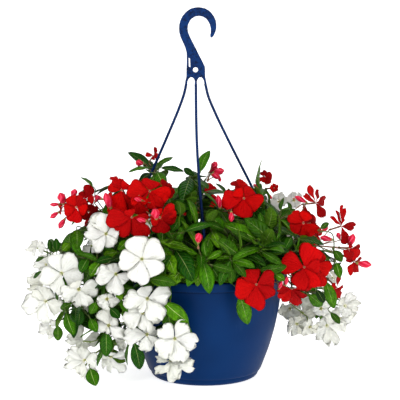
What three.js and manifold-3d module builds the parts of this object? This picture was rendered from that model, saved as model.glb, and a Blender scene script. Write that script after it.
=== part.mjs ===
// Hanging basket of trailing vinca: a blue moulded pot on a three-strand hanger with a hook,
// planted with stems of glossy paired leaves and open five-petalled flowers, white and red.
// Millimetres, +Z up. Origin at the centre of the pot's foot, X to the right, -Y towards the viewer.
import * as THREE from 'three';
import { mergeVertices } from 'three/addons/utils/BufferGeometryUtils.js';
import Module from 'manifold-3d';

// ---- driving dimensions, mm --------------------------------------------------

const POT = {
  rimRadius: 127, // outside of the skirt under the lip
  height: 170,
  band: 13, // depth of the skirt
  wall: 2.1,
  footRadius: 85.6,
  footHeight: 10.4,
  contactRadius: 76, // flat ring that the pot stands on
  floor: 2.4,
  soilTop: 152,
  drainRadius: 4.5,
  drainCircle: 56,
  drains: 6,
  segments: 24,
};
const BODY = [ // outer radius and height up the side
  [88.2, 11.2], [93, 22], [97.6, 34], [102.6, 48], [107.4, 64],
  [111.7, 80], [115.7, 99.6], [118.9, 119], [120.9, 138], [121.6, 154],
];
const SOIL_GAP = 0.4;
const LUG = { radius: 113.2, z: 161.2, height: 4.6, wide: 14, deep: 9, slotWide: 7.2, slotDeep: 3.8 };
const STRAND_ANGLES = { front: -89, right: 30, left: 150 }; // degrees round the rim
const HOOK = { thickness: 5.6, eye: [-14.3, 484.6], eyeRadius: 4.2, eyeSides: 12, strandRadius: 1.7, strandSides: 6, strandSteps: 11, tabThickness: 2.6 };
const HOOK_SLOT = [[-25, 503.5], [-22.8, 502], [-22.2, 488.3], [-24.6, 489.6]];
const HOOK_OUTLINE = [ // X and Z round the hook and the pronged plate below it
  [12.9, 536.2], [14.7, 539.3], [16.1, 542.4], [17.3, 545.5], [18, 550.2], [18.1, 554.8], [17.2, 561], [14.5, 567.2], [9.9, 573.3],
  [6.5, 576.4], [1.1, 579.5], [-5, 581], [-9.9, 581.5], [-15, 581], [-21.1, 579.5], [-26.3, 576.4], [-29.9, 573.3], [-34.9, 567.2],
  [-37.8, 561], [-39.5, 554.8], [-39.8, 548.6], [-39.4, 542.4], [-37.7, 536.2], [-35.1, 530.1], [-32.1, 523.9], [-29.7, 517.7], [-28.1, 511.5],
  [-27.8, 499], [-28.4, 483.5], [-28.5, 474.1], [-30, 467.9], [-30.8, 462.1], [-27.2, 462.1], [-26.6, 467.4], [-24.7, 470.9], [-22.2, 473.1],
  [-19.3, 473.1], [-16.8, 470.9], [-15.4, 467.4], [-15.4, 462.1], [-12, 462.1], [-12, 467.4], [-10.4, 470.9], [-8.1, 473.1], [-5.1, 473.1],
  [-2.8, 470.9], [-1.2, 467.4], [-0.5, 462.1], [3.1, 462.1], [2, 467.9], [0.8, 474.1], [0.6, 486.6], [0.2, 489.7], [-4.3, 499],
  [-9.2, 508.4], [-13.7, 517.7], [-18.6, 527], [-23.1, 536.2], [-25.6, 542.4], [-26.4, 548.6], [-25.7, 554.8], [-22.6, 561], [-19.8, 564.1],
  [-14.7, 567.2], [-8.8, 568.2], [-3.4, 567.2], [1.8, 564.1], [4.6, 561], [8, 554.8], [9.3, 548.6], [9.4, 542.4], [8.7, 539.3],
  [8.5, 536.2], [10.4, 534.5],
];
const STRANDS = { // centre line of each strand, from the plate down to its lug
  front: [
    [-13.7, 0, 461.15000000000003], [-13.5, -10.4, 435.4], [-13.2, -19.8, 411.4], [-11.9, -36.1, 369.6], [-8.7, -55.7, 319.3], [-4.8, -72.3, 276.8],
    [-0.6, -89.4, 233], [2, -113.2, 182], [2, -113.2, 170.5],
  ],
  left: [
    [-29, 0, 461.15000000000003], [-32.2, 3, 446.6], [-41.2, 8, 421], [-57.1, 15.5, 382.4], [-89.7, 30.5, 305.8], [-106.8, 38.9, 262.8],
    [-116.8, 45.4, 229.5], [-117.2, 50.6, 202.6], [-100.6, 58.1, 182], [-98, 56.6, 170.5],
  ],
  right: [
    [1.3, 0, 461.15000000000003], [5.5, 3.6, 443.4], [15.9, 8.6, 417.8], [34, 16.2, 379.2], [69.6, 30.2, 307.4], [82.2, 35.1, 282.4],
    [93.5, 37.9, 267.8], [102.2, 42.4, 244.5], [105.5, 47, 221.1], [105.3, 51, 200.9], [101.5, 58.6, 182], [98, 56.6, 170.5],
  ],
};
const TAB = [[-3, 173], [3, 173], [3, 160.6], [5.2, 160.6], [2.6, 154], [-2.6, 154], [-5.2, 160.6], [-3, 160.6]]; // barbed end, across and Z

const STEM_SIDES = 4;
const TWIG_SIDES = 3;
const STALK_SIDES = 3;
const BUD_SIDES = 4;
const HUB_RADIUS = 3.4; // swelling where the flower stalks of a cluster meet
const LEAF_THICKNESS = 1.3;
const COLOUR = {
  pot: 0x193a6e, hanger: 0x0a2364, soil: 0x2b1d14, leaf: 0x3c691e, white: 0xeeeeeb, red: 0xe10f05, bud: 0xdc285a,
};

// ---- the plant, as measured points, mm ---------------------------------------

// stems: [radius, sides, steps, points]; leaves: [base, tip, direction the blade faces, width, arch]
const SHOOTS = {
  shoot_front_1: {
    stems: [
      [2.1, STEM_SIDES, 6, [[-52, -22, 152.8], [-57.3, -24.2, 186.3], [-109.5, -16, 221.9], [-138.6, -3.5, 257.5], [-156.5, -11.2, 261.9]]],
      [1.6, STEM_SIDES, 4, [[-103.4, -16.9, 218.6], [-113.1, -26.1, 226.7], [-113.2, -44.8, 229.8], [-117, -57.4, 231.8], [-121.2, -67.7, 232.9]]],
      [1.2, TWIG_SIDES, 2, [[-117.8, -59.1, 231.9], [-119.7, -76.3, 231.5], [-113.4, -101.7, 237], [-117.6, -104.5, 233.1]]],
    ],
    leaves: [
      [[-116.7, -103.9, 234], [-131.6, -113.7, 220.3], [0.249, -0.895, 0.37], 13.5, 1.6],
      [[-132.6, -4.4, 251.9], [-154, -28.2, 268.1], [-0.369, 0.074, 0.926], 14, 3.5],
      [[-105.6, -16.3, 220.5], [-162.8, -11.2, 215.3], [-0.365, -0.52, 0.772], 26.1, 5.2],
      [[-121.5, -10.6, 236.4], [-148.8, -32.9, 264.5], [-0.21, -0.232, 0.95], 19.3, 2.7],
      [[-93.7, -19.3, 211.2], [-114.9, 23.1, 218.5], [-0.06, 0.148, 0.987], 19.7, 2.6],
      [[-71.8, -22.6, 198.3], [-78.8, 5.6, 228.9], [-0.35, -0.356, 0.867], 18.4, 3.3],
      [[-120.1, -11.3, 234.4], [-170.7, -0.6, 238.1], [-0.477, -0.277, 0.834], 20.6, 2.8],
      [[-120.6, -11, 235.2], [-157, -28.1, 256.5], [-0.491, -0.225, 0.842], 19.1, 3.7],
    ],
  },
  shoot_front_2: {
    stems: [
      [2.1, STEM_SIDES, 6, [[-26, -40, 152.8], [-28.7, -44.1, 186.5], [-45.6, -47.1, 228.1], [-49.7, -38.6, 268.4], [-61.6, -52.9, 275.6]]],
      [1.6, STEM_SIDES, 3, [[-47.9, -40.9, 254.2], [-56.4, -40.9, 264.4], [-70.8, -44.2, 269.2], [-81.7, -42.4, 273.2], [-89.4, -47, 276.3]]],
      [1.6, STEM_SIDES, 5, [[-47.9, -40.9, 254.2], [-52.6, -22.3, 274.9], [-60.3, 6.4, 286.6], [-69.9, 30.4, 288.6], [-70.4, 45.1, 302.1]]],
      [1.2, TWIG_SIDES, 2, [[-60.4, -51.6, 274.7], [-55.8, -56.1, 284.6], [-59.6, -63.9, 285.6], [-54.2, -66.1, 284.6]]],
      [1.2, TWIG_SIDES, 2, [[-70.1, 37.9, 295.8], [-78.5, 59.6, 309.1], [-78.5, 55.1, 319.1], [-84.3, 58.1, 322.6]]],
      [1.2, TWIG_SIDES, 2, [[-70.1, 37.9, 295.8], [-73.2, 37.3, 312.2], [-76.3, 15.7, 324.6], [-74.3, 9, 321.9]]],
      [1.2, TWIG_SIDES, 2, [[-56.2, -57.3, 285.1], [-31, -52.4, 286.7], [-12.6, -61.8, 286.1], [-13.9, -68.1, 282.3]]],
      [1.2, TWIG_SIDES, 2, [[-14.3, -67.6, 282.4], [-29.3, -69.7, 275.6], [-36.1, -90.1, 270.2], [-38.4, -95.9, 266.8]]],
    ],
    leaves: [
      [[-56.5, -65.2, 285], [-19.5, -80.7, 278], [-0.34, -0.913, 0.228], 16.5, 2.8],
      [[-82.4, 57.1, 321.4], [-123, 78, 346.2], [0.194, -0.57, 0.798], 18.7, 3.6],
      [[-75, 11.2, 322.8], [-61.6, -32.3, 305.1], [-0.383, -0.445, 0.809], 19.5, 3.4],
      [[-13.4, -66, 283.5], [-21, -102.9, 261.5], [-0.317, -0.438, 0.841], 15.7, 3.1],
      [[-37.7, -94.2, 267.8], [-49.5, -123.2, 251], [0.369, -0.574, 0.731], 15, 2.5],
      [[-48.5, -38.5, 263.9], [-41.5, 10.1, 292.4], [-0.112, -0.058, 0.992], 22.6, 4.7],
      [[-58.9, 0.8, 284.6], [-91.2, 20.3, 281.6], [-0.259, -0.24, 0.936], 16.9, 3.6],
      [[-56.1, -46.6, 271.3], [-94.5, -42.2, 295.8], [-0.102, 0.139, 0.985], 20.8, 4],
    ],
  },
  shoot_left_1: {
    stems: [
      [2.1, STEM_SIDES, 5, [[-74, -12, 152.8], [-81.4, -13.2, 186], [-139.9, -19.8, 177.4], [-176.2, -17.9, 179.7], [-193.9, -26.2, 183.9]]],
      [1.2, TWIG_SIDES, 3, [[-191.8, -25.5, 183.5], [-202.3, -48.1, 201.7], [-222, -86.4, 210.4], [-217.8, -86.6, 214.7]]],
    ],
    leaves: [
      [[-218.5, -86.5, 213.9], [-206.1, -87.1, 226.4], [-0.074, -0.997, 0.027], 12, 1.2],
      [[-124.6, -18.5, 180.5], [-141.4, -57.3, 169.5], [-0.633, -0.208, 0.746], 19.5, 4.1],
      [[-76.4, -12.4, 168.6], [-118.3, -9.9, 186.8], [-0.859, -0.33, 0.392], 17.9, 2.8],
      [[-148.1, -18.8, 178], [-182.6, -37, 157], [-0.434, 0.285, 0.855], 16.9, 3.3],
    ],
  },
  shoot_left_2: {
    stems: [
      [2.1, STEM_SIDES, 4, [[-62, -42, 152.8], [-66, -44.7, 174.3], [-88.1, -47.3, 203], [-125.1, -67.2, 192.6], [-124.5, -57.1, 162], [-135.5, -68.4, 162.6]]],
      [1.2, TWIG_SIDES, 3, [[-127.4, -64.9, 180.2], [-148.8, -75.9, 182.3], [-156.2, -112.1, 205.6], [-159.9, -113.9, 200.5]]],
      [1.2, TWIG_SIDES, 2, [[-157.7, -107.4, 199.1], [-169.7, -104.3, 202.9], [-175.4, -106.8, 210.4], [-178.2, -108.6, 205.7]]],
      [1.2, TWIG_SIDES, 2, [[-157.7, -107.4, 199.1], [-150.6, -119.9, 200.1], [-132.8, -116.9, 209.6], [-139.2, -117.4, 208.2]]],
      [1.2, TWIG_SIDES, 2, [[-164.1, -106, 201.4], [-163.8, -92.4, 222.6], [-163, -90.3, 234.2], [-158.7, -94.8, 231.5]]],
      [1.2, TWIG_SIDES, 2, [[-143.9, -119.8, 203.7], [-135.8, -104.9, 211], [-127.6, -105.2, 216.3], [-133.3, -105.5, 215.6]]],
    ],
    leaves: [
      [[-159, -113.5, 201.8], [-173.9, -120.7, 181.5], [0.111, -0.959, 0.26], 18, 1.8],
      [[-177.5, -108.2, 206.9], [-189.3, -116.1, 186.8], [0.129, -0.946, 0.297], 18, 1.7],
      [[-137.6, -117.2, 208.6], [-164.8, -119.4, 202.8], [0.039, -0.983, 0.177], 12, 2],
      [[-159.8, -93.6, 232.2], [-140.7, -113.3, 220.2], [-0.429, -0.735, 0.525], 13.5, 2.1],
      [[-132, -105.5, 215.7], [-154.7, -106.9, 212.9], [0.039, -0.984, 0.174], 13.5, 1.6],
      [[-128.9, -65.6, 176.9], [-157.8, -103.4, 179], [-0.134, -0.251, 0.959], 20.9, 4],
      [[-117.8, -61.1, 190.3], [-153.4, -39.5, 170.9], [-0.508, -0.572, 0.644], 19.9, 3.3],
      [[-120.1, -62, 188.2], [-113.9, -96.6, 159.5], [-0.605, -0.499, 0.621], 18.4, 3.9],
      [[-157.3, -106.4, 198.8], [-195.6, -111.1, 215.8], [-0.327, -0.331, 0.885], 16.4, 3.9],
    ],
  },
  shoot_front_3: {
    stems: [
      [2.1, STEM_SIDES, 4, [[-38, -62, 152.8], [-39.9, -65, 168.9], [-56, -84.1, 171.8], [-65.9, -91.9, 177.7], [-70.7, -102.2, 180.8]]],
      [1.2, TWIG_SIDES, 3, [[-66.6, -95.6, 178.1], [-78.1, -126.5, 174.3], [-86.8, -151.7, 183.8], [-79.8, -154.3, 182.9]]],
      [1.2, TWIG_SIDES, 2, [[-80.1, -130.6, 176.6], [-78.4, -129.4, 166.5], [-78.6, -132.6, 159.7], [-73.9, -134.4, 159.4]]],
    ],
    leaves: [
      [[-82.2, -153.5, 183.2], [-43.1, -167.9, 178.4], [-0.309, -0.92, 0.243], 16.5, 2.9],
      [[-75.2, -133.9, 159.5], [-52.5, -142.1, 158], [-0.319, -0.919, 0.23], 9, 1.7],
      [[-67.5, -97, 178.7], [-68.6, -121.5, 219.5], [-0.367, -0.592, 0.717], 20, 4.4],
    ],
  },
  shoot_front_4: {
    stems: [
      [2.1, STEM_SIDES, 4, [[-18, -78, 152.8], [-19.1, -82.9, 173.3], [-36.7, -93, 203], [-52.2, -132.1, 188], [-53.1, -120.9, 126.7], [-57.5, -131, 116.3]]],
      [1.2, TWIG_SIDES, 2, [[-46.6, -118.9, 196.3], [-47.4, -116.8, 210], [-47.3, -120.8, 227], [-43.9, -125.2, 221.9]]],
      [1.2, TWIG_SIDES, 2, [[-53.5, -127.8, 152.8], [-58.2, -130.3, 145.8], [-64.2, -139.8, 147.5], [-59.6, -141, 143.9]]],
      [1.2, TWIG_SIDES, 2, [[-45.5, -121.9, 219.3], [-53.6, -123, 222.7], [-62.9, -128.2, 227.5], [-60.6, -131.8, 222.9]]],
      [1.2, TWIG_SIDES, 2, [[-57.3, -124.5, 224.8], [-65.7, -120, 230.9], [-72.2, -122.9, 236.5], [-66.8, -124.4, 235.3]]],
      [1.2, TWIG_SIDES, 2, [[-51.4, -123.2, 222], [-45.1, -119.8, 238.2], [-37.6, -134.5, 250], [-30.5, -133, 251.9]]],
    ],
    leaves: [
      [[-45.1, -123.7, 223.6], [-17.8, -159.7, 181.4], [-0.214, -0.808, 0.55], 30, 4.3],
      [[-61.6, -140.5, 145.4], [-24.6, -150.2, 116.8], [-0.053, -0.965, 0.258], 24, 3.3],
      [[-61.5, -130.4, 224.7], [-44.7, -157.6, 190.1], [-0.157, -0.813, 0.561], 19.5, 3.3],
      [[-69.2, -123.8, 235.8], [-22.3, -136.8, 225.9], [0, -0.607, 0.795], 17.9, 3.5],
      [[-32.8, -133.5, 251.2], [13.8, -124.2, 263.4], [-0.109, -0.544, 0.832], 17.7, 3.4],
      [[-21.7, -80.9, 166], [2.3, -81, 194.4], [0.12, -0.743, 0.659], 15.8, 3.1],
      [[-42.6, -111.4, 196], [-59.8, -126.4, 229.8], [0.159, -0.225, 0.961], 17.3, 3.3],
    ],
  },
  shoot_left_3: {
    stems: [
      [2.1, STEM_SIDES, 5, [[-88, 4, 152.8], [-96.3, 4.4, 183.8], [-99.9, -4.8, 203], [-141.8, -6.8, 188], [-181.6, -5, 133.8], [-199, -14.1, 130.5]]],
    ],
    leaves: [
      [[-193.4, -12.1, 133.8], [-201.8, -49.3, 107], [-0.476, 0.049, 0.878], 19, 2.3],
      [[-153, -6.1, 175.2], [-136.6, 11, 132.5], [-0.503, 0.168, 0.848], 20.8, 2.4],
      [[-96.8, 2.8, 188.6], [-145.2, -26, 193.3], [-0.867, -0.103, 0.487], 23.8, 5.1],
      [[-106.3, -1.1, 193.4], [-133.8, 18.1, 220.3], [-0.359, 0.123, 0.925], 18.9, 2.2],
      [[-152.1, -6.2, 176.6], [-173.9, 28.5, 155], [-0.705, -0.165, 0.69], 19.5, 4.5],
    ],
  },
  shoot_left_4: {
    stems: [
      [2.1, STEM_SIDES, 4, [[-80, -32, 152.8], [-85.6, -34.3, 176.1], [-93.5, -35.5, 203], [-127.2, -48.2, 188], [-114.1, -39.8, 92.8], [-123.6, -46.3, 80]]],
      [1.6, STEM_SIDES, 4, [[-119.2, -42.2, 126.8], [-119, -53.1, 115.7], [-116.8, -70.6, 118.9], [-115.3, -82.9, 108.9], [-114.8, -93.8, 106.4]]],
      [1.2, TWIG_SIDES, 3, [[-115.2, -86, 109.2], [-111.2, -100.8, 88.4], [-108.5, -127.9, 85.8], [-107.1, -127.6, 78.4]]],
      [1.2, TWIG_SIDES, 2, [[-112.9, -93.8, 96.4], [-133.6, -92.8, 88.2], [-151, -107.6, 98.5], [-151, -107.7, 91.1]]],
      [1.2, TWIG_SIDES, 3, [[-143.3, -100.3, 90.2], [-160.9, -68.2, 44.7], [-179.1, -80.2, 33.6], [-176.9, -82.8, 27.8]]],
      [1.2, TWIG_SIDES, 3, [[-143.3, -100.3, 90.2], [-175.8, -88.7, 108], [-190.3, -100, 132.8], [-191.1, -100.3, 126.1]]],
      [1.2, TWIG_SIDES, 3, [[-183.1, -92.2, 118.5], [-210.4, -86.1, 109.1], [-225, -97.7, 105.7], [-225, -98.1, 99.3]]],
    ],
    leaves: [
      [[-107.6, -127.7, 80.9], [-98.7, -125.8, 36.8], [0.088, -0.996, -0.026], 21, 3.1],
      [[-151, -107.7, 93.5], [-151.3, -108.4, 53], [0.05, -0.999, 0.018], 21, 2.8],
      [[-177.5, -82.1, 29.3], [-167.8, -93.8, 3.7], [-0.006, -0.911, 0.413], 21, 2.1],
      [[-190.9, -100.2, 127.8], [-194.2, -101.4, 99.9], [0.045, -0.998, 0.037], 18, 2],
      [[-225, -98, 100.8], [-225.2, -99.4, 76], [0.075, -0.996, 0.053], 15, 1.7],
      [[-89.4, -34.4, 188.7], [-140, -46.9, 199.3], [-0.585, -0.45, 0.675], 22.4, 3.3],
      [[-126.1, -47.5, 179.7], [-127.3, -72.4, 141.7], [-0.485, -0.338, 0.807], 18, 3.6],
      [[-147, -103.9, 90.6], [-197.6, -81.6, 108], [-0.587, -0.242, 0.772], 24.1, 4.4],
      [[-176.2, -91.4, 111.7], [-219.4, -90.9, 109.5], [-0.46, -0.659, 0.595], 17.1, 3.7],
    ],
  },
  shoot_front_5: {
    stems: [
      [2.1, STEM_SIDES, 5, [[26, -34, 152.8], [28.4, -37.1, 183.2], [32.8, -25.8, 218.6], [29.2, -19.8, 242.7], [38.4, -19.1, 260.4]]],
    ],
    leaves: [
      [[30.2, -22, 233.3], [14.9, -47.9, 267.8], [0.176, -0.403, 0.898], 18.8, 4.4],
      [[29.2, -35.3, 187], [68.4, -24, 209.8], [-0.094, -0.372, 0.923], 19, 3.9],
      [[27.1, -36.1, 167.6], [23.8, -81.7, 188.4], [0.493, -0.676, 0.548], 23, 4.7],
      [[29.4, -35, 188.6], [-2.9, -32.6, 216.2], [0.297, -0.511, 0.807], 18.3, 3.3],
      [[32, -28.6, 210.9], [31.3, 7.4, 217.6], [0.133, -0.152, 0.979], 16.5, 2.8],
      [[30.7, -22.8, 230.5], [4.1, -38.1, 259.2], [0.205, -0.323, 0.924], 17.5, 3.5],
    ],
  },
  shoot_right_1: {
    stems: [
      [2.1, STEM_SIDES, 5, [[58, -22, 152.8], [63.6, -24.1, 184.4], [90.3, -16.2, 213.6], [98.3, -6.2, 245.1], [116.8, -11.5, 250.8]]],
      [1.2, TWIG_SIDES, 3, [[108.8, -9.7, 246.9], [103.5, -19.5, 259.4], [86.6, -47.3, 271.5], [89.3, -52.8, 267.6]]],
      [1.2, TWIG_SIDES, 2, [[99.4, -25.7, 263.1], [90.6, -5.1, 281.6], [87.4, -6.7, 293.3], [87.7, -0.5, 297.6]]],
    ],
    leaves: [
      [[88.5, -51.1, 268.8], [103, -79.3, 248.4], [-0.365, -0.662, 0.655], 15, 2.6],
      [[87.6, -2.6, 296.1], [90, 55, 336.2], [-0.97, -0.11, 0.217], 24, 4.9],
      [[101, -23.3, 261.8], [64.1, -11.4, 291.3], [0.331, -0.115, 0.936], 21.7, 4.3],
      [[80.7, -19.4, 203.9], [73.6, -15.2, 251.8], [0.26, 0.114, 0.959], 18.7, 4.6],
      [[68.1, -22.8, 187.6], [61.5, -1.6, 225.2], [0.179, -0.009, 0.984], 19.4, 4.3],
      [[95.5, -7.8, 238.4], [110.2, 35.4, 259.1], [0.54, -0.48, 0.692], 19.7, 4.5],
      [[92, -14.6, 218.5], [137.4, -12.8, 254.6], [0.458, -0.323, 0.828], 24.9, 2.6],
      [[102.9, -20.3, 259.2], [74.7, -4.4, 299.8], [0.68, -0.016, 0.733], 22, 5],
    ],
  },
  shoot_right_2: {
    stems: [
      [1.95, STEM_SIDES, 4, [[58, -50, 152.8], [61.9, -53.4, 175.2], [99.7, -54, 174.6], [119.7, -49.1, 181.2], [133.8, -57.2, 183.5]]],
      [1.05, TWIG_SIDES, 3, [[125.8, -54.7, 181.6], [171.9, -62.9, 170], [182.3, -95.8, 175.1], [184.7, -94.5, 168]]],
      [1.05, TWIG_SIDES, 3, [[140.4, -55.9, 177.6], [157.2, -65.5, 157.4], [154.4, -101.6, 152.6], [159.2, -98.8, 148.2]]],
      [1.05, TWIG_SIDES, 2, [[179.1, -78.3, 170.9], [197.6, -87.1, 190.1], [199.4, -91.4, 202.6], [200.9, -93.7, 196.6]]],
      [1.05, TWIG_SIDES, 2, [[197.2, -88.3, 190], [199.2, -82.4, 205], [194.9, -86.5, 219.7], [198.5, -87.2, 214.5]]],
      [1.05, TWIG_SIDES, 2, [[157, -89.2, 152.4], [169.4, -98.8, 152.6], [166.3, -121.7, 165.6], [169.4, -119.7, 160]]],
    ],
    leaves: [
      [[183.9, -95, 170.4], [199.5, -86.6, 123.4], [0.139, -0.982, -0.129], 18.1, 3.5],
      [[157.8, -99.6, 149.5], [181.9, -85.4, 127.8], [0.383, -0.908, -0.171], 18, 2.5],
      [[197.7, -87.1, 215.6], [210, -89.7, 197.4], [-0.033, -0.993, 0.117], 13.5, 1.5],
      [[168.6, -120.2, 161.4], [181.5, -112.2, 138.1], [0.179, -0.957, -0.23], 12, 1.9],
      [[138.6, -55.8, 178.1], [151.7, -75.4, 140], [0.306, -0.121, 0.944], 17.7, 4.1],
    ],
  },
  shoot_front_6: {
    stems: [
      [2.1, STEM_SIDES, 3, [[32, -72, 152.8], [34.4, -70.8, 166.1], [57.8, -80.3, 209.4], [85.9, -96.4, 214.4], [64.2, -76, 172.8], [78.7, -77.6, 173.1]]],
      [1.2, TWIG_SIDES, 3, [[81.7, -91, 200.6], [98.5, -90.2, 206.9], [116, -119.2, 222.6], [110.3, -117.4, 227.2]]],
      [1.2, TWIG_SIDES, 2, [[111, -113.6, 222.6], [93.3, -105.7, 231.1], [83.2, -114.1, 233.8], [77, -110.6, 236.1]]],
      [1.2, TWIG_SIDES, 2, [[77.5, -110.4, 235.9], [59.5, -116.1, 225], [56.7, -140.6, 214.3], [50.9, -139.1, 218.6]]],
      [1.2, TWIG_SIDES, 2, [[56.9, -123.6, 221.4], [68.2, -127.3, 203.9], [75, -143.4, 194.3], [82.3, -141.6, 195]]],
      [1.2, TWIG_SIDES, 2, [[90.4, -106.6, 232], [94.5, -85.2, 244.4], [107.6, -86.3, 252.8], [102.6, -82.1, 256.5]]],
    ],
    leaves: [
      [[112.2, -118, 225.6], [59.5, -101.8, 267.5], [-0.115, -0.966, 0.231], 27, 4.8],
      [[79.1, -111.7, 235.3], [26.4, -81.3, 254.9], [-0.18, -0.733, 0.656], 23, 4.5],
      [[52.8, -139.6, 217.2], [21.3, -131.8, 240.3], [-0.079, -0.972, 0.22], 22.5, 2.8],
      [[79.8, -142.2, 194.8], [123.9, -131.8, 199], [0.207, -0.955, 0.213], 16.5, 3.2],
      [[104.3, -83.5, 255.3], [75.8, -59.6, 276.3], [-0.376, -0.823, 0.426], 18, 3],
      [[44.1, -75.3, 183.4], [91.8, -89.9, 185], [0.128, -0.782, 0.61], 19.3, 4.4],
      [[73.8, -88.5, 203.8], [117.9, -71.7, 208.6], [0.116, -0.367, 0.923], 20.5, 3.9],
      [[51.2, -77.2, 201.1], [74.6, -110.4, 215.9], [-0.023, -0.412, 0.911], 19.8, 2.7],
      [[62.8, -83, 203.4], [106.4, -72.4, 180.3], [0.105, -0.276, 0.955], 20.8, 2.9],
    ],
  },
  shoot_right_3: {
    stems: [
      [2.1, STEM_SIDES, 5, [[82, -14, 152.8], [89.1, -15.2, 181.3], [130.7, -13.6, 190.1], [151.7, -7.3, 205.7], [170.5, -13.2, 209.1]]],
    ],
    leaves: [
      [[147.4, -7.9, 203.2], [199.3, 0.2, 186.9], [0.618, 0.214, 0.756], 23.4, 3.7],
      [[84.5, -14.7, 168.1], [83.2, -45.7, 198.3], [0.777, -0.073, 0.625], 19.1, 3.3],
      [[95.6, -15.1, 181.2], [123.1, -50.6, 188.9], [-0.008, -0.268, 0.963], 18.1, 3.4],
      [[129.9, -13.7, 189.7], [145.3, -6.9, 234.5], [0.649, 0.04, 0.76], 19, 3.5],
    ],
  },
  shoot_right_4: {
    stems: [
      [2.1, STEM_SIDES, 5, [[44, 22, 152.8], [48.2, 24.1, 184.5], [69.3, 37.3, 215.3], [71.6, 50.9, 246.1], [90, 49.8, 253.9]]],
      [1.6, STEM_SIDES, 3, [[70, 46.8, 236], [69.6, 48.6, 245.5], [68.4, 48, 257], [66.7, 51.3, 263.9], [67.2, 49, 270.4]]],
    ],
    leaves: [
      [[69.9, 48.7, 240.2], [41.8, 40.3, 278.4], [0.277, 0.454, 0.847], 18.4, 4.6],
      [[45.5, 22.7, 168.4], [52.6, -14.2, 203.5], [0.469, 0.207, 0.858], 19.9, 4.9],
      [[84.5, 49.7, 250.6], [126.7, 58.1, 238.3], [-0.072, 0.498, 0.864], 20.3, 2.4],
      [[45.6, 22.7, 169.3], [86.6, 26.1, 194.7], [0.427, 0.176, 0.887], 20.1, 4.7],
      [[51.3, 25.7, 186.8], [87.7, 41.4, 201.1], [0.625, -0.039, 0.779], 18.4, 3.6],
      [[70.1, 38.8, 218.7], [81.6, 18.4, 268.3], [0.222, 0.216, 0.951], 23.8, 3.9],
    ],
  },
  shoot_right_5: {
    stems: [
      [2.1, STEM_SIDES, 5, [[86, 20, 152.8], [92.8, 18.4, 183.7], [88, 50, 201.4], [128.9, 61.6, 189.5], [129.9, 79.3, 118.1], [141.3, 81.5, 101.4]]],
      [1.6, STEM_SIDES, 4, [[130.2, 72.3, 149.5], [139.8, 74.4, 131.6], [159.9, 73.1, 127], [173.1, 79.5, 108.1], [184.2, 73.7, 100.7]]],
    ],
    leaves: [
      [[134.1, 77.4, 124.7], [176.9, 64.2, 116.7], [0.365, 0.115, 0.924], 17.6, 4.1],
      [[108.6, 58.1, 195.8], [145.3, 27.1, 168.3], [0.212, 0.518, 0.829], 24.1, 4.4],
    ],
  },
  shoot_top_1: {
    stems: [
      [2.1, STEM_SIDES, 6, [[2, -10, 152.8], [2.2, -11, 186.8], [2.3, 4.9, 245.9], [-8.1, 6.8, 291.8], [2.5, 17.2, 305.2]]],
      [1.2, TWIG_SIDES, 2, [[-4.6, 9.3, 291.5], [-12.7, 7.8, 308.2], [-22, -14.6, 319.6], [-23.3, -21.2, 316.3]]],
      [1.2, TWIG_SIDES, 2, [[-18.9, -7.3, 314.4], [-13.1, -6.8, 319.4], [-8.3, -13, 322], [-6.5, -9.4, 325.9]]],
      [1.2, TWIG_SIDES, 1, [[-16.8, -0.7, 313.5], [-16.1, 2.3, 315.6], [-14.5, 2.2, 317.1], [-16.2, 4.3, 318.1]]],
    ],
    leaves: [
      [[-22.9, -19, 317.4], [-34.8, -79.9, 287.2], [-0.096, -0.427, 0.899], 24, 4.8],
      [[-7.3, -11, 324.2], [7.7, 20, 356.6], [-0.248, -0.64, 0.727], 17, 3.3],
      [[-15.1, 3, 317.5], [-32.6, 24, 327.4], [-0.542, -0.681, 0.492], 10.5, 2],
      [[1.2, 3.9, 246.4], [-34.3, 1.9, 266.8], [0.273, 0.13, 0.953], 18, 3.8],
      [[2.4, -9.8, 188.6], [-30.5, -5.3, 207.7], [-0.238, -0.374, 0.897], 16.5, 2.6],
      [[3, -0.2, 226], [-1.9, -26.3, 269.4], [0.217, -0.066, 0.974], 21.8, 3.6],
      [[2.3, -10.8, 183.7], [-4.5, 20.3, 205.1], [0.114, -0.052, 0.992], 17.1, 3.1],
    ],
  },
  shoot_front_7: {
    stems: [
      [2.1, STEM_SIDES, 5, [[10, -84, 152.8], [11.4, -87.1, 175.4], [4.1, -115.9, 206.4], [-6.8, -120.9, 215.8], [-9.1, -135, 225.7]]],
      [1.2, TWIG_SIDES, 2, [[-8.8, -133.8, 224.9], [-5.9, -136.1, 216.5], [-3.5, -142.7, 212.4], [-2.3, -145.8, 206.8]]],
      [1.2, TWIG_SIDES, 3, [[8.4, -104, 194.5], [31.8, -113.1, 176.5], [51.6, -144.6, 163.4], [53.5, -144.4, 156.1]]],
      [1.2, TWIG_SIDES, 2, [[-2.4, -145.5, 207.1], [5.2, -144.5, 203.3], [8.1, -147.9, 204.2], [12.7, -149.2, 203.2]]],
      [1.2, TWIG_SIDES, 1, [[9, -146.9, 203.2], [10.8, -141.3, 200.4], [9.9, -139, 200.1], [11.6, -140.8, 197.7]]],
      [1.2, TWIG_SIDES, 1, [[-1.7, -117.2, 210.5], [-2.7, -113.1, 209.9], [-2.1, -112.4, 208.4], [-3.8, -111.3, 210.5]]],
    ],
    leaves: [
      [[-2.8, -144.6, 209], [6.9, -169.1, 164.2], [-0.062, -0.881, 0.469], 22.5, 3.6],
      [[52.9, -144.5, 158.5], [65.1, -143.6, 110.7], [0.032, -0.999, -0.01], 22.5, 3.5],
      [[10.7, -148.7, 203.6], [43.5, -158, 196.2], [-0.216, -0.948, 0.234], 13.5, 2.4],
      [[10.7, -139.9, 199], [25.6, -154.5, 178.8], [-0.208, -0.859, 0.468], 16.5, 2],
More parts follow.
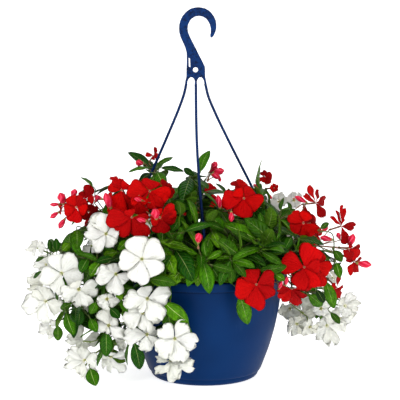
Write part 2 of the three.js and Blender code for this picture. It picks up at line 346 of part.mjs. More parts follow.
      [[-2.7, -112, 209.2], [-19.5, -99.9, 231.7], [-0.147, -0.913, 0.381], 12, 2.1],
      [[-7.2, -127.2, 219.9], [-35.5, -135.2, 241.5], [-0.253, -0.151, 0.956], 15.9, 2.6],
      [[11.4, -85.9, 172.1], [-21.7, -91.9, 198.7], [-0.332, -0.903, 0.274], 16.6, 3.6],
    ],
  },
  shoot_back_1: {
    stems: [
      [2.1, STEM_SIDES, 4, [[34, 58, 152.8], [36.1, 61.6, 173.2], [49, 85.1, 183.9], [54.7, 94.4, 197.6], [61.3, 107.2, 201.3]]],
    ],
    leaves: [
      [[42.2, 72.8, 178.1], [23.5, 118.6, 190.4], [0.146, 0.412, 0.899], 21.9, 4.7],
    ],
  },
  shoot_back_2: {
    stems: [
      [2.1, STEM_SIDES, 4, [[-12, 64, 152.8], [-12.9, 68.6, 176.7], [-12.4, 94.6, 194.8], [-11.6, 103, 214.5], [-12.7, 119.6, 219.7]]],
    ],
    leaves: [
      [[-12.4, 113.9, 216.6], [-18, 118.1, 259.5], [0.287, 0.189, 0.939], 16.8, 2.7],
      [[-12.6, 66.9, 168.5], [-44.2, 76.1, 197], [0.182, 0.53, 0.828], 19.8, 2.4],
      [[-12.7, 82.6, 185.9], [26.6, 102.1, 202.1], [-0.315, 0.405, 0.858], 20.9, 4.3],
      [[-12.7, 83.6, 186.6], [-37.6, 110, 189.6], [-0.017, 0.905, 0.426], 15.1, 3.4],
      [[-12.7, 67.3, 170.9], [26.3, 69.8, 215.9], [-0.151, 0.68, 0.717], 26.4, 4.2],
    ],
  },
  shoot_back_3: {
    stems: [
      [2.1, STEM_SIDES, 4, [[-56, 54, 152.8], [-59.4, 57.3, 172.8], [-67.3, 88.1, 175.4], [-70.2, 103.2, 183.1], [-76.5, 116.1, 185.8]]],
    ],
    leaves: [
      [[-73, 107.6, 183.2], [-100.1, 121.1, 224.5], [-0.002, 0.27, 0.963], 21.4, 4],
    ],
  },
  shoot_back_4: {
    stems: [
      [2.1, STEM_SIDES, 4, [[-82, 30, 152.8], [-79.6, 28.5, 178.7], [-107.9, 45.5, 200], [-104.3, 53.6, 210.8], [-121.3, 55.7, 215.3]]],
    ],
    leaves: [
      [[-89.3, 33.4, 185.6], [-133.9, 39.3, 181.9], [-0.923, -0.038, 0.382], 20.4, 2.7],
      [[-79.8, 28.6, 170.9], [-41.8, 12.5, 206.7], [-0.61, 0.24, 0.755], 23, 3.1],
    ],
  },
  shoot_back_5: {
    stems: [
      [2.1, STEM_SIDES, 4, [[70, 44, 152.8], [74, 46.5, 171.8], [91.4, 63.7, 182.3], [99, 70.5, 195.3], [108.9, 79.7, 198.9]]],
    ],
    leaves: [
    ],
  },
  shoot_back_6: {
    stems: [
      [2.1, STEM_SIDES, 3, [[-36, 84, 152.8], [-37.2, 86.8, 164], [-37.1, 92.9, 203], [-50.4, 126.3, 188], [-44.6, 114.1, 142], [-47.6, 121.4, 139.3]]],
    ],
    leaves: [
      [[-50.1, 125.8, 181.3], [-71, 125.4, 148.7], [-0.039, 0.494, 0.869], 15.5, 3.8],
      [[-36.5, 89.8, 190.1], [-77, 94.4, 222.5], [0.015, 0.722, 0.692], 22.4, 4.5],
      [[-36.5, 89.6, 189.2], [-70, 79.5, 222.3], [0.021, 0.534, 0.845], 22.1, 3.5],
    ],
  },
  shoot_back_7: {
    stems: [
      [2.1, STEM_SIDES, 3, [[14, 88, 152.8], [14.5, 91.1, 164.6], [24.3, 97, 203], [33, 131.9, 193.9], [31.2, 116.9, 163], [34.2, 125, 163.9]]],
    ],
    leaves: [
      [[31.6, 127.1, 195.1], [41.2, 140.6, 166.5], [0.169, 0.668, 0.725], 15.3, 2.4],
    ],
  },
};

// hub: where the stalks meet; flowers: [throat, facing, petals [direction, length], cup, stalk]; buds: [base, tip, radius, stalk]
const CLUSTERS = {
  flowers_white_1: {
    hub: [-72.5, -106.1, 182],
    flowers: [
      [[-93.9, -168, 216.3], [-0.087, -0.991, 0.105], [[55, 35.2], [132, 32.7], [191, 37.1], [267, 34.9], [344, 33.5]], -2.1, [[-91.5, -141.3, 213.5], [-73.1, -107.2, 183]]],
      [[-86.4, -150, 152.4], [0.035, -0.994, 0.105], [[80, 33.5], [153, 36.2], [222, 21], [267, 33.8], [342, 18.8]], -2.4, [[-87.4, -123.2, 149.6], [-73.1, -106.8, 180.7]]],
    ],
    buds: [
    ],
  },
  flowers_white_2: {
    hub: [-114.6, -98, 105.4],
    flowers: [
      [[-94.1, -138, 128], [-0.207, -0.973, -0.105], [[30, 21.1], [117, 28], [171, 29], [242, 32.3], [310, 21.1]], 1, [[-88.5, -111.7, 130.8], [-113.5, -98.6, 106.5]]],
      [[-87.8, -128, 92.6], [0, -0.99, 0.139], [[60, 15.2], [141, 19], [190, 25.8], [266, 33.4], [350, 16.7]], 0.8, [[-87.8, -105, 89.3], [-113.3, -98.3, 104.6]]],
      [[-146.6, -112, 103], [0.139, -0.988, 0.07], [[61, 15.2], [132, 27.9], [206, 12.2], [264, 16.8], [345, 25.5]], 0.8, [[-149.3, -93, 101.7], [-116.2, -97.8, 105.3]]],
    ],
    buds: [
    ],
  },
  flowers_white_3: {
    hub: [-58.8, -134, 113.3],
    flowers: [
      [[-45.3, -150, 91], [0.07, -0.995, 0.07], [[40, 28.7], [102, 33], [166, 35.8], [230, 33.9], [312, 26.6]], 2.5, [[-46.4, -133.3, 89.9], [-58, -134, 111.8]]],
      [[-52.1, -136, 53.3], [0.089, 0.637, -0.766], [[92, 19.9], [151, 29.4], [203, 36.6], [252, 38.3], [309, 20.4]], 0.4, [[-62.6, -143.5, 78.8], [-58.9, -134.4, 111.7]]],
    ],
    buds: [
    ],
  },
  flowers_white_4: {
    hub: [-122.8, -71.7, 233.3],
    flowers: [
      [[-149.8, -109.8, 244.5], [-0.205, -0.963, 0.174], [[83, 19.5], [150, 21.3], [219, 28.3], [276, 31.6], [345, 31.1]], 1.6, [[-144.4, -84.3, 239.9], [-124.2, -72.4, 233.8]]],
      [[-173.6, -93.3, 222.9], [-0.612, -0.612, -0.5], [[59, 15.6], [143, 12.2], [214, 15.6], [246, 15.6], [333, 7.6]], 0.4, [[-157.1, -76.8, 236.4], [-124.4, -71.9, 233.5]]],
    ],
    buds: [
    ],
  },
  flowers_white_5: {
    hub: [-197.8, -28, 184.8],
    flowers: [
      [[-219.2, -92, 180.2], [-0.173, -0.982, 0.07], [[38, 33.8], [110, 32.6], [198, 32.2], [260, 34], [343, 31.4]], 0.2, [[-214.6, -65.5, 178.4], [-198.5, -29.5, 184.6]]],
      [[-246.5, -48, 185], [-0.575, -0.791, 0.208], [[23, 16.1], [92, 16.1], [214, 20.1], [272, 21.2], [315, 19]], 1.2, [[-230.9, -26.6, 179.4], [-199.4, -28, 184.6]]],
      [[-262.1, -25, 207.8], [-0.641, -0.641, 0.423], [[18, 12.6], [86, 17.8], [205, 12.8], [263, 17.8], [300, 17.8]], 1.1, [[-244.8, -7.7, 196.3], [-199.3, -27.4, 185.2]]],
    ],
    buds: [
    ],
  },
  flowers_white_6: {
    hub: [-138.6, -71.6, 162.8],
    flowers: [
      [[-133.9, -135, 187.3], [0.294, -0.905, 0.309], [[11, 16], [123, 20.6], [188, 31.2], [270, 31.8], [322, 18.1]], 1.5, [[-141.8, -110.6, 179], [-138.7, -73, 163.4]]],
      [[-192.1, -108, 158.2], [0, -0.995, -0.105], [[86, 29.7], [152, 29], [194, 28], [249, 28.5], [332, 14.1]], 0.8, [[-192.1, -81.1, 161], [-140.1, -71.8, 162.8]]],
      [[-148.5, -120, 145.9], [0.17, -0.963, -0.208], [[49, 10.8], [113, 20.5], [198, 17.8], [256, 15.1], [322, 9.9]], -1.8, [[-153.1, -94, 151.5], [-139.4, -72.8, 162.2]]],
      [[-181.4, -92, 133.9], [0, -0.866, -0.5], [[25, 9.8], [128, 9.9], [175, 20.9], [209, 11.6], [319, 8.7]], -2.1, [[-181.4, -68.6, 147.4], [-140.1, -71.5, 162.3]]],
    ],
    buds: [
    ],
  },
  flowers_white_7: {
    hub: [-202.9, -16.2, 129.8],
    flowers: [
      [[-247.1, -58, 129.3], [-0.342, -0.94, 0], [[16, 21.1], [114, 30.4], [194, 31.7], [257, 38.2], [314, 26.7]], 1.3, [[-237.9, -32.6, 129.3], [-204.4, -16.9, 129.8]]],
      [[-242.2, -38, 86.1], [-0.446, -0.84, -0.309], [[52, 13], [158, 16.1], [209, 24.8], [246, 24.8], [303, 12.8]], -1.1, [[-230.2, -15.3, 94.4], [-203.9, -16.1, 128.5]]],
      [[-253, -30, 151.4], [-0.612, -0.784, 0.105], [[60, 12.1], [201, 13.3], [252, 29.6], [287, 32], [335, 15.9]], 2.5, [[-236.5, -8.8, 148.6], [-204.3, -15.9, 130.6]]],
    ],
    buds: [
    ],
  },
  flowers_white_8: {
    hub: [-126.1, -48, 76.7],
    flowers: [
      [[-186.2, -78, 40.2], [-0.208, -0.978, 0.035], [[92, 19.2], [198, 25.6], [259, 32.4], [306, 29.6], [360, 18.9]], 1, [[-180.6, -51.6, 39.3], [-127.4, -48, 75.8]]],
      [[-189.5, -58, 66.6], [-0.495, 0.858, -0.139], [[28, 24.3], [75, 27.6], [121, 14.7], [186, 14.1], [273, 27.6]], 0.7, [[-176.1, -81.2, 70.3], [-127.4, -48.8, 76.6]]],
      [[-144.6, -88, 48.2], [-0.123, -0.874, -0.469], [[5, 10.3], [94, 21.8], [160, 31.3], [203, 31.3], [244, 17.3]], -2.4, [[-141.3, -64.4, 60.8], [-127, -48.9, 75.8]]],
      [[-124, -98, 75.7], [-0.646, -0.646, -0.407], [[67, 14.3], [204, 15.6], [234, 26], [263, 14.5], [343, 7.9]], 2.4, [[-106.5, -80.6, 86.6], [-125.3, -49.3, 77.1]]],
      [[-189.6, -62, 22.1], [-0.415, -0.718, -0.559], [[100, 24], [167, 14.6], [203, 24.6], [236, 18.6], [324, 8]], -1.7, [[-178.5, -42.6, 37.2], [-127.4, -47.8, 75.8]]],
    ],
    buds: [
    ],
  },
  flowers_red_1: {
    hub: [-160.5, -12.9, 262.9],
    flowers: [
      [[-197.7, -62, 277.8], [-0.207, -0.973, 0.105], [[35, 19.6], [108, 17.4], [189, 24.7], [254, 20.8], [328, 19.3]], -0.7, [[-187.9, -36.2, 277.6], [-161.7, -13.9, 263.5]]],
      [[-183.9, -39.4, 287.4], [0.27, -0.74, 0.616], [[28, 26.6], [99, 12.7], [208, 14.7], [273, 11.2], [337, 14.7]], 0.4, [[-190.3, -21.9, 272.8], [-162, -13.3, 263.4]]],
      [[-179.7, -35.7, 266.4], [0.312, -0.858, -0.407], [[12, 13.9], [82, 14.3], [149, 19.5], [225, 14.2], [304, 14.5]], 1.2, [[-184.8, -21.5, 273.1], [-161.9, -13.4, 263.5]]],
      [[-220.1, -30, 274.5], [-0.759, -0.637, 0.139], [[72, 16], [121, 16], [223, 16], [274, 16], [350, 12.5]], -2.2, [[-199.6, -12.8, 270.7], [-162.1, -12.9, 263.2]]],
    ],
    buds: [
      [[-218.5, -31, 277.7], [-224.3, -40, 297.4], 6.4, [[-202.8, -25.6, 281.4], [-161.9, -13.3, 263.5]]],
    ],
  },
  flowers_red_2: {
    hub: [-93, -49, 277.8],
    flowers: [
      [[-126.9, -86.7, 307.5], [-0.168, -0.956, -0.242], [[40, 15.1], [167, 37], [199, 39.8], [297, 19.7], [334, 20.3]], 0.9, [[-119.9, -64.2, 312.9], [-93.9, -49.6, 279]]],
      [[-110.1, -122.8, 271.6], [-0.086, -0.981, -0.174], [[98, 24.2], [153, 35], [220, 36.1], [267, 39.7], [342, 12.5]], -1.3, [[-109.7, -99, 279], [-93.5, -50.5, 277.8]]],
      [[-130.4, -56, 314.7], [-0.238, -0.653, 0.719], [[34, 8], [117, 13.4], [227, 12.4], [304, 22.9], [344, 10.1]], 0.3, [[-124, -38.4, 295.3], [-94.3, -48.6, 278.6]]],
      [[-143.2, -66.6, 286.7], [-0.846, -0.529, 0.07], [[48, 10.9], [124, 10.1], [202, 16.9], [265, 17.4], [334, 15.9]], 1.3, [[-120.3, -52.3, 284.9], [-94.5, -49.2, 278.2]]],
    ],
    buds: [
      [[-143.1, -84, 277.9], [-151.8, -93, 305.3], 6, [[-103.7, -81.1, 263.2], [-93.4, -50.4, 277.2]]],
    ],
  },
  flowers_red_3: {
    hub: [-64.3, -56.1, 277.2],
    flowers: [
      [[-83.5, -94.8, 307.6], [0.069, -0.988, 0.139], [[9, 17.9], [115, 30], [159, 29.7], [244, 25.8], [279, 33.3]], -3.8, [[-85.4, -68.1, 303.8], [-65.2, -56.6, 278.4]]],
      [[-67.5, -125, 271.9], [0.139, -0.99, 0], [[61, 26.4], [100, 25.1], [176, 24.5], [246, 15.1], [335, 13.8]], -1.3, [[-71.3, -98.3, 271.9], [-64.6, -57.7, 277]]],
      [[-99.7, -112.6, 295.2], [0, -0.94, -0.342], [[32, 8.3], [107, 13.7], [177, 25.9], [253, 12.3], [329, 8.2]], -3, [[-99.7, -87.2, 304.4], [-89.6, -81.1, 276.3], [-65.4, -57.2, 277.2]]],
      [[-61.6, -72, 305.4], [0.485, -0.84, 0.242], [[12, 16.3], [68, 15.6], [114, 18.5], [229, 10.1], [302, 8.2]], -1.6, [[-70.3, -57, 301], [-64.7, -56.2, 278.8]]],
    ],
    buds: [
      [[-72.4, -144, 272.1], [-75, -153, 289.8], 6.2, [[-89.8, -89.9, 279.3], [-65.3, -57.4, 277.3]]],
    ],
  },
  flowers_red_10: {
    hub: [-70.5, 48.3, 305.1],
    flowers: [
      [[-80.3, 42, 345.1], [0.41, -0.709, 0.574], [[31, 16.4], [75, 8.6], [135, 9.5], [215, 8.9], [283, 14.5]], -0.4, [[-89.7, 58.3, 331.9], [-71.4, 48.7, 306.3]]],
    ],
    buds: [
      [[-97.2, 44, 331.7], [-109.4, 35, 335.1], 5.2, [[-96, 55.1, 330], [-69.5, 48.3, 304.1]]],
    ],
  },
  flowers_red_4: {
    hub: [40.4, -19, 264.4],
    flowers: [
      [[60.1, -72, 293.3], [-0.068, -0.976, 0.208], [[41, 19.1], [113, 28.4], [188, 29.1], [265, 33.7], [315, 18.4]], 0.1, [[61.9, -45.7, 287.7], [41.2, -20, 265.3]]],
      [[53.8, -42, 304.2], [0, -0.766, 0.643], [[13, 17.7], [61, 14.5], [198, 9], [264, 7.8], [330, 17.3]], -1.8, [[53.8, -21.8, 287.2], [41.2, -19.2, 265.8]]],
    ],
    buds: [
      [[23.8, -74, 276.4], [19.7, -83, 300.6], 4.4, [[24.2, -63.4, 273], [40, -19.2, 264.3]]],
      [[40.3, -96, 277.3], [40.2, -105, 261.8], 4.2, [[40.5, -85.1, 277.5], [39.9, -18.3, 265.1]]],
    ],
  },
  flowers_red_5: {
    hub: [120.9, -12.6, 252.1],
    flowers: [
      [[152.1, -62, 253.3], [0, -0.999, 0.035], [[19, 17], [132, 26.4], [180, 20.2], [240, 23.1], [306, 24]], -3.2, [[152.1, -35, 252.4], [122.2, -13.6, 252.1]]],
      [[173.7, -20, 278.2], [0.797, -0.579, 0.174], [[34, 22.5], [89, 33.9], [145, 29.6], [302, 29.9], [339, 31.5]], -1.6, [[152.2, -4.4, 273.5], [122.2, -12.3, 252.9]]],
    ],
    buds: [
      [[159.9, -21, 278.6], [140.1, -30, 290.3], 4, [[147.3, -12.8, 259.6], [122.5, -12.6, 252.5]]],
    ],
  },
  flowers_red_6: {
    hub: [137.6, -59.5, 184.1],
    flowers: [
      [[150.5, -122, 195.2], [0, -0.999, 0.052], [[24, 35.5], [90, 24.2], [152, 35], [199, 32.9], [286, 36.8]], 0.6, [[150.1, -94.4, 193.9], [138.1, -60.9, 184.5]]],
      [[164.9, -102, 193.4], [0.104, -0.992, 0.07], [[33, 25.9], [103, 28.7], [160, 35.5], [236, 18.3], [330, 18.5]], -2.1, [[162.1, -75.2, 191.6], [138.9, -60.3, 184.5]]],
      [[204.1, -72, 153.4], [0.568, -0.676, -0.469], [[103, 12.3], [147, 28], [205, 14.1], [286, 15.3], [350, 23.3]], -1.5, [[188.8, -53.7, 166.1], [139.1, -59.3, 183.5]]],
    ],
    buds: [
    ],
  },
  flowers_red_7: {
    hub: [82.8, -79, 174],
    flowers: [
      [[77.4, -152, 174.5], [0.035, -0.997, 0.07], [[68, 28.9], [131, 29.5], [188, 35.9], [257, 33], [337, 25.4]], -2.1, [[76.5, -125.1, 172.7], [82.6, -80.6, 174]]],
      [[132.8, -104, 157.7], [0, -0.866, -0.5], [[87, 32], [134, 26.4], [168, 36.3], [213, 30.1], [270, 22.9]], -3.4, [[132.8, -80.6, 171.2], [84.4, -79.1, 173.9]]],
    ],
    buds: [
      [[112, -124, 161.8], [116.2, -133, 176.6], 3.2, [[105.8, -96.1, 175.6], [84.1, -80, 174.1]]],
      [[122.9, -114, 165.2], [124.3, -123, 181.5], 3.2, [[91.9, -98.8, 172.9], [83.5, -80.5, 174]]],
    ],
  },
  flowers_red_8: {
    hub: [174.7, -14.5, 209.8],
    flowers: [
      [[213.8, -22, 242.1], [0.676, -0.653, 0.342], [[32, 35.3], [100, 32.6], [172, 31.3], [320, 24.2], [360, 25]], -1.3, [[195.5, -4.4, 232.9], [175.7, -14, 211]]],
      [[224.5, -49.1, 210.4], [0.587, -0.809, 0.035], [[27, 7.9], [94, 25.8], [125, 25.5], [168, 17.8], [231, 13.6]], -3.9, [[208.6, -27.3, 209.5], [176.2, -15.1, 209.8]]],
      [[233.1, -33.1, 187.8], [0.624, -0.743, -0.242], [[5, 9.7], [89, 17.2], [144, 26.1], [199, 21.4], [291, 16.9]], -2, [[216.2, -13, 194.3], [176.2, -14.4, 209.3]]],
    ],
    buds: [
      [[198.5, -46, 224.6], [178, -55, 229.7], 4.6, [[201, -35.4, 222.5], [175.4, -13.7, 208.9]]],
      [[226.1, -36, 212.5], [230.7, -45, 233.7], 5.6, [[226.5, -25.4, 208.9], [175.4, -15, 208.8]]],
      [[236.4, -32, 185.4], [260.4, -41, 183.5], 5.6, [[222.6, -18.9, 201.8], [176.3, -14.6, 209.6]]],
    ],
  },
  flowers_red_9: {
    hub: [67.5, 47.6, 274.5],
    flowers: [
      [[94.6, 45, 311.8], [0.296, -0.814, 0.5], [[38, 10.1], [91, 13.7], [154, 14.5], [214, 10.9], [340, 8.1]], -0.3, [[87.1, 65.7, 299.1], [68.4, 48.4, 275.6]]],
      [[110.5, 30, 294.7], [0.492, -0.853, 0.174], [[6, 7], [79, 8.2], [145, 7], [226, 7.7], [290, 8.2]], 0.1, [[97.2, 53, 290], [68.9, 47.8, 275.2]]],
    ],
    buds: [
    ],
  },
  flowers_white_9: {
    hub: [94.1, 49.6, 255.7],
    flowers: [
      [[118.6, 42, 272], [-0.085, -0.974, 0.208], [[34, 13.5], [94, 12.7], [204, 15.1], [261, 13.5], [339, 12.8]], -2, [[120, 58.3, 268.5], [95.5, 50, 256.4]]],
      [[141.9, 30, 275.4], [0.571, -0.816, 0.087], [[3, 12.7], [70, 16.3], [133, 14.7], [208, 11.4], [299, 15.4]], 1.8, [[131.8, 49, 267.8], [95.6, 49.5, 256.2]]],
    ],
    buds: [
    ],
  },
  flowers_white_10: {
    hub: [144.2, 82, 98],
    flowers: [
      [[156, 28.5, 92.7], [0, -0.998, 0.07], [[32, 27.2], [96, 22.4], [165, 24.2], [240, 24], [305, 16]], -1.5, [[156, 55.5, 90.9], [144.8, 80.6, 97.7]]],
      [[137.3, 40.5, 96.8], [-0.34, -0.935, -0.105], [[57, 15.8], [150, 19.3], [205, 17.5], [261, 17.9], [319, 8]], 1.5, [[145.2, 62.1, 99.2], [144.2, 80.4, 98.1]]],
      [[147.2, 11.7, 78.4], [-0.095, -0.909, -0.407], [[17, 15.6], [107, 20.8], [164, 23], [210, 22.7], [281, 14.3]], 1.7, [[149.8, 36.2, 89.4], [172.9, 69.4, 91.9], [145.6, 81.4, 97.7]]],
      [[166.9, -6, 77.4], [0.153, -0.87, -0.469], [[93, 13.1], [151, 16.1], [204, 16.1], [273, 11.5], [331, 14.8]], 1.3, [[162.8, 17.4, 90.1], [136.9, 24.1, 108.7], [144, 80.4, 98.3]]],
      [[184.6, 2, 105.6], [0.172, -0.975, -0.139], [[60, 15.9], [131, 15.5], [197, 11.5], [277, 13.1], [339, 10.3]], 0.2, [[179.9, 28.3, 109.4], [145, 80.7, 98.3]]],
    ],
    buds: [
    ],
  },
  flowers_white_11: {
    hub: [187.5, 72, 98.4],
    flowers: [
      [[195.4, 17.3, 74.4], [0.069, -0.988, -0.139], [[33, 21.2], [107, 24.5], [164, 32.6], [228, 25.8], [302, 15]], 2.1, [[193.6, 44, 78.2], [187.8, 70.7, 97.5]]],
      [[222.8, 5, 109.1], [0.436, -0.894, 0.105], [[37, 22.8], [95, 22.1], [166, 16.3], [248, 12.2], [315, 15.7]], 1.9, [[211, 29.1, 106.2], [188.3, 70.6, 98.7]]],
      [[217, 30.1, 84.2], [0.547, -0.811, -0.208], [[79, 32.1], [118, 32.6], [155, 32.6], [223, 16.2], [322, 16.9]], -2.2, [[202.2, 52, 89.8], [188.4, 70.8, 97.9]]],
      [[200.8, -30, 161.8], [0.422, -0.794, 0.438], [[15, 9.9], [71, 11.3], [136, 11.2], [229, 11], [294, 10.2]], 0.2, [[189.4, -8.6, 150], [187.5, 70.7, 99.3]]],
    ],
    buds: [
    ],
  },
  flowers_white_back_1: {
    hub: [63.2, 111.1, 202.4],
    flowers: [
      [[102, 176.6, 211.5], [0.106, 0.982, 0.155], [[-4, 26.1], [66, 29], [138, 29.2], [215, 27.5], [284, 29.4]], 0.3, [[99.1, 150.1, 207.3], [64.3, 112.2, 202.5]]],
      [[106.7, 149.7, 241.7], [0.604, 0.715, 0.352], [[25, 28], [85, 27.3], [164, 26.5], [232, 26.4], [309, 26.8]], -0.9, [[90.4, 130.4, 232.2], [64.2, 111.8, 203.5]]],
      [[129.7, 130.5, 184.1], [0.773, 0.632, -0.056], [[41, 29.5], [113, 26.1], [172, 25.1], [243, 27.5], [329, 28.7]], -2.2, [[108.8, 113.4, 185.6], [64.7, 111.1, 201.8]]],
      [[59.9, 176.1, 174.6], [0.237, 0.964, -0.121], [[50, 27.4], [115, 26.3], [199, 27.7], [260, 28.1], [340, 26.1]], -0.6, [[52.8, 150.4, 177.2], [62.9, 112.4, 201.6]]],
      [[48.3, 185.2, 228.7], [0.132, 0.968, 0.212], [[62, 23.8], [133, 24.7], [216, 22.9], [287, 23.1], [359, 22.4]], -3.2, [[44.7, 159, 223], [62.7, 112.5, 203]]],
    ],
    buds: [
    ],
  },
  flowers_red_back_1: {
    hub: [-13, 123.9, 221],
    flowers: [
      [[-27, 191.8, 232.9], [-0.416, 0.831, 0.369], [[-4, 26.2], [67, 28.4], [141, 28.2], [214, 24.6], [287, 26]], -1.4, [[-15.7, 169.4, 222.9], [-13.1, 125.5, 221]]],
      [[-4.8, 170.4, 264.7], [0.03, 0.899, 0.438], [[15, 24.9], [82, 27.5], [163, 25.1], [232, 27.6], [306, 25.8]], 0.8, [[-5.7, 146.1, 252.8], [-12.7, 124.8, 222.3]]],
      [[20.5, 177.9, 221], [0.278, 0.951, 0.136], [[31, 28.3], [111, 26.2], [174, 25.8], [248, 29.3], [324, 26.7]], 0.7, [[13, 152.3, 217.4], [-11.9, 125.1, 220.8]]],
      [[-26.3, 175.5, 190.8], [-0.154, 0.983, -0.095], [[54, 24.8], [128, 24.3], [187, 24.3], [263, 26.6], [345, 24.1]], 1.8, [[-22.2, 149, 193.4], [-13.4, 124.9, 219.8]]],
      [[-64.6, 173.5, 254.7], [-0.44, 0.827, 0.35], [[4, 22.7], [64, 25.1], [142, 26.2], [213, 26.3], [290, 22.4]], -1.2, [[-52.7, 151.2, 245.3], [-14.2, 124.7, 221.7]]],
    ],
    buds: [
    ],
  },
  flowers_white_back_2: {
    hub: [-78.5, 120, 186.7],
    flowers: [
      [[-122.5, 181.6, 190], [-0.807, 0.571, 0.15], [[7, 26], [79, 26.1], [139, 25.4], [212, 24.1], [287, 23.4]], -0.5, [[-100.7, 166.2, 186], [-79.2, 121.5, 186.7]]],
      [[-101.5, 173, 224.9], [-0.435, 0.858, 0.275], [[23, 23.9], [86, 26.9], [158, 25.3], [235, 26.9], [305, 27.4]], -1.2, [[-89.8, 149.8, 217.5], [-78.9, 121.1, 187.8]]],
      [[-70.1, 190.7, 167.2], [-0.219, 0.966, -0.14], [[39, 24.1], [113, 25.9], [184, 24.3], [254, 24.9], [326, 26.5]], -2.7, [[-64.2, 164.6, 171], [-78, 121.5, 186.2]]],
      [[-124.7, 152.5, 156.7], [-0.672, 0.692, -0.261], [[46, 24.5], [127, 23.9], [194, 22.1], [262, 22.8], [346, 22.6]], 0.1, [[-106.5, 133.8, 163.8], [-79.6, 120.6, 185.7]]],
      [[-146.1, 137.1, 197.9], [-0.844, 0.533, 0.059], [[3, 24.7], [70, 25.9], [133, 23.3], [209, 23.7], [283, 24]], -3.5, [[-123.3, 122.7, 196.3], [-80, 120.1, 187]]],
    ],
    buds: [
    ],
  },
  flowers_red_back_2: {
    hub: [-125.1, 57.6, 216.8],
    flowers: [
      [[-194.5, 78.6, 224.3], [-0.95, 0.029, 0.31], [[-8, 28.7], [76, 28.7], [140, 30.4], [215, 25.8], [281, 27.5]], -1.5, [[-168.9, 77.8, 216], [-126.5, 58.3, 216.8]]],
      [[-147.6, 114.4, 214.9], [-0.684, 0.719, 0.124], [[16, 25.7], [89, 26.3], [154, 26.1], [235, 24.7], [301, 27.7]], 1, [[-129.2, 95, 211.6], [-125.2, 59.2, 216.6]]],
      [[-184.9, 36.7, 245], [-0.943, 0.051, 0.33], [[42, 25.6], [104, 24.7], [172, 27], [248, 22.9], [320, 25.8]], 0, [[-159.5, 35.3, 236.1], [-126.3, 56.9, 217.5]]],
    ],
    buds: [
    ],
  },
  flowers_red_back_3: {
    hub: [112.1, 82.7, 200],
    flowers: [
      [[169.3, 127.6, 207.2], [0.488, 0.86, 0.153], [[-2, 31], [80, 26.7], [142, 30.1], [218, 27.7], [294, 26.3]], -0.9, [[156.1, 104.3, 203.1], [113.5, 83.4, 200.1]]],
      [[172.5, 83.2, 230.1], [0.921, 0.297, 0.253], [[13, 29.3], [88, 29], [154, 26.9], [232, 28.3], [310, 29.5]], -1.8, [[147.7, 75.1, 223.3], [113.4, 82.4, 200.8]]],
      [[152.4, 115.2, 160.5], [0.779, 0.59, -0.212], [[33, 25.1], [102, 24.8], [182, 26.8], [243, 26.2], [330, 23.2]], 0.8, [[131.3, 99.2, 166.2], [112.8, 83.3, 198.7]]],
      [[129.3, 152.3, 221.2], [0.499, 0.846, 0.187], [[44, 24.4], [117, 26.4], [202, 24.8], [269, 26.6], [337, 25.9]], -2.7, [[115.8, 129.4, 216.1], [112.2, 84.2, 200.5]]],
    ],
    buds: [
    ],
  },
  flowers_white_back_3: {
    hub: [-49.1, 125.3, 137.9],
    flowers: [
      [[-78.3, 193.9, 115.2], [-0.702, 0.675, -0.226], [[6, 22.8], [76, 22.8], [151, 23.5], [220, 23.8], [282, 23.9]], 1.9, [[-59.4, 175.7, 121.3], [-49.4, 126.8, 137.4]]],
      [[-33.1, 184.7, 152.5], [-0.042, 0.989, -0.143], [[17, 26.2], [86, 24.2], [156, 24.9], [232, 25.7], [312, 26.5]], 1.9, [[-32, 158, 156.4], [-48.5, 126.6, 138.6]]],
      [[-71.9, 169.3, 89.4], [-0.336, 0.753, -0.566], [[28, 27.6], [112, 30.9], [181, 29.7], [243, 26.8], [318, 31.2]], -0.1, [[-62.8, 148.9, 104.6], [-49.7, 126.2, 136.6]]],
      [[-105.2, 148.5, 136.3], [-0.706, 0.664, -0.247], [[48, 24.1], [125, 24.1], [199, 24.2], [262, 22.9], [334, 22.4]], 1.9, [[-86.1, 130.5, 142.9], [-50.7, 125.5, 138.1]]],
    ],
    buds: [
    ],
  },
  flowers_red_back_4: {
    hub: [35.7, 129.2, 164.3],
    flowers: [
      [[42.4, 199.2, 147.1], [-0.198, 0.975, -0.101], [[4, 29.7], [79, 27.8], [140, 28], [216, 26.8], [285, 29.5]], 0.6, [[47.7, 172.9, 149.8], [36.1, 130.6, 163.8]]],
      [[68.7, 153.1, 184.1], [0.497, 0.868, 0.009], [[24, 24.8], [84, 22], [162, 23.6], [236, 22.2], [308, 23.2]], -2.8, [[56.7, 132.2, 183.6], [36.9, 129.3, 165.4]]],
      [[54.4, 172.6, 108.7], [0.306, 0.841, -0.446], [[26, 28.4], [110, 28.4], [185, 28.7], [257, 27.9], [320, 28.5]], -1.1, [[46.2, 149.8, 120.7], [36.1, 129.8, 162.9]]],
      [[-7.1, 185.7, 166.4], [-0.193, 0.977, -0.09], [[44, 25.5], [129, 27.8], [198, 25.8], [275, 25.4], [337, 24.6]], -3.2, [[-1.9, 159.3, 168.8], [34.5, 130.2, 164.5]]],
    ],
    buds: [
    ],
  },
  buds_red_top: {
    hub: [4.8, 19.5, 308.3],
    flowers: [
    ],
    buds: [
      [[10.2, 24, 325.9], [19.3, 15, 338.1], 5, [[9.3, 34.9, 323.2], [5.9, 20, 307.8]]],
      [[12.7, 12, 321.2], [30.9, 3, 327], 5.4, [[11, 22.8, 319.3], [3.9, 19.8, 309.2]]],
    ],
  },
  bud_red_front: {
    hub: [-10, -138.6, 228.2],
    flowers: [
    ],
    buds: [
      [[-10.2, -154, 238], [-8.9, -163, 254.6], 5.4, [[-10.3, -143.2, 234.6], [-9.4, -139, 228.7]]],
    ],
  },
};

const wasm = await Module();
wasm.setup();

// ---- solids -------------------------------------------------------------

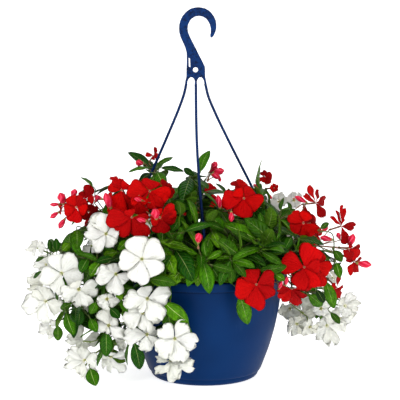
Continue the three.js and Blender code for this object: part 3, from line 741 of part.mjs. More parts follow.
/** A closed geometry as a solid: only position is kept and shared vertices are merged. */
function solidOf(geometry) {
  let g = geometry.clone();
  for (const name of Object.keys(g.attributes)) if (name !== 'position') g.deleteAttribute(name);
  g = mergeVertices(g, 1e-4);
  return new wasm.Manifold(new wasm.Mesh({
    numProp: 3,
    vertProperties: new Float32Array(g.attributes.position.array),
    triVerts: new Uint32Array(g.index.array),
  }));
}

/** Vertices and triangles of a solid as a geometry. */
function geometryOf(solid) {
  const mesh = solid.getMesh();
  const g = new THREE.BufferGeometry();
  g.setAttribute('position', new THREE.BufferAttribute(new Float32Array(mesh.vertProperties), 3));
  g.setIndex(new THREE.BufferAttribute(new Uint32Array(mesh.triVerts), 1));
  g.computeVertexNormals();
  return g;
}

/** One body from solids that overlap. */
function join(list) {
  let out = list[0];
  for (let i = 1; i < list.length; i++) out = out.add(list[i]);
  return out;
}

function fromLists(points, faces) {
  const g = new THREE.BufferGeometry();
  g.setAttribute('position', new THREE.BufferAttribute(new Float32Array(points.flatMap((p) => [p.x, p.y, p.z])), 3));
  g.setIndex(faces.flat());
  return g;
}

// ---- plant pieces -------------------------------------------------------

/** A round stem of constant radius through the given points. */
function stemGeometry(points, radius, sides = 5, steps = 0) {
  const path = new THREE.CatmullRomCurve3(points, false, 'centripetal');
  const section = new THREE.Shape();
  for (let i = 0; i < sides; i++) {
    const a = (i / sides) * 2 * Math.PI;
    if (i === 0) section.moveTo(radius * Math.cos(a), radius * Math.sin(a));
    else section.lineTo(radius * Math.cos(a), radius * Math.sin(a));
  }
  section.closePath();
  return new THREE.ExtrudeGeometry(section, { steps: steps || Math.max(2, (points.length - 1) * 2), curveSegments: 1, extrudePath: path });
}

/**
 * A leaf blade: six outline points round a raised midrib, arched along its length.
 * base, tip: ends of the blade; up: direction its upper face looks; width; arch: rise of the middle.
 */
function leafGeometry(base, tip, up, width, arch, thickness = 1.3) {
  const axis = tip.clone().sub(base);
  const length = axis.length();
  axis.divideScalar(length);
  const face = up.clone().addScaledVector(axis, -up.dot(axis)).normalize();
  const side = axis.clone().cross(face);
  const at = (t, s, h) => base.clone().addScaledVector(axis, t * length).addScaledVector(side, s * width / 2).addScaledVector(face, h);
  const points = [
    base.clone(),
    at(0.34, 0.96, arch * 0.9), at(0.74, 0.84, arch * 0.75),
    tip.clone(),
    at(0.74, -0.84, arch * 0.75), at(0.34, -0.96, arch * 0.9),
    at(0.5, 0, arch * 0.78 + thickness * 0.25), at(0.5, 0, arch * 0.78 - thickness * 0.75),
  ];
  const faces = [];
  for (let i = 0; i < 6; i++) {
    const j = (i + 1) % 6;
    faces.push([6, i, j], [7, j, i]);
  }
  return fromLists(points, faces);
}

/** Directions of up and right in the plane of a flower that faces along normal. */
function flowerFrame(normal) {
  const up = new THREE.Vector3(0, 0, 1);
  if (Math.abs(normal.z) > 0.985) up.set(0, 1, 0);
  up.addScaledVector(normal, -up.dot(normal)).normalize();
  const right = up.clone().cross(normal);
  return { up, right };
}

/**
 * A five-petalled flower with its tube and stalk as one closed body.
 * petals: five directions in degrees, clockwise from up, each with its length.
 * stalk: points from behind the face to the shoot.
 * cup: how far the longest petal stands forward of the throat (negative when swept back).
 */
function flowerGeometry(center, normal, petals, cup, stalk, sides = 4) {
  const { up, right } = flowerFrame(normal);
  const dir = (deg) => {
    const a = (deg * Math.PI) / 180;
    return right.clone().multiplyScalar(Math.sin(a)).addScaledVector(up, Math.cos(a));
  };
  const points = [];
  const faces = [];
  const sorted = [...petals].sort((p, q) => p[0] - q[0]);
  const longest = Math.max(...petals.map((p) => p[1]));
  const rim = (deg, r) => center.clone().addScaledVector(dir(deg), r).addScaledVector(normal, cup * (r / longest) ** 2);
  for (let i = 0; i < 5; i++) {
    const [a, length] = sorted[i];
    const [before] = sorted[(i + 4) % 5];
    const [after, nextLength] = sorted[(i + 1) % 5];
    const left = Math.min(22, 0.4 * ((a - before + 360) % 360));
    const gap = (after - a + 360) % 360;
    const notch = Math.max(3.6, 0.52 * Math.min(length, nextLength));
    points.push(rim(a - left, 0.9 * length), rim(a + Math.min(22, 0.4 * gap), 0.93 * length), rim(a + gap / 2, notch));
  }
  const n = 15;
  points.push(center.clone().addScaledVector(normal, -0.2)); // throat
  for (let i = 0; i < n; i++) faces.push([n, (i + 1) % n, i]);
  // rings of the tube and stalk
  const rings = [];
  const ring = (at, along, r) => {
    const { up: u, right: v } = flowerFrame(along);
    const start = points.length;
    for (let k = 0; k < sides; k++) {
      const a = ((k + 0.5) / sides) * 2 * Math.PI;
      points.push(at.clone().addScaledVector(v, r * Math.sin(a)).addScaledVector(u, r * Math.cos(a)));
    }
    rings.push(start);
  };
  // the first ring keeps the frame of the face, so it lines up with the outline
  const start = points.length;
  for (let k = 0; k < sides; k++) {
    const a = ((k + 0.5) / sides) * 360;
    points.push(center.clone().addScaledVector(normal, -2.6).addScaledVector(dir(a), 2.2));
  }
  rings.push(start);
  // underside: outline to first ring
  const angOf = (p) => {
    const d = p.clone().sub(center);
    let a = (Math.atan2(d.dot(right), d.dot(up)) * 180) / Math.PI;
    return (a + 360) % 360;
  };
  const outline = [...Array(n).keys()].map((i) => ({ i, a: angOf(points[i]) }));
  const order = outline.sort((p, q) => p.a - q.a);
  let k = 0;
  const ringAngle = (m) => ((m + 0.5) / sides) * 360;
  // walk both loops by angle
  let m = 0;
  while (m < sides && ringAngle(m) < order[0].a) m++;
  let cur = (m - 1 + sides) % sides;
  let used = 0;
  for (let s = 0; s < n; s++) {
    const p = order[s];
    const q = order[(s + 1) % n];
    const aEnd = s === n - 1 ? q.a + 360 : q.a;
    faces.push([p.i, q.i, start + cur]);
    for (;;) {
      const nextRing = (cur + 1) % sides;
      let ar = ringAngle(nextRing);
      while (ar < p.a) ar += 360;
      if (used < sides && ar <= aEnd) {
        faces.push([start + cur, q.i, start + nextRing]);
        cur = nextRing;
        used++;
      } else break;
    }
  }
  // tube and stalk rings
  const path = [center.clone().addScaledVector(normal, -2.6), ...stalk];
  let prevDir = dir(ringAngle(0)); // keeps rings from twisting
  let prev = start;
  for (let j = 1; j < path.length; j++) {
    const along = (j < path.length - 1 ? path[j + 1].clone().sub(path[j - 1]) : path[j].clone().sub(path[j - 1])).normalize();
    const e1 = prevDir.clone().addScaledVector(along, -prevDir.dot(along)).normalize();
    prevDir = e1;
    const e2 = e1.clone().cross(along).negate(); // clockwise seen from the face
    const st = points.length;
    const r = j === 1 ? 1.5 : 1.15;
    for (let q = 0; q < sides; q++) {
      const a = (q / sides) * 2 * Math.PI;
      points.push(path[j].clone().addScaledVector(e1, r * Math.cos(a)).addScaledVector(e2, r * Math.sin(a)));
    }
    for (let q = 0; q < sides; q++) {
      const w = (q + 1) % sides;
      faces.push([prev + q, prev + w, st + w], [prev + q, st + w, st + q]);
    }
    prev = st;
  }
  for (let q = 1; q < sides - 1; q++) faces.push([prev, prev + q, prev + q + 1]);
  return fromLists(points, faces);
}

/** A furled bud: a spindle on its stalk. */
function budGeometry(base, tip, radius, stalk, sides = 5) {
  const axis = tip.clone().sub(base).normalize();
  const { up, right } = flowerFrame(axis);
  const length = tip.distanceTo(base);
  const points = [tip.clone()];
  const faces = [];
  const rows = [[0.6, 1], [0.04, 0.42]];
  for (const [t, r] of rows) {
    for (let k = 0; k < sides; k++) {
      const a = (k / sides) * 2 * Math.PI;
      points.push(base.clone().addScaledVector(axis, t * length)
        .addScaledVector(right, r * radius * Math.sin(a)).addScaledVector(up, r * radius * Math.cos(a)));
    }
  }
  for (let k = 0; k < sides; k++) faces.push([0, 1 + ((k + 1) % sides), 1 + k]);
  let prev = 1;
  for (let row = 1; row < rows.length; row++) {
    const st = 1 + row * sides;
    for (let k = 0; k < sides; k++) {
      const w = (k + 1) % sides;
      faces.push([prev + k, prev + w, st + w], [prev + k, st + w, st + k]);
    }
    prev = st;
  }
  let prevDir = up.clone();
  const path = [base, ...stalk];
  for (let j = 1; j < path.length; j++) {
    const along = (j < path.length - 1 ? path[j + 1].clone().sub(path[j - 1]) : path[j].clone().sub(path[j - 1])).normalize();
    const e1 = prevDir.clone().addScaledVector(along, -prevDir.dot(along)).normalize();
    prevDir = e1;
    const e2 = e1.clone().cross(along).negate();
    const st = points.length;
    for (let q = 0; q < sides; q++) {
      const a = (q / sides) * 2 * Math.PI;
      points.push(path[j].clone().addScaledVector(e1, 1.1 * Math.cos(a)).addScaledVector(e2, 1.1 * Math.sin(a)));
    }
    for (let q = 0; q < sides; q++) {
      const w = (q + 1) % sides;
      faces.push([prev + q, prev + w, st + w], [prev + q, st + w, st + q]);
    }
    prev = st;
  }
  for (let q = 1; q < sides - 1; q++) faces.push([prev, prev + q, prev + q + 1]);
  return fromLists(points, faces);
}

// ---- pot ----------------------------------------------------------------

function potGeometry() {
  const outer = [
    [0, 0], [POT.contactRadius, 0], [80.4, 0.9], [83.6, 3.3], [85.2, 6.6], [POT.footRadius, POT.footHeight], ...BODY,
    [121.9, POT.height - 2.6], [124.7, POT.height - 2.6], [124.9, POT.height - POT.band], [POT.rimRadius, POT.height - POT.band],
    [POT.rimRadius + 0.2, POT.height - 2.4], [126.2, POT.height - 0.5], [124.6, POT.height], [120.9, POT.height],
  ];
  const inner = [[BODY[BODY.length - 1][0] - POT.wall + 0.1, POT.height - 1.4]];
  for (const [r, z] of [...BODY].reverse()) inner.push([r - POT.wall, z]);
  const profile = [...outer, ...inner, [82.4, 5.4], [75.2, POT.floor], [0, POT.floor]];
  const shell = new THREE.LatheGeometry(profile.map(([r, z]) => new THREE.Vector2(r, z)), POT.segments);
  shell.rotateX(Math.PI / 2);
  let solid = solidOf(shell);
  if (solid.volume() < 0) throw new Error('pot profile runs the wrong way round');
  // three slotted lugs under the lip take the barbs of the hanger
  for (const angle of Object.values(STRAND_ANGLES)) {
    const a = (angle * Math.PI) / 180;
    const lug = new THREE.BoxGeometry(LUG.deep, LUG.wide, LUG.height);
    lug.translate(LUG.radius + 2.2, 0, LUG.z + LUG.height / 2);
    lug.rotateZ(a);
    const slot = new THREE.BoxGeometry(LUG.slotDeep, LUG.slotWide, LUG.height * 3);
    slot.translate(LUG.radius, 0, LUG.z + LUG.height / 2);
    slot.rotateZ(a);
    solid = solid.add(solidOf(lug)).subtract(solidOf(slot));
  }
  for (let i = 0; i < POT.drains; i++) {
    const a = ((i + 0.5) / POT.drains) * 2 * Math.PI;
    const hole = new THREE.CylinderGeometry(POT.drainRadius, POT.drainRadius, POT.floor * 4, 10);
    hole.rotateX(Math.PI / 2);
    hole.translate(POT.drainCircle * Math.cos(a), POT.drainCircle * Math.sin(a), POT.floor / 2);
    solid = solid.subtract(solidOf(hole));
  }
  return geometryOf(solid);
}

function soilGeometry() {
  const gap = SOIL_GAP;
  const wall = BODY.filter(([, z], i) => z < POT.soilTop - 8 && i % 2 === 0);
  const top = 120.9 - POT.wall - gap;
  const profile = [
    [0, POT.floor + gap], [74.6, POT.floor + gap], [81.4, 6.2],
    ...wall.map(([r, z]) => [r - POT.wall - gap - 0.6, z]), [top - 0.6, POT.soilTop - 3], [top - 6, POT.soilTop], [0, POT.soilTop],
  ];
  const g = new THREE.LatheGeometry(profile.map(([r, z]) => new THREE.Vector2(r, z)), POT.segments);
  g.rotateX(Math.PI / 2);
  return g;
}

// ---- hanger -------------------------------------------------------------

/** The hook and its three-pronged plate, cut from one flat outline in the XZ plane. */
function hookGeometry() {
  const shape = new THREE.Shape(HOOK_OUTLINE.map(([x, z]) => new THREE.Vector2(x, z)));
  const eye = [];
  for (let i = 0; i < HOOK.eyeSides; i++) {
    const a = (-i / HOOK.eyeSides) * 2 * Math.PI;
    eye.push(new THREE.Vector2(HOOK.eye[0] + HOOK.eyeRadius * Math.cos(a), HOOK.eye[1] + HOOK.eyeRadius * Math.sin(a)));
  }
  shape.holes.push(new THREE.Path(eye));
  shape.holes.push(new THREE.Path(HOOK_SLOT.map(([x, z]) => new THREE.Vector2(x, z))));
  const g = new THREE.ExtrudeGeometry(shape, { depth: HOOK.thickness, bevelEnabled: false, curveSegments: 5 });
  g.rotateX(Math.PI / 2); // shape XY becomes XZ
  g.translate(0, HOOK.thickness / 2, 0);
  return g;
}

/** One strand of the hanger, ending in a barbed tab that is pushed through its lug. */
function strandGeometry(name) {
  const points = STRANDS[name].map(([x, y, z]) => new THREE.Vector3(x, y, z));
  const rod = solidOf(stemGeometry(points, HOOK.strandRadius, HOOK.strandSides, HOOK.strandSteps));
  const tab = new THREE.Shape(TAB.map(([x, z]) => new THREE.Vector2(x, z)));
  const g = new THREE.ExtrudeGeometry(tab, { depth: HOOK.tabThickness, bevelEnabled: false });
  g.translate(0, 0, -HOOK.tabThickness / 2);
  g.rotateX(Math.PI / 2);
  g.rotateZ(Math.PI / 2);
  g.translate(LUG.radius, 0, 0);
  g.rotateZ((STRAND_ANGLES[name] * Math.PI) / 180);
  return geometryOf(rod.add(solidOf(g)));
}

// ---- plant --------------------------------------------------------------

const vec = ([x, y, z]) => new THREE.Vector3(x, y, z);

/** A shoot: its stems, branches and leaf blades as one body. */
function shootGeometry({ stems, leaves }) {
  const pieces = stems.map(([radius, sides, steps, points]) => solidOf(stemGeometry(points.map(vec), radius, sides, steps)));
  for (const [base, tip, up, width, arch] of leaves) {
    pieces.push(solidOf(leafGeometry(vec(base), vec(tip), vec(up), width, arch, LEAF_THICKNESS)));
  }
  return geometryOf(join(pieces));
}

/** A cluster of flowers and buds whose stalks meet at a hub. */
function clusterGeometry({ hub, flowers, buds }) {
  const ball = new THREE.IcosahedronGeometry(HUB_RADIUS, 0);
  ball.translate(...hub);
  const pieces = [solidOf(ball)];
  for (const [throat, facing, petals, cup, stalk] of flowers) {
    pieces.push(solidOf(flowerGeometry(vec(throat), vec(facing), petals, cup, stalk.map(vec), STALK_SIDES)));
  }
  for (const [base, tip, radius, stalk] of buds) {
    pieces.push(solidOf(budGeometry(vec(base), vec(tip), radius, stalk.map(vec), BUD_SIDES)));
  }
  return geometryOf(join(pieces));
}

// ---- assembly -------------------------------------------------------------

const basket = new THREE.Group();
basket.name = 'vinca_hanging_basket';

function place(name, geometry, color, roughness) {
  const mesh = new THREE.Mesh(geometry, new THREE.MeshStandardMaterial({ color, roughness, metalness: 0 }));
  mesh.name = name;
  basket.add(mesh);
}

place('pot', potGeometry(), COLOUR.pot, 0.42);
place('potting_mix', soilGeometry(), COLOUR.soil, 0.95);
place('hanger_hook', hookGeometry(), COLOUR.hanger, 0.4);
for (const name of Object.keys(STRANDS)) place(`hanger_strand_${name}`, strandGeometry(name), COLOUR.hanger, 0.4);
for (const [name, shoot] of Object.entries(SHOOTS)) place(name, shootGeometry(shoot), COLOUR.leaf, 0.45);
for (const [name, cluster] of Object.entries(CLUSTERS)) {
  const color = name.startsWith('bud') ? COLOUR.bud : name.includes('white') ? COLOUR.white : COLOUR.red;
  place(name, clusterGeometry(cluster), color, 0.6);
}

export default basket;
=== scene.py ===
# Looks of the hanging basket of trailing vinca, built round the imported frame.
import math

import bpy
import numpy as np
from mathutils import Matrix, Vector


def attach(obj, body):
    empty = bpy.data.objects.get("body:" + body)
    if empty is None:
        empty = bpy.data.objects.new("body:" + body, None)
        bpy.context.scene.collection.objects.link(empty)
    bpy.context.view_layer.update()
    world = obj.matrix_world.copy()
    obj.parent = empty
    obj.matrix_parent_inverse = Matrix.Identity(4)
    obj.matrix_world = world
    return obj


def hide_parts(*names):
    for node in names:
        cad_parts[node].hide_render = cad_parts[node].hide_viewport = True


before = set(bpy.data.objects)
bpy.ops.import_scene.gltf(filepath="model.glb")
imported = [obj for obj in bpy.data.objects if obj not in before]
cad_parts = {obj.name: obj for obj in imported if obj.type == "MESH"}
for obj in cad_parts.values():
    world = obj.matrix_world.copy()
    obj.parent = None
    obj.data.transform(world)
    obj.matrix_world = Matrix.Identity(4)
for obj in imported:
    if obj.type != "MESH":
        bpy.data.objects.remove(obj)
bpy.context.scene.view_settings.view_transform = "Standard"
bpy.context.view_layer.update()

# ---- camera ------------------------------------------------------------------
cam_data = bpy.data.cameras.new("camera")
cam = bpy.data.objects.new("camera", cam_data)
bpy.context.scene.collection.objects.link(cam)
cam.location = (-0.0073, -2.91, 0.7148)
cam.rotation_euler = (math.radians(90 - 8.5), 0, 0)
cam_data.sensor_width = 36.0
cam_data.lens = 168.57
cam_data.clip_start, cam_data.clip_end = 0.05, 60
bpy.context.scene.camera = cam

# ---- measured points: tenths of a millimetre, directions in hundredths --------
BODY = [(88.2, 11.2), (93, 22), (97.6, 34), (102.6, 48), (107.4, 64), (111.7, 80), (115.7, 99.6), (118.9, 119), (120.9, 138), (121.6, 154)]
STRANDS = {
    "front": [(-13.7, 0, 461.15000000000003), (-13.5, -10.4, 435.4), (-13.2, -19.8, 411.4), (-11.9, -36.1, 369.6), (-8.7, -55.7, 319.3), (-4.8, -72.3, 276.8), (-0.6, -89.4, 233), (2, -113.2, 182), (2, -113.2, 170.5)],
    "left": [(-29, 0, 461.15000000000003), (-32.2, 3, 446.6), (-41.2, 8, 421), (-57.1, 15.5, 382.4), (-89.7, 30.5, 305.8), (-106.8, 38.9, 262.8), (-116.8, 45.4, 229.5), (-117.2, 50.6, 202.6), (-100.6, 58.1, 182), (-98, 56.6, 170.5)],
    "right": [(1.3, 0, 461.15000000000003), (5.5, 3.6, 443.4), (15.9, 8.6, 417.8), (34, 16.2, 379.2), (69.6, 30.2, 307.4), (82.2, 35.1, 282.4), (93.5, 37.9, 267.8), (102.2, 42.4, 244.5), (105.5, 47, 221.1), (105.3, 51, 200.9), (101.5, 58.6, 182), (98, 56.6, 170.5)],
}
# shoot: stems [radius, is a twig, points], leaves [base, tip, facing, width, arch], thin twigs
SHOOTS = {
"shoot_front_1": ([
(2.1, 0, [[-520,-220,1528],[-573,-242,1863],[-1095,-160,2219],[-1386,-35,2575],[-1565,-112,2619]]),
(1.6, 0, [[-1034,-169,2186],[-1131,-261,2267],[-1132,-448,2298],[-1170,-574,2318],[-1212,-677,2329]]),
(1.2, 1, [[-1178,-591,2319],[-1197,-763,2315],[-1134,-1017,2370],[-1176,-1045,2331]]),
], [
[-1956,-811,2471,-1937,-1143,2219,5,-60,80,210,29],
[-1167,-1039,2340,-1316,-1137,2203,25,-89,37,135,16],
[-1739,-219,3036,-1954,-5,3164,35,-20,92,118,23],
[-1326,-44,2519,-1540,-282,2681,-37,7,93,140,35],
[-1056,-163,2205,-1628,-112,2153,-36,-52,77,261,52],
[-1215,-106,2364,-1488,-329,2645,-21,-23,95,193,27],
[-937,-193,2112,-1149,231,2185,-6,15,99,197,26],
[-718,-226,1983,-788,56,2289,-35,-36,87,184,33],
[-1201,-113,2344,-1707,-6,2381,-48,-28,83,206,28],
[-1206,-110,2352,-1570,-281,2565,-49,-22,84,191,37],
[-1679,-50,2792,-2236,-61,2647,-57,23,79,261,38],
[-1130,-357,2284,-1470,-591,1999,-58,28,76,221,38],
[-1621,-582,2371,-1803,-453,1917,-5,0,100,223,48],
[-1085,-154,2231,-1145,269,2401,-5,-21,98,185,21],
[-1178,-931,2331,-784,-1259,2154,-51,-22,83,214,31],
[-592,-238,1852,-586,187,2159,-7,-28,96,233,33],
[-1198,-643,2325,-1575,-721,2720,-10,-3,99,241,49],
[-1917,-747,2478,-2002,-819,1964,-55,4,84,216,28],
[-1178,-655,2322,-1614,-844,2353,-31,3,95,208,30],
[-1509,-95,2597,-1761,-368,2265,-10,3,100,193,32],
[-1513,-574,2353,-1546,-997,2704,-83,-3,56,222,35],
[-1428,-576,2344,-1510,-471,2828,-10,-21,97,215,30],
[-1572,-93,2647,-1737,320,2574,-19,15,97,191,25],
[-1142,-456,2301,-1184,-666,2705,-67,-19,72,194,20],
[-1157,-133,2294,-1230,-441,2584,-38,-15,91,173,34],
[-1180,-844,2331,-729,-973,2243,-65,-32,69,203,29],
[-1213,-107,2362,-831,-33,2735,-19,-11,98,225,25],
[-543,-240,1777,-575,-654,1962,-75,-43,51,194,27],
[-857,-206,2068,-748,-274,2496,-72,-29,63,201,31],
[-1015,-175,2169,-958,212,2358,-45,-24,86,179,38],
[-1158,-541,2313,-1426,-602,1824,-54,10,83,215,33],
[-639,-234,1901,-645,40,2304,-76,-53,39,210,24],
[-1225,-588,2324,-1422,-417,2740,-32,-43,84,217,23],
[-535,-233,1688,-938,-15,1988,-69,-30,67,225,39],
[-1179,-750,2327,-741,-968,2087,-45,-34,82,223,25],
[-1128,-260,2264,-816,-649,2040,-27,23,94,222,37],
[-1716,-70,2873,-1283,-31,3075,-59,16,79,206,34],
[-712,-227,1977,-785,133,2292,-30,-64,71,188,28],
[-1320,-48,2511,-1832,10,2409,-50,-26,83,224,30],
[-1691,-602,2392,-2030,-340,2199,-35,-29,89,204,45],
[-1261,-80,2428,-1242,398,2592,-51,16,84,200,21],
[-1736,-214,3027,-1887,174,2887,-14,-23,96,188,35],
[-1781,-638,2426,-2031,-307,2353,-58,-19,79,184,20],
[-1346,-581,2336,-1452,-213,2175,-1,-32,95,166,22],
[-775,-218,2022,-671,-182,2530,-49,-38,79,209,41],
[-1941,-800,2464,-2014,-874,2047,-74,9,67,178,23],
[-1066,-198,2212,-1431,-27,2327,-47,-23,85,182,25],
[-1178,-659,2322,-871,-987,2469,-65,11,76,211,31],
[-1083,-155,2229,-976,39,2646,-59,-43,68,184,40],
[-1438,-575,2345,-1611,-252,2548,-43,-44,79,181,39],
[-1128,-270,2266,-1555,-417,2350,-35,40,85,184,31],
[-534,-232,1680,-867,-601,1747,-80,-18,57,227,45],
[-1574,-92,2650,-1255,-131,3008,-67,-6,74,203,48],
[-1217,-104,2367,-1112,308,2710,-79,8,61,213,28],
[-1601,-580,2368,-1832,-971,2378,1,-11,99,191,38],
[-1638,-62,2732,-2101,-167,2431,-46,-3,89,229,45],
[-1714,-140,2932,-1316,-428,3110,-30,14,94,233,26],
[-1238,-588,2325,-1537,-439,1994,-27,-14,95,192,24],
[-1165,-559,2315,-915,-937,2138,-26,1,97,199,32],
[-1343,-582,2336,-1610,-939,2241,-17,-10,98,184,41],
[-1261,-80,2428,-1109,260,2818,-27,-5,96,215,26],
[-1177,-1014,2331,-767,-1303,2368,-21,3,98,226,49],
[-1688,-601,2391,-1590,-817,2781,-54,-23,81,181,22],
[-1130,-355,2283,-1127,-655,1979,-51,-14,85,174,37],
[-1179,-744,2327,-1078,-979,2670,-37,-24,90,192,26],
[-1466,-82,2580,-1871,108,2414,-41,-18,90,202,45],
[-855,-206,2067,-984,175,1975,-71,-41,57,168,40],
[-1307,-55,2493,-1062,-13,2904,-56,0,83,190,35],
[-1179,-860,2331,-1042,-1153,2649,-35,-23,91,181,24],
[-590,-238,1850,-462,-367,2078,-87,-13,48,131,22],
[-1160,-547,2314,-1151,-732,2610,-56,-2,83,159,32],
[-1391,-60,2549,-1474,224,2715,-39,28,88,139,21],
[-1178,-940,2331,-926,-1038,2477,-60,8,80,121,23],
[-1687,-601,2391,-1772,-965,2485,-27,-27,93,162,23],
[-1200,-646,2326,-1488,-748,2406,-26,-19,95,142,20],
[-1128,-267,2266,-853,-457,2382,-49,17,86,142,24],
[-1241,-588,2326,-1389,-382,2597,-42,-9,90,158,17],
[-1143,-459,2301,-944,-662,2146,-22,19,96,145,25],
[-1322,-583,2334,-1537,-775,2229,-9,10,99,125,22],
[-1608,-581,2369,-1858,-791,2286,-29,-8,95,133,18],
[-1520,-574,2355,-1669,-305,2218,-16,-38,91,130,19],
[-1180,-852,2331,-1432,-1002,2496,-45,-11,89,135,28],
[-1430,-576,2344,-1642,-372,2116,9,-8,99,159,30],
[-1179,-754,2327,-1388,-885,2175,-55,-27,79,113,19],
], [
[[-1178,-591,2319],[-1656,-587,2378],[-1958,-772,2502],[-1955,-831,2456]],
[[-1544,-106,2611],[-1711,-50,2847],[-1707,-252,3017],[-1752,-206,3044]],
]),
"shoot_front_2": ([
(2.1, 0, [[-260,-400,1528],[-287,-441,1865],[-456,-471,2281],[-497,-386,2684],[-616,-529,2756]]),
(1.6, 0, [[-479,-409,2542],[-564,-409,2644],[-708,-442,2692],[-817,-424,2732],[-894,-470,2763]]),
(1.6, 0, [[-479,-409,2542],[-526,-223,2749],[-603,64,2866],[-699,304,2886],[-704,451,3021]]),
(1.2, 1, [[-604,-516,2747],[-558,-561,2846],[-596,-639,2856],[-542,-661,2846]]),
(1.2, 1, [[-701,379,2958],[-785,596,3091],[-785,551,3191],[-843,581,3226]]),
(1.2, 1, [[-701,379,2958],[-732,373,3122],[-763,157,3246],[-743,90,3219]]),
(1.2, 1, [[-562,-573,2851],[-310,-524,2867],[-126,-618,2861],[-139,-681,2823]]),
(1.2, 1, [[-143,-676,2824],[-293,-697,2756],[-361,-901,2702],[-384,-959,2668]]),
], [
[-565,-652,2850,-195,-807,2780,-34,-91,23,165,28],
[-824,571,3214,-1230,780,3462,19,-57,80,187,36],
[-750,112,3228,-616,-323,3051,-38,-44,81,195,34],
[-134,-660,2835,-210,-1029,2615,-32,-44,84,157,31],
[-377,-942,2678,-495,-1232,2510,37,-57,73,150,25],
[-439,-901,2594,-557,-1191,2396,32,-62,72,135,26],
[109,-1098,2473,212,-1373,2275,-27,-63,73,135,25],
[-704,190,3281,-325,170,3228,9,-55,83,138,27],
[-769,280,3301,-502,430,3425,-14,-48,87,119,23],
[-859,94,3214,-1025,-155,3122,36,-52,77,113,22],
[-848,290,3268,-1210,217,3214,-7,-32,94,134,26],
[-485,-385,2639,-415,101,2924,-11,-6,99,226,47],
[-589,8,2846,-912,203,2816,-26,-24,94,169,36],
[-561,-466,2713,-945,-422,2958,-10,14,99,208,40],
[-806,576,3138,-722,1049,3266,-12,35,93,213,24],
[-703,419,2993,-1140,619,2977,-48,-9,87,221,42],
[-490,-366,2594,-75,-215,2909,-8,-23,97,218,22],
[-524,-231,2732,-884,65,2433,3,-43,90,254,45],
[-326,-757,2735,-794,-755,2441,18,-23,96,220,35],
[-830,579,3194,-972,974,3295,-41,-3,91,164,34],
[-104,-682,2772,-364,-854,2299,6,-7,100,232,47],
[-560,-583,2852,-153,-684,2760,-29,-13,95,172,34],
[-533,-412,2597,-893,-694,2615,2,0,100,177,20],
[-653,188,2876,-1089,176,3044,-15,12,98,190,21],
[-686,-427,2688,-863,-147,3086,-6,-34,94,212,21],
[-745,497,3020,-1048,723,2672,-32,3,95,229,46],
[-591,17,2848,-1021,365,2680,-26,-13,96,223,34],
[-447,-459,2292,-77,-744,2532,11,-18,98,204,23],
[-700,358,2939,-848,667,2685,-41,27,87,187,28],
[-202,-618,2841,-198,-1028,3079,-31,-16,94,202,38],
[-784,-444,2720,-1085,-611,2440,-4,6,100,201,28],
[-272,-430,1769,-474,-118,1943,-48,-33,82,183,35],
[-467,-443,2398,-788,-173,2534,-18,-1,98,174,28],
[-744,211,3196,-917,-127,2883,2,31,95,204,34],
[-853,-460,2747,-1127,-828,2600,-6,-33,94,216,44],
[86,-924,2518,295,-1147,2129,14,-2,99,217,35],
[-266,-555,2859,123,-324,2831,-31,-10,95,183,20],
[107,-1083,2476,-3,-1232,2004,-3,-43,90,210,42],
[-267,-420,1688,-456,-77,1929,9,-37,92,178,39],
[-477,-421,2496,-959,-317,2702,-37,-32,87,241,50],
[-774,572,3061,-991,931,3224,20,43,88,184,32],
[-58,-689,2713,-299,-355,2409,-1,-31,95,212,26],
[-397,-467,2130,-692,-171,2241,0,-35,94,192,40],
[-542,-160,2777,-327,255,2780,-34,-16,93,214,42],
[-714,360,3025,-607,32,3280,-19,29,94,182,19],
[-743,114,3214,-523,-114,2897,-2,35,94,174,31],
[-432,-471,2212,-461,-119,2448,15,-39,91,184,32],
[-322,-452,1956,-188,-65,2139,-26,-52,81,178,20],
[-584,-544,2799,-131,-383,2988,-46,8,88,198,50],
[-489,-385,2658,-241,-768,2726,-17,30,94,184,20],
[-2,-698,2639,316,-395,2446,-20,-37,90,194,31],
[-587,-415,2653,-757,-808,2609,-2,-15,99,174,37],
[-481,-403,2568,-476,40,2723,-40,-38,84,183,37],
[-617,102,2872,-397,548,2913,13,-3,99,196,37],
[-353,-852,2703,-763,-1016,2735,-21,-5,98,186,32],
[-362,-461,2054,-97,-711,2482,-19,-11,98,237,33],
[-564,-77,2821,-868,-64,3094,-14,-43,89,176,39],
[-748,505,3025,-641,882,2774,-31,9,95,195,40],
[-540,-167,2772,-265,160,2730,-19,-19,96,173,24],
[-855,-460,2748,-1060,-154,2985,-28,-22,94,178,30],
[86,-924,2518,170,-1235,2836,-17,-11,98,203,32],
[-467,-443,2397,-868,-812,2384,-7,-18,98,228,25],
[-675,-426,2684,-996,-104,2768,-11,5,99,200,27],
[-561,-580,2852,-1045,-806,3013,-47,-12,88,238,55],
[-351,-844,2706,-569,-870,2325,-14,-22,97,182,22],
[-375,-926,2679,-403,-1200,2969,11,-16,98,170,39],
[-267,-419,1682,-68,-684,1908,-56,-50,66,174,25],
[-433,-471,2218,-212,-803,2407,-7,-44,90,179,18],
[-152,-668,2827,-327,-1194,2996,-18,-3,98,256,51],
[-690,278,2881,-341,522,2803,-15,0,99,183,32],
[-272,-728,2762,-571,-407,2755,-9,-38,92,185,25],
[-400,-468,2136,-536,-1004,2159,-20,-49,85,234,31],
[91,-1015,2508,425,-1035,2156,-3,-27,96,223,44],
[-520,-247,2722,-992,-30,2806,-31,-5,95,212,37],
[-355,-460,2040,-446,-952,2176,-44,-30,85,237,24],
[-512,-565,2854,-338,-258,3089,-56,-39,73,170,37],
[-271,-430,1763,33,-740,2076,-46,-56,69,229,52],
[-657,197,2877,-787,472,2452,-22,-28,93,219,23],
[-297,-441,1862,-505,29,2115,-35,-55,76,248,34],
[-561,-87,2818,-1013,-111,2893,-5,-38,92,188,24],
[-518,-411,2581,-348,-222,2895,13,-12,98,185,31],
[-451,-455,2316,-163,-544,2680,-21,-33,92,196,36],
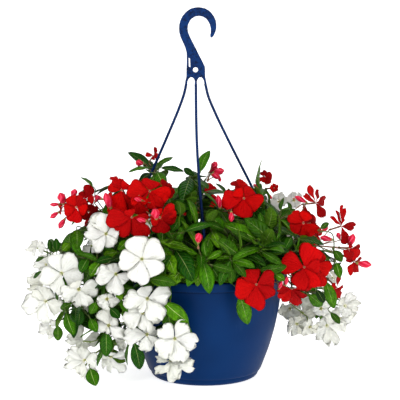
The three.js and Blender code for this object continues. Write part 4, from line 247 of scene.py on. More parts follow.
[-200,-699,2797,-463,-653,2908,4,-14,99,115,25],
[-356,-460,2043,-422,-107,2252,16,-15,98,182,38],
[-449,-457,2302,-748,-319,2366,-58,-7,81,129,17],
[-585,-493,2732,-890,-469,2861,-41,9,91,131,29],
[-267,-420,1685,-151,-701,1807,-45,-72,53,142,26],
[-837,580,3211,-946,321,3285,-25,30,92,126,14],
[-619,106,2872,-401,293,2781,-43,-4,90,134,30],
[-561,-85,2819,-279,241,2801,-28,-3,96,169,23],
[-503,-314,2658,-783,-98,2529,-20,-38,90,149,30],
[-714,361,3022,-937,398,3238,-1,37,93,134,31],
[-320,-531,2866,-156,-443,2632,-34,3,94,126,20],
[-777,572,3067,-998,381,3015,-10,29,95,120,24],
[-297,-441,1863,-77,-534,2153,-32,-58,75,151,15],
[75,-811,2535,99,-998,2823,-26,17,95,146,23],
[-54,-690,2708,286,-707,2711,2,-24,97,132,29],
[-691,281,2881,-997,339,2734,-23,-35,91,135,26],
[-592,20,2849,-849,80,2985,-5,-16,99,114,27],
[-350,-843,2707,-652,-919,2830,27,-15,95,130,14],
[-435,-469,2227,-201,-404,2429,5,-55,84,131,30],
], [
[[-383,-953,2670],[-417,-907,2620],[-432,-885,2606],[-446,-919,2583]],
[[-143,-676,2824],[58,-739,2559],[94,-1059,2501],[115,-1114,2461]],
[[-744,171,3204],[-722,196,3245],[-721,191,3283],[-681,189,3278]],
[[-745,245,3190],[-759,283,3249],[-788,269,3292],[-753,289,3308]],
[[-743,97,3217],[-808,114,3214],[-847,113,3221],[-869,79,3209]],
[[-745,316,3174],[-806,337,3236],[-821,296,3272],[-870,286,3264]],
]),
"shoot_left_1": ([
(2.1, 0, [[-740,-120,1528],[-814,-132,1860],[-1399,-198,1774],[-1762,-179,1797],[-1939,-262,1839]]),
(1.2, 1, [[-1918,-255,1835],[-2023,-481,2017],[-2220,-864,2104],[-2178,-866,2147]]),
], [
[-2185,-865,2139,-2061,-871,2264,-7,-100,3,120,12],
[-2376,-780,2108,-2394,-710,2299,7,-94,35,75,14],
[-2516,-616,1781,-2668,-498,1648,-75,-54,37,84,16],
[-2456,-753,2025,-2621,-635,1942,-65,-55,52,79,15],
[-1246,-185,1805,-1414,-573,1695,-63,-21,75,195,41],
[-764,-124,1686,-1183,-99,1868,-86,-33,39,179,28],
[-1481,-188,1780,-1826,-370,1570,-43,29,86,169,33],
[-1937,-297,1870,-1957,-307,2302,-56,7,83,178,23],
[-1998,-429,1983,-1804,-918,2016,-65,-20,74,223,53],
[-2252,-409,1724,-2286,-769,1355,-66,27,70,219,21],
[-1830,-227,1790,-1969,-704,1740,-43,15,89,218,28],
[-906,-145,1837,-968,-287,2235,15,24,96,192,24],
[-2375,-787,2085,-2110,-491,2144,-45,-52,73,170,27],
[-2015,-280,1737,-2097,-649,1922,-25,12,96,162,20],
[-1561,-183,1782,-1826,-484,1603,-36,-1,93,171,43],
[-1651,-177,1784,-1897,-37,2098,-25,5,97,169,19],
[-2053,-391,1951,-2402,-539,1645,-34,-15,93,191,39],
[-1914,-251,1766,-2268,-209,2031,11,-15,98,195,22],
[-1814,-223,1814,-1880,-549,2041,-28,33,90,159,36],
[-1741,-201,1800,-2002,133,1629,-94,-18,30,194,37],
[-2082,-584,2038,-2261,-829,1710,-46,7,88,173,36],
[-764,-124,1686,-670,259,2018,-65,-3,76,233,39],
[-1284,-188,1796,-1356,-552,1507,2,-14,99,191,26],
[-1987,-344,1910,-1885,-871,1946,-15,0,99,216,43],
[-1967,-362,1925,-2446,-163,2174,-57,16,80,261,27],
[-1462,-189,1780,-1696,105,2042,-19,22,96,199,39],
[-1352,-195,1779,-1508,-553,1955,-42,17,89,166,38],
[-1941,-306,1878,-1831,-740,1893,-55,30,78,190,23],
[-1883,-245,1828,-2143,169,1723,-81,-18,56,224,41],
[-1841,-230,1787,-2123,219,1574,-68,-17,71,227,54],
[-2142,-453,2009,-2304,-760,1773,-48,29,83,187,33],
[-1997,-275,1742,-2384,-85,1952,-52,16,84,191,35],
[-1965,-358,1922,-1688,-504,2342,-85,2,53,219,32],
[-1273,-187,1799,-1305,-134,1256,-47,14,87,221,40],
[-1634,-178,1784,-1829,-180,2181,3,-26,96,196,33],
[-1739,-200,1800,-1903,-610,1617,-8,31,95,185,24],
[-2179,-351,1712,-2477,-373,1264,-63,-30,71,214,24],
[-1452,-190,1780,-1825,-313,1367,-9,12,99,220,26],
[-2103,-313,1719,-2198,-768,1760,-73,23,64,194,27],
[-1634,-178,1784,-1857,137,1758,-29,-7,96,150,35],
[-2052,-391,1950,-1950,-512,2220,-73,-35,58,143,21],
[-1362,-196,1778,-1629,-355,1563,-59,-29,75,146,17],
[-2011,-279,1739,-2326,-97,1788,-22,14,97,157,17],
[-1003,-157,1845,-1146,-301,1486,-56,2,83,187,31],
[-1825,-227,1817,-2063,-212,1662,-73,-29,62,117,16],
[-2177,-350,1713,-2419,-174,1870,-16,-21,96,129,32],
[-921,-147,1838,-1063,-383,2139,2,16,99,171,40],
[-1452,-190,1780,-1559,-458,1806,11,3,99,120,23],
], [
[[-2163,-803,2119],[-2257,-847,2148],[-2372,-794,2068],[-2377,-775,2120]],
[[-1773,-211,1807],[-2181,-347,1708],[-2484,-642,1809],[-2525,-609,1773]],
[[-1945,-313,1884],[-2419,-677,2154],[-2418,-779,2045],[-2466,-746,2020]],
]),
"shoot_left_2": ([
(2.1, 0, [[-620,-420,1528],[-660,-447,1743],[-881,-473,2030],[-1251,-672,1926],[-1245,-571,1620],[-1355,-684,1626]]),
(1.2, 1, [[-1274,-649,1802],[-1488,-759,1823],[-1562,-1121,2056],[-1599,-1139,2005]]),
(1.2, 1, [[-1577,-1074,1991],[-1697,-1043,2029],[-1754,-1068,2104],[-1782,-1086,2057]]),
(1.2, 1, [[-1577,-1074,1991],[-1506,-1199,2001],[-1328,-1169,2096],[-1392,-1174,2082]]),
(1.2, 1, [[-1641,-1060,2014],[-1638,-924,2226],[-1630,-903,2342],[-1587,-948,2315]]),
(1.2, 1, [[-1439,-1198,2037],[-1358,-1049,2110],[-1276,-1052,2163],[-1333,-1055,2156]]),
], [
[-1590,-1135,2018,-1739,-1207,1815,11,-96,26,180,18],
[-1775,-1082,2069,-1893,-1161,1868,13,-95,30,180,17],
[-1376,-1172,2086,-1648,-1194,2028,4,-98,18,120,20],
[-1598,-936,2322,-1407,-1133,2202,-43,-73,53,135,21],
[-1320,-1055,2157,-1547,-1069,2129,4,-98,17,135,16],
[-1655,-1146,1401,-1749,-1126,1211,-8,-99,-6,150,15],
[-1284,-1286,1461,-1161,-1349,1289,-4,-95,32,120,15],
[-2261,-868,2124,-2279,-804,2330,7,-95,30,105,15],
[-1289,-656,1769,-1578,-1034,1790,-13,-25,96,209,40],
[-1178,-611,1903,-1534,-395,1709,-51,-57,64,199,33],
[-1201,-620,1882,-1139,-966,1595,-60,-50,62,184,39],
[-1573,-1064,1988,-1956,-1111,2158,-33,-33,89,164,39],
[-2107,-836,2077,-2085,-339,2347,-44,-58,69,216,41],
[-1367,-1123,1791,-1385,-811,1524,-47,-23,85,168,23],
[-1446,-1161,1958,-982,-1005,2039,-54,-47,70,211,39],
[-1634,-1061,2012,-1644,-577,2014,-44,-65,62,209,34],
[-1409,-1142,1882,-1685,-1045,1593,-63,-44,64,168,27],
[-2252,-865,2120,-2415,-524,2258,-58,-78,23,168,35],
[-1619,-948,1576,-1438,-1296,1724,-78,-29,56,171,32],
[-1802,-1022,2053,-1746,-610,1708,-66,-40,63,221,27],
[-1340,-677,1658,-1745,-881,1519,1,2,100,184,20],
[-1569,-858,1725,-1807,-374,1529,-17,-9,98,258,44],
[-1099,-579,1975,-1030,-836,1658,-27,-22,94,160,19],
[-1150,-600,1928,-1412,-963,2088,-36,-39,85,204,37],
[-1527,-914,1931,-1536,-1436,1702,-35,-4,94,219,44],
[-664,-432,1663,-244,-513,1823,-97,-21,12,176,44],
[-1324,-670,1694,-1659,-869,1574,-75,-6,66,156,24],
[-1362,-1056,2110,-874,-1270,2284,-56,-39,73,256,25],
[-1304,-662,1738,-1780,-894,1683,-44,2,90,245,41],
[-1485,-761,1825,-1794,-461,1893,-48,-47,74,183,23],
[-1510,-841,1879,-1377,-731,2292,-42,-26,87,172,36],
[-1639,-951,2178,-1620,-489,2059,-19,-53,83,207,47],
[-756,-458,1895,-1216,-548,1701,-39,-3,92,213,25],
[-1320,-1159,1631,-1076,-835,1298,-42,-21,88,229,23],
[-693,-439,1750,-549,-710,2106,-33,-8,94,202,33],
[-1525,-905,1924,-1272,-984,2356,-31,-50,81,212,28],
[-1507,-828,1870,-1384,-1202,1767,-58,7,81,168,31],
[-1039,-555,2030,-1079,-958,2007,-25,-19,95,183,27],
[-1433,-1195,2043,-1061,-1361,2172,-77,-32,55,163,21],
[-1630,-1062,2010,-1857,-910,1611,-18,-67,73,212,38],
[-1367,-1123,1791,-1254,-1449,1501,-28,-34,90,189,34],
[-1332,-1126,1700,-996,-1160,1473,-43,-28,86,178,18],
[-1205,-621,1878,-1328,-1085,1792,-18,10,98,186,46],
[-1367,-1056,2103,-1186,-665,2171,-41,-10,91,176,33],
[-1198,-619,1884,-1304,-979,1990,-57,-51,65,166,28],
[-1714,-1048,2040,-1880,-1010,1807,-11,26,96,122,20],
[-1325,-676,1808,-1383,-933,1971,-55,2,84,128,27],
[-1306,-663,1733,-1563,-537,1651,-34,-33,88,124,22],
[-1546,-987,1971,-1378,-1189,2067,-63,4,78,115,18],
[-718,-446,1828,-533,-469,2065,0,7,100,119,15],
[-1318,-1165,1619,-1082,-1333,1636,-70,-32,64,125,27],
[-1872,-969,2059,-2025,-905,2332,-56,-20,80,132,28],
[-1480,-758,1824,-1747,-526,1720,6,-15,99,153,28],
[-1465,-1187,2023,-1094,-1220,1863,-71,-52,47,180,35],
[-1260,-643,1828,-1501,-503,1736,-41,-28,87,134,27],
[-2030,-863,2073,-2144,-499,2102,-40,-47,78,152,34],
[-1447,-1161,1959,-1392,-750,1924,-48,-43,77,169,41],
], [
[[-1506,-828,1870],[-1611,-899,1619],[-1633,-1150,1446],[-1661,-1145,1390]],
[[-1476,-1176,2020],[-1328,-1122,1693],[-1312,-1272,1500],[-1276,-1290,1451]],
[[-1743,-1064,2047],[-2097,-835,2077],[-2257,-883,2076],[-2263,-864,2136]],
]),
"shoot_front_3": ([
(2.1, 0, [[-380,-620,1528],[-399,-650,1689],[-560,-841,1718],[-659,-919,1777],[-707,-1022,1808]]),
(1.2, 1, [[-666,-956,1781],[-781,-1265,1743],[-868,-1517,1838],[-798,-1543,1829]]),
(1.2, 1, [[-801,-1306,1766],[-784,-1294,1665],[-786,-1326,1597],[-739,-1344,1594]]),
], [
[-822,-1535,1832,-431,-1679,1784,-31,-92,24,165,29],
[-752,-1339,1595,-525,-1421,1580,-32,-92,23,90,17],
[-675,-970,1787,-686,-1215,2195,-37,-59,72,200,44],
[-726,-1115,1754,-1149,-1062,1713,-2,-12,99,172,25],
[-397,-648,1670,-840,-909,1887,-32,-53,78,222,35],
[-798,-1297,1765,-1145,-1385,1947,-62,-17,76,154,29],
[-830,-1377,1778,-1108,-1463,2138,-24,-72,65,182,45],
[-637,-909,1762,-472,-1307,1946,11,-3,99,208,32],
[-819,-1442,1798,-508,-1504,2189,-18,-63,76,223,24],
[-694,-1001,1800,-960,-1283,1513,-26,-52,82,218,29],
[-692,-1025,1769,-518,-1304,1474,-58,-10,81,183,34],
[-831,-1380,1779,-421,-1648,1804,-75,-56,37,193,34],
[-639,-912,1763,-1067,-1040,1582,-20,-20,96,214,39],
[-793,-1285,1763,-889,-1315,2156,3,-78,63,166,26],
[-397,-648,1671,-350,-391,2008,-24,-80,55,178,36],
[-728,-1120,1753,-1162,-1138,1852,4,-12,99,187,34],
[-687,-1011,1771,-529,-1339,1846,-36,5,93,155,25],
[-817,-1453,1801,-1088,-1625,1882,-58,-42,70,146,26],
[-805,-1510,1819,-1076,-1699,1743,-41,-22,88,143,14],
[-722,-1105,1755,-1097,-1204,1922,-38,7,92,177,37],
], [

]),
"shoot_front_4": ([
(2.1, 0, [[-180,-780,1528],[-191,-829,1733],[-367,-930,2030],[-522,-1321,1880],[-531,-1209,1267],[-575,-1310,1163]]),
(1.2, 1, [[-466,-1189,1963],[-474,-1168,2100],[-473,-1208,2270],[-439,-1252,2219]]),
(1.2, 1, [[-535,-1278,1528],[-582,-1303,1458],[-642,-1398,1475],[-596,-1410,1439]]),
(1.2, 1, [[-455,-1219,2193],[-536,-1230,2227],[-629,-1282,2275],[-606,-1318,2229]]),
(1.2, 1, [[-573,-1245,2248],[-657,-1200,2309],[-722,-1229,2365],[-668,-1244,2353]]),
(1.2, 1, [[-514,-1232,2220],[-451,-1198,2382],[-376,-1345,2500],[-305,-1330,2519]]),
], [
[-451,-1237,2236,-178,-1597,1814,-21,-81,55,300,43],
[-616,-1405,1454,-246,-1502,1168,-5,-96,26,240,33],
[-615,-1304,2247,-447,-1576,1901,-16,-81,56,195,33],
[-692,-1238,2358,-223,-1368,2259,0,-61,80,179,35],
[-328,-1335,2512,138,-1242,2634,-11,-54,83,177,34],
[-134,-980,2515,-287,-792,2701,-29,-78,55,135,21],
[-375,-1252,2269,-118,-1350,2179,-26,-93,27,105,20],
[-217,-809,1660,23,-810,1944,12,-74,66,158,31],
[-426,-1114,1960,-598,-1264,2298,16,-22,96,173,33],
[-599,-1301,2234,-631,-1419,1806,-24,-26,94,179,38],
[-327,-929,1953,-590,-1141,2353,19,-56,81,203,36],
[-400,-1066,1958,-642,-1022,2408,-7,2,100,227,34],
[-276,-1149,2500,-498,-797,2699,-32,-49,81,208,33],
[-637,-1217,2295,-917,-1037,1993,-34,-62,71,194,36],
[-293,-870,1931,-125,-584,2283,5,-69,72,193,31],
[-510,-1252,1762,-961,-1303,1664,8,-41,91,182,35],
[-545,-1285,1440,-1038,-1149,1365,3,-59,81,225,32],
[-229,-1075,2506,-349,-859,2153,-27,-52,81,170,38],
[-129,-992,2505,-254,-1102,2982,28,-38,88,228,40],
[-494,-1236,1904,-87,-1068,1742,4,-63,77,190,44],
[-529,-1272,1581,-1043,-1260,1365,-32,-23,92,212,43],
[-240,-827,1741,-480,-1258,1690,-20,-46,86,214,30],
[-463,-1202,2180,-328,-1181,2587,-32,-45,83,181,18],
[-269,-851,1847,-665,-719,2034,-18,-75,64,181,34],
[-603,-1375,1449,-516,-1442,974,-15,-37,92,222,22],
[-562,-1300,1279,-725,-942,1044,-33,-62,72,186,24],
[-461,-1229,2353,-696,-1037,2742,-6,-39,92,195,25],
[-324,-1315,2504,-481,-1725,2546,-32,-38,87,181,19],
[-554,-1293,1358,-283,-1382,1051,-38,-35,86,190,29],
[-221,-813,1676,-224,-505,1991,-30,-52,80,198,44],
[-289,-866,1917,-10,-1068,2126,-27,-75,60,175,26],
[-568,-1304,1227,-172,-1280,887,-6,-52,85,227,35],
[-648,-1212,2303,-648,-828,2567,-15,-46,88,178,24],
[-317,-910,1952,-140,-1200,2230,-40,-56,73,178,24],
[-555,-1294,1343,-230,-1310,1032,-14,-65,74,183,42],
[-245,-831,1760,-352,-553,2067,-28,-77,58,185,28],
[-319,-1234,2490,-354,-934,2139,-41,-69,60,186,31],
[-562,-1300,1280,-858,-932,1165,-54,-57,61,215,48],
[-546,-1287,1424,-880,-1309,1135,-11,-60,80,185,38],
[-577,-1250,2248,-866,-1519,2443,8,-34,94,200,38],
[-429,-1232,2423,-511,-1724,2418,-52,3,85,225,25],
[-376,-1274,2464,-371,-1402,2819,-47,-34,82,154,18],
[-510,-1253,1757,-816,-1149,1532,-21,-34,92,167,36],
[-601,-1382,1447,-385,-1434,1175,-43,-78,46,147,33],
[-128,-993,2504,-209,-759,2294,-15,-48,87,132,18],
[-439,-1138,1961,-660,-1123,2185,-30,-7,95,138,21],
[-246,-832,1763,-336,-1127,1805,15,-73,67,138,20],
[-279,-1156,2499,-498,-852,2415,-21,-51,84,147,29],
[-464,-1199,2177,-154,-1219,2129,-53,-54,65,130,24],
[-652,-1211,2306,-951,-1437,2194,4,-73,68,151,29],
[-515,-1232,2220,-602,-1549,2257,44,-43,79,135,15],
[-501,-1243,1842,-116,-1106,1723,-24,-42,88,168,32],
[-670,-1227,2340,-321,-1324,2228,-57,-31,76,152,28],
[-493,-1235,1919,-265,-1383,1743,-13,-54,83,139,30],
], [
[[-351,-1294,2483],[-201,-1040,2507],[-109,-1010,2484],[-143,-969,2526]],
[[-455,-1219,2193],[-406,-1215,2237],[-395,-1244,2276],[-359,-1258,2264]],
]),
"shoot_left_3": ([
(2.1, 0, [[-880,40,1528],[-963,44,1838],[-999,-48,2030],[-1418,-68,1880],[-1816,-50,1338],[-1990,-141,1305]]),
], [
[-2121,-1035,1222,-1998,-1098,877,7,-98,20,180,26],
[-1934,-121,1338,-2018,-493,1070,-48,5,88,190,23],
[-1530,-61,1752,-1366,110,1325,-50,17,85,208,24],
[-968,28,1886,-1452,-260,1933,-87,-10,49,238,51],
[-1063,-11,1934,-1338,181,2203,-36,12,93,189,22],
[-1521,-62,1766,-1739,285,1550,-70,-16,69,195,45],
[-1175,-58,1986,-1091,-413,2192,-31,35,89,170,31],
[-1318,-66,1917,-1720,-340,2222,-32,8,95,235,49],
[-1752,-56,1444,-1773,-191,1057,-55,-3,84,177,29],
[-913,35,1665,-838,440,1866,-26,-5,96,190,29],
[-2100,-361,1204,-1948,-786,1464,-40,1,92,215,38],
[-1490,-64,1800,-1759,252,1876,-44,-16,89,166,22],
[-2159,-629,1200,-1617,-771,1281,-36,3,93,218,36],
[-1942,-151,1327,-2168,-578,1509,-45,42,79,230,23],
[-938,32,1763,-807,365,1991,-86,16,48,191,31],
[-1686,-41,1502,-2155,-156,1604,-21,6,98,191,42],
[-2125,-426,1192,-1961,-775,1343,-4,27,96,162,19],
[-1536,-60,1741,-1932,-252,1619,-61,-3,79,200,38],
[-1901,-109,1357,-1932,-378,849,-58,9,81,238,57],
[-1586,-54,1662,-1400,-343,1348,-44,14,89,213,22],
[-1002,14,1905,-1336,307,1868,-38,38,85,184,32],
[-1239,-67,1971,-1348,296,1737,8,-2,100,177,36],
[-958,29,1845,-800,298,2165,-73,21,65,172,31],
[-1056,-9,1931,-1484,-49,1821,-68,39,62,184,27],
[-1409,-65,1855,-1298,-74,1440,-60,-2,80,192,32],
[-1999,-220,1282,-1869,-619,1219,-22,-7,97,168,32],
[-1634,-48,1586,-1772,-351,1309,-18,-13,97,179,37],
[-1819,-80,1405,-1948,-485,1542,4,26,96,171,41],
[-2123,-1010,1217,-1994,-1408,1336,-46,26,85,196,20],
[-1633,-48,1586,-1451,-191,1164,-63,-5,78,191,38],
[-1685,-42,1504,-1861,424,1402,-29,-16,94,211,36],
[-2126,-431,1192,-2124,-501,793,-61,45,66,163,23],
[-2159,-614,1197,-1671,-756,1200,-83,24,51,196,51],
[-1995,-215,1285,-2425,-94,1110,-82,38,43,212,19],
[-1888,-104,1365,-2201,144,1208,-78,15,61,181,32],
[-1473,-64,1811,-1390,251,1383,-44,14,89,218,54],
[-1594,-53,1649,-1573,219,1279,-42,0,91,183,25],
[-1941,-149,1328,-2376,-73,1341,-58,22,79,202,22],
[-919,35,1687,-1349,193,1776,-36,-20,91,182,35],
[-1753,-56,1443,-1995,-445,1698,-41,39,83,230,43],
[-1056,-9,1931,-1221,357,2147,-37,35,86,190,27],
[-1333,-66,1907,-1725,-134,2112,-1,23,97,173,29],
[-937,32,1761,-1339,-161,1867,-84,-10,54,180,43],
[-1537,-60,1741,-1743,-255,1602,-1,-25,97,128,17],
[-915,35,1669,-1048,278,1754,-86,10,51,121,22],
[-2161,-704,1216,-2061,-838,960,-85,-43,29,134,26],
[-1899,-108,1359,-1938,-141,1034,-66,-20,72,145,28],
[-962,29,1864,-1128,-163,1992,-75,9,65,126,16],
[-2100,-361,1204,-2450,-299,1149,-68,-15,72,151,21],
[-1248,-67,1965,-1597,-77,2103,-31,7,95,162,29],
[-2126,-433,1192,-2298,-687,878,-13,26,96,201,22],
[-1583,-54,1666,-1620,248,1467,-81,22,54,159,30],
[-1826,-82,1401,-1809,-307,1045,-65,8,76,167,30],
], [
[[-1911,-113,1352],[-2137,-439,1180],[-2138,-1027,1269],[-2114,-1039,1202]],
]),
"shoot_left_4": ([
(2.1, 0, [[-800,-320,1528],[-856,-343,1761],[-935,-355,2030],[-1272,-482,1880],[-1141,-398,928],[-1236,-463,800]]),
(1.6, 0, [[-1192,-422,1268],[-1190,-531,1157],[-1168,-706,1189],[-1153,-829,1089],[-1148,-938,1064]]),
(1.2, 1, [[-1152,-860,1092],[-1112,-1008,884],[-1085,-1279,858],[-1071,-1276,784]]),
(1.2, 1, [[-1129,-938,964],[-1336,-928,882],[-1510,-1076,985],[-1510,-1077,911]]),
(1.2, 1, [[-1433,-1003,902],[-1609,-682,447],[-1791,-802,336],[-1769,-828,278]]),
(1.2, 1, [[-1433,-1003,902],[-1758,-887,1080],[-1903,-1000,1328],[-1911,-1003,1261]]),
(1.2, 1, [[-1831,-922,1185],[-2104,-861,1091],[-2250,-977,1057],[-2250,-981,993]]),
], [
[-1076,-1277,809,-987,-1258,368,9,-100,-3,210,31],
[-1510,-1077,935,-1513,-1084,530,5,-100,2,210,28],
[-1775,-821,293,-1678,-938,37,-1,-91,41,210,21],
[-1909,-1002,1278,-1942,-1014,999,5,-100,4,180,20],
[-2250,-980,1008,-2252,-994,760,8,-100,5,150,17],
[-1750,-1118,1147,-1643,-1169,940,3,-97,26,150,17],
[-1442,-1175,1314,-1288,-1236,1172,-7,-94,32,150,15],
[-2028,-1041,1364,-2219,-945,1251,-42,-91,-6,120,17],
[-803,-1204,979,-743,-1228,829,4,-98,17,90,11],
[-894,-344,1887,-1400,-469,1993,-58,-45,68,224,33],
[-1261,-475,1797,-1273,-724,1417,-48,-34,81,180,36],
[-1470,-1039,906,-1976,-816,1080,-59,-24,77,241,44],
[-1762,-914,1117,-2194,-909,1095,-46,-66,60,171,37],
[-1353,-951,904,-1629,-640,670,-20,-6,98,200,41],
[-1221,-441,1420,-1585,-432,1245,-71,-10,69,168,33],
[-1966,-880,1137,-2054,-478,850,-40,-51,76,205,24],
[-1044,-1120,881,-749,-1182,1257,-70,-59,39,196,48],
[-1237,-451,1503,-1514,-763,1314,-66,-13,74,186,29],
[-1517,-807,651,-1296,-359,571,-70,-46,54,194,29],
[-1973,-961,1307,-2148,-809,1782,-42,-42,80,216,46],
[-928,-353,2019,-597,-509,2288,-53,-38,76,192,32],
[-809,-1201,987,-347,-1216,1014,-36,-28,89,185,30],
[-1458,-1162,1322,-1147,-865,1306,-78,-16,61,179,41],
[-1450,-960,849,-1214,-503,777,-62,-48,61,221,38],
[-1491,-979,930,-1600,-457,1079,-65,-26,72,222,51],
[-1181,-941,950,-1285,-742,614,-40,-46,79,156,30],
[-1617,-687,442,-1592,-265,391,-77,-42,49,190,28],
[-905,-347,1928,-623,-651,2088,-27,19,94,195,34],
[-860,-335,1759,-766,-873,1931,-50,7,86,262,36],
[-1542,-1033,1286,-1262,-827,1529,-70,-35,62,192,24],
[-1211,-440,1065,-1697,-310,983,-75,8,66,205,48],
[-1547,-770,587,-1340,-675,246,-73,-67,15,164,39],
[-1191,-472,1216,-1537,-724,1189,-81,-27,52,193,26],
[-1290,-485,1775,-1107,-922,1573,-46,-1,89,203,38],
[-979,-371,1994,-1063,-787,1947,-27,-23,93,166,36],
[-1190,-530,1159,-1493,-771,1023,-63,-45,63,175,25],
[-1226,-453,911,-1428,-104,693,-23,-36,90,207,40],
[-1102,-1123,877,-641,-1200,634,-34,8,94,234,43],
[-1262,-946,929,-1694,-789,1240,-5,-4,100,239,45],
[-1175,-649,1184,-1004,-1058,871,-78,-22,58,212,39],
[-1203,-429,1324,-1398,-70,1108,-48,-16,86,192,39],
[-1607,-928,1181,-1645,-676,1576,-41,-43,81,204,23],
[-1654,-911,1010,-1958,-543,1152,-80,-29,52,217,43],
[-938,-1121,907,-812,-914,1414,-69,-58,43,222,35],
[-1195,-425,1234,-1578,-419,1102,-69,6,72,166,19],
[-886,-342,1857,-1232,-112,1920,-31,-22,93,174,30],
[-1150,-899,1078,-1218,-1296,1400,-62,-17,77,200,29],
[-1229,-456,875,-1373,36,607,-37,-47,80,252,35],
[-836,-329,1667,-605,-333,2024,-48,-36,80,169,23],
[-1898,-944,1238,-2014,-611,1666,-80,-46,39,215,45],
[-1570,-945,968,-1656,-530,1175,-52,-23,82,216,35],
[-1166,-721,1160,-1195,-1217,1400,-30,-14,95,213,49],
[-1495,-849,709,-1528,-408,674,-20,-68,71,185,38],
[-1155,-807,1110,-765,-1181,1312,-57,-20,80,232,40],
[-1202,-432,1154,-1547,-617,1064,-69,1,72,182,27],
[-1191,-473,1215,-1203,-880,1344,-76,14,63,171,35],
[-1538,-1041,1292,-1507,-1120,1722,-94,-24,25,198,37],
[-886,-342,1856,-433,-408,2130,-51,-21,84,236,29],
[-1194,-424,1241,-1343,8,1000,-38,8,92,220,34],
[-1967,-954,1297,-1952,-1467,1165,-47,-60,65,204,28],
[-857,-335,1746,-622,-176,2156,-32,-46,82,215,30],
[-1188,-550,1163,-919,-809,1483,-96,-25,13,194,36],
[-1640,-915,1002,-1754,-440,1243,-27,-75,61,209,23],
[-1490,-862,726,-1666,-986,357,-90,-43,7,183,17],
[-1217,-445,1003,-1255,-903,1030,-84,-35,42,199,19],
[-1101,-1130,875,-1183,-1253,434,-40,10,91,195,46],
[-1581,-730,517,-1244,-494,318,-91,-18,38,207,30],
[-1108,-418,1904,-1544,-214,1985,-9,-33,94,206,48],
[-1226,-454,905,-1700,-483,669,-39,-33,86,206,37],
[-1611,-926,1173,-1658,-1357,1220,-88,-35,31,173,21],
[-1350,-951,905,-1666,-617,958,-48,-9,87,202,20],
[-1558,-950,962,-1933,-714,764,-17,-14,98,218,35],
[-1149,-915,1072,-1285,-943,791,-55,-18,82,127,23],
[-1219,-447,982,-964,-722,785,-73,-41,55,182,37],
[-883,-341,1848,-1096,-553,1898,-67,4,74,131,16],
[-1909,-943,1245,-1920,-883,1530,-49,-20,85,131,20],
[-1972,-878,1135,-2013,-948,791,-20,-84,50,143,34],
[-1176,-639,1182,-1484,-859,1201,-65,27,71,159,29],
[-1272,-473,1678,-1124,-662,1474,-59,1,81,137,14],
[-932,-354,2027,-1011,-686,2063,-45,-6,89,146,22],
[-1515,-810,655,-1623,-547,641,-47,-50,73,123,20],
[-1406,-977,900,-1708,-973,662,-53,-7,84,162,27],
[-1125,-950,944,-1156,-1223,876,-31,-28,91,110,27],
[-1200,-427,1311,-1196,-28,1196,-79,-36,49,175,39],
], [
[[-1785,-915,1140],[-1787,-971,1149],[-1769,-1109,1182],[-1744,-1121,1134]],
[[-1682,-912,1038],[-1594,-934,1202],[-1477,-1161,1347],[-1432,-1179,1306]],
[[-1856,-948,1209],[-1973,-948,1297],[-1988,-1061,1387],[-2039,-1035,1357]],
[[-1102,-1126,876],[-936,-1117,903],[-822,-1197,1025],[-800,-1205,970]],
]),
"shoot_front_5": ([
(2.1, 0, [[260,-340,1528],[284,-371,1832],[328,-258,2186],[292,-198,2427],[384,-191,2604]]),
], [
[204,-583,2684,126,-852,2571,36,-45,82,120,21],
[332,-205,2940,178,-9,3070,31,-35,89,101,20],
[302,-220,2333,149,-479,2678,18,-40,90,188,44],
[292,-353,1870,684,-240,2098,-9,-37,92,190,39],
[271,-361,1676,238,-817,1884,49,-68,55,230,47],
[294,-350,1886,-29,-326,2162,30,-51,81,183,33],
[320,-286,2109,313,74,2176,13,-15,98,165,28],
[307,-228,2305,41,-381,2592,21,-32,92,175,35],
[352,-125,2646,619,357,2683,14,-28,95,239,45],
[271,-362,1678,702,-421,1863,46,-32,83,187,30],
[330,-198,2489,875,-183,2490,-10,-28,96,240,51],
[348,-163,2578,91,324,2603,-1,9,100,241,40],
[291,-353,1869,580,-632,1940,63,-29,72,172,20],
[279,-369,1773,-46,-512,1992,28,-69,66,178,37],
[292,-202,2406,762,125,2388,3,-27,96,262,24],
[232,-491,2703,471,-790,2304,18,3,98,246,43],
[304,-336,1970,198,-641,2260,18,-36,92,191,43],
[365,-194,2564,857,-269,2498,45,-6,89,218,33],
[321,-280,2126,745,36,2286,56,-16,82,229,26],
[208,-572,2687,-173,-666,2559,9,7,99,178,40],
[313,-307,2052,649,-660,2348,10,-18,98,239,49],
[339,-235,2634,150,-631,2618,50,2,86,179,39],
[319,-246,2234,700,27,2304,37,-37,85,193,33],
[320,-247,2230,287,174,2356,19,-39,90,184,33],
[240,-466,2702,-38,-494,3014,-5,-9,100,191,23],
[271,-360,1670,646,-67,1817,37,-42,83,229,45],
[359,-86,2755,842,-55,2784,14,1,99,192,30],
[338,-204,2929,-49,-329,2914,7,-1,100,178,24],
[324,-273,2145,-25,-105,2300,31,-41,86,179,18],
[312,-310,2044,20,-56,2190,19,-39,90,167,39],
[261,-398,2696,-216,-404,2739,8,17,98,216,38],
[365,-199,2882,787,-442,2873,29,13,95,222,48],
[354,-115,2664,807,213,2774,51,-10,85,259,27],
[291,-353,1867,-186,-423,2155,10,-33,94,248,44],
[279,-369,1770,-140,-253,1954,48,-46,75,182,33],
[342,-232,2631,384,-84,3001,32,-3,95,174,26],
[304,-337,1966,64,-367,2142,10,-22,97,133,29],
[313,-308,2050,594,-165,2104,-1,-23,97,125,22],
[358,-89,2743,357,177,2835,10,9,99,114,20],
[238,-473,2703,-43,-452,2853,1,10,100,125,26],
[212,-559,2692,320,-828,2776,28,-11,95,125,27],
[280,-368,1776,238,-610,1989,45,-18,87,134,30],
], [
[[377,-192,2589],[305,-284,2670],[217,-539,2702],[200,-600,2677]],
[[344,-196,2518],[360,-81,2779],[360,-240,2917],[323,-193,2948]],
]),
"shoot_right_1": ([
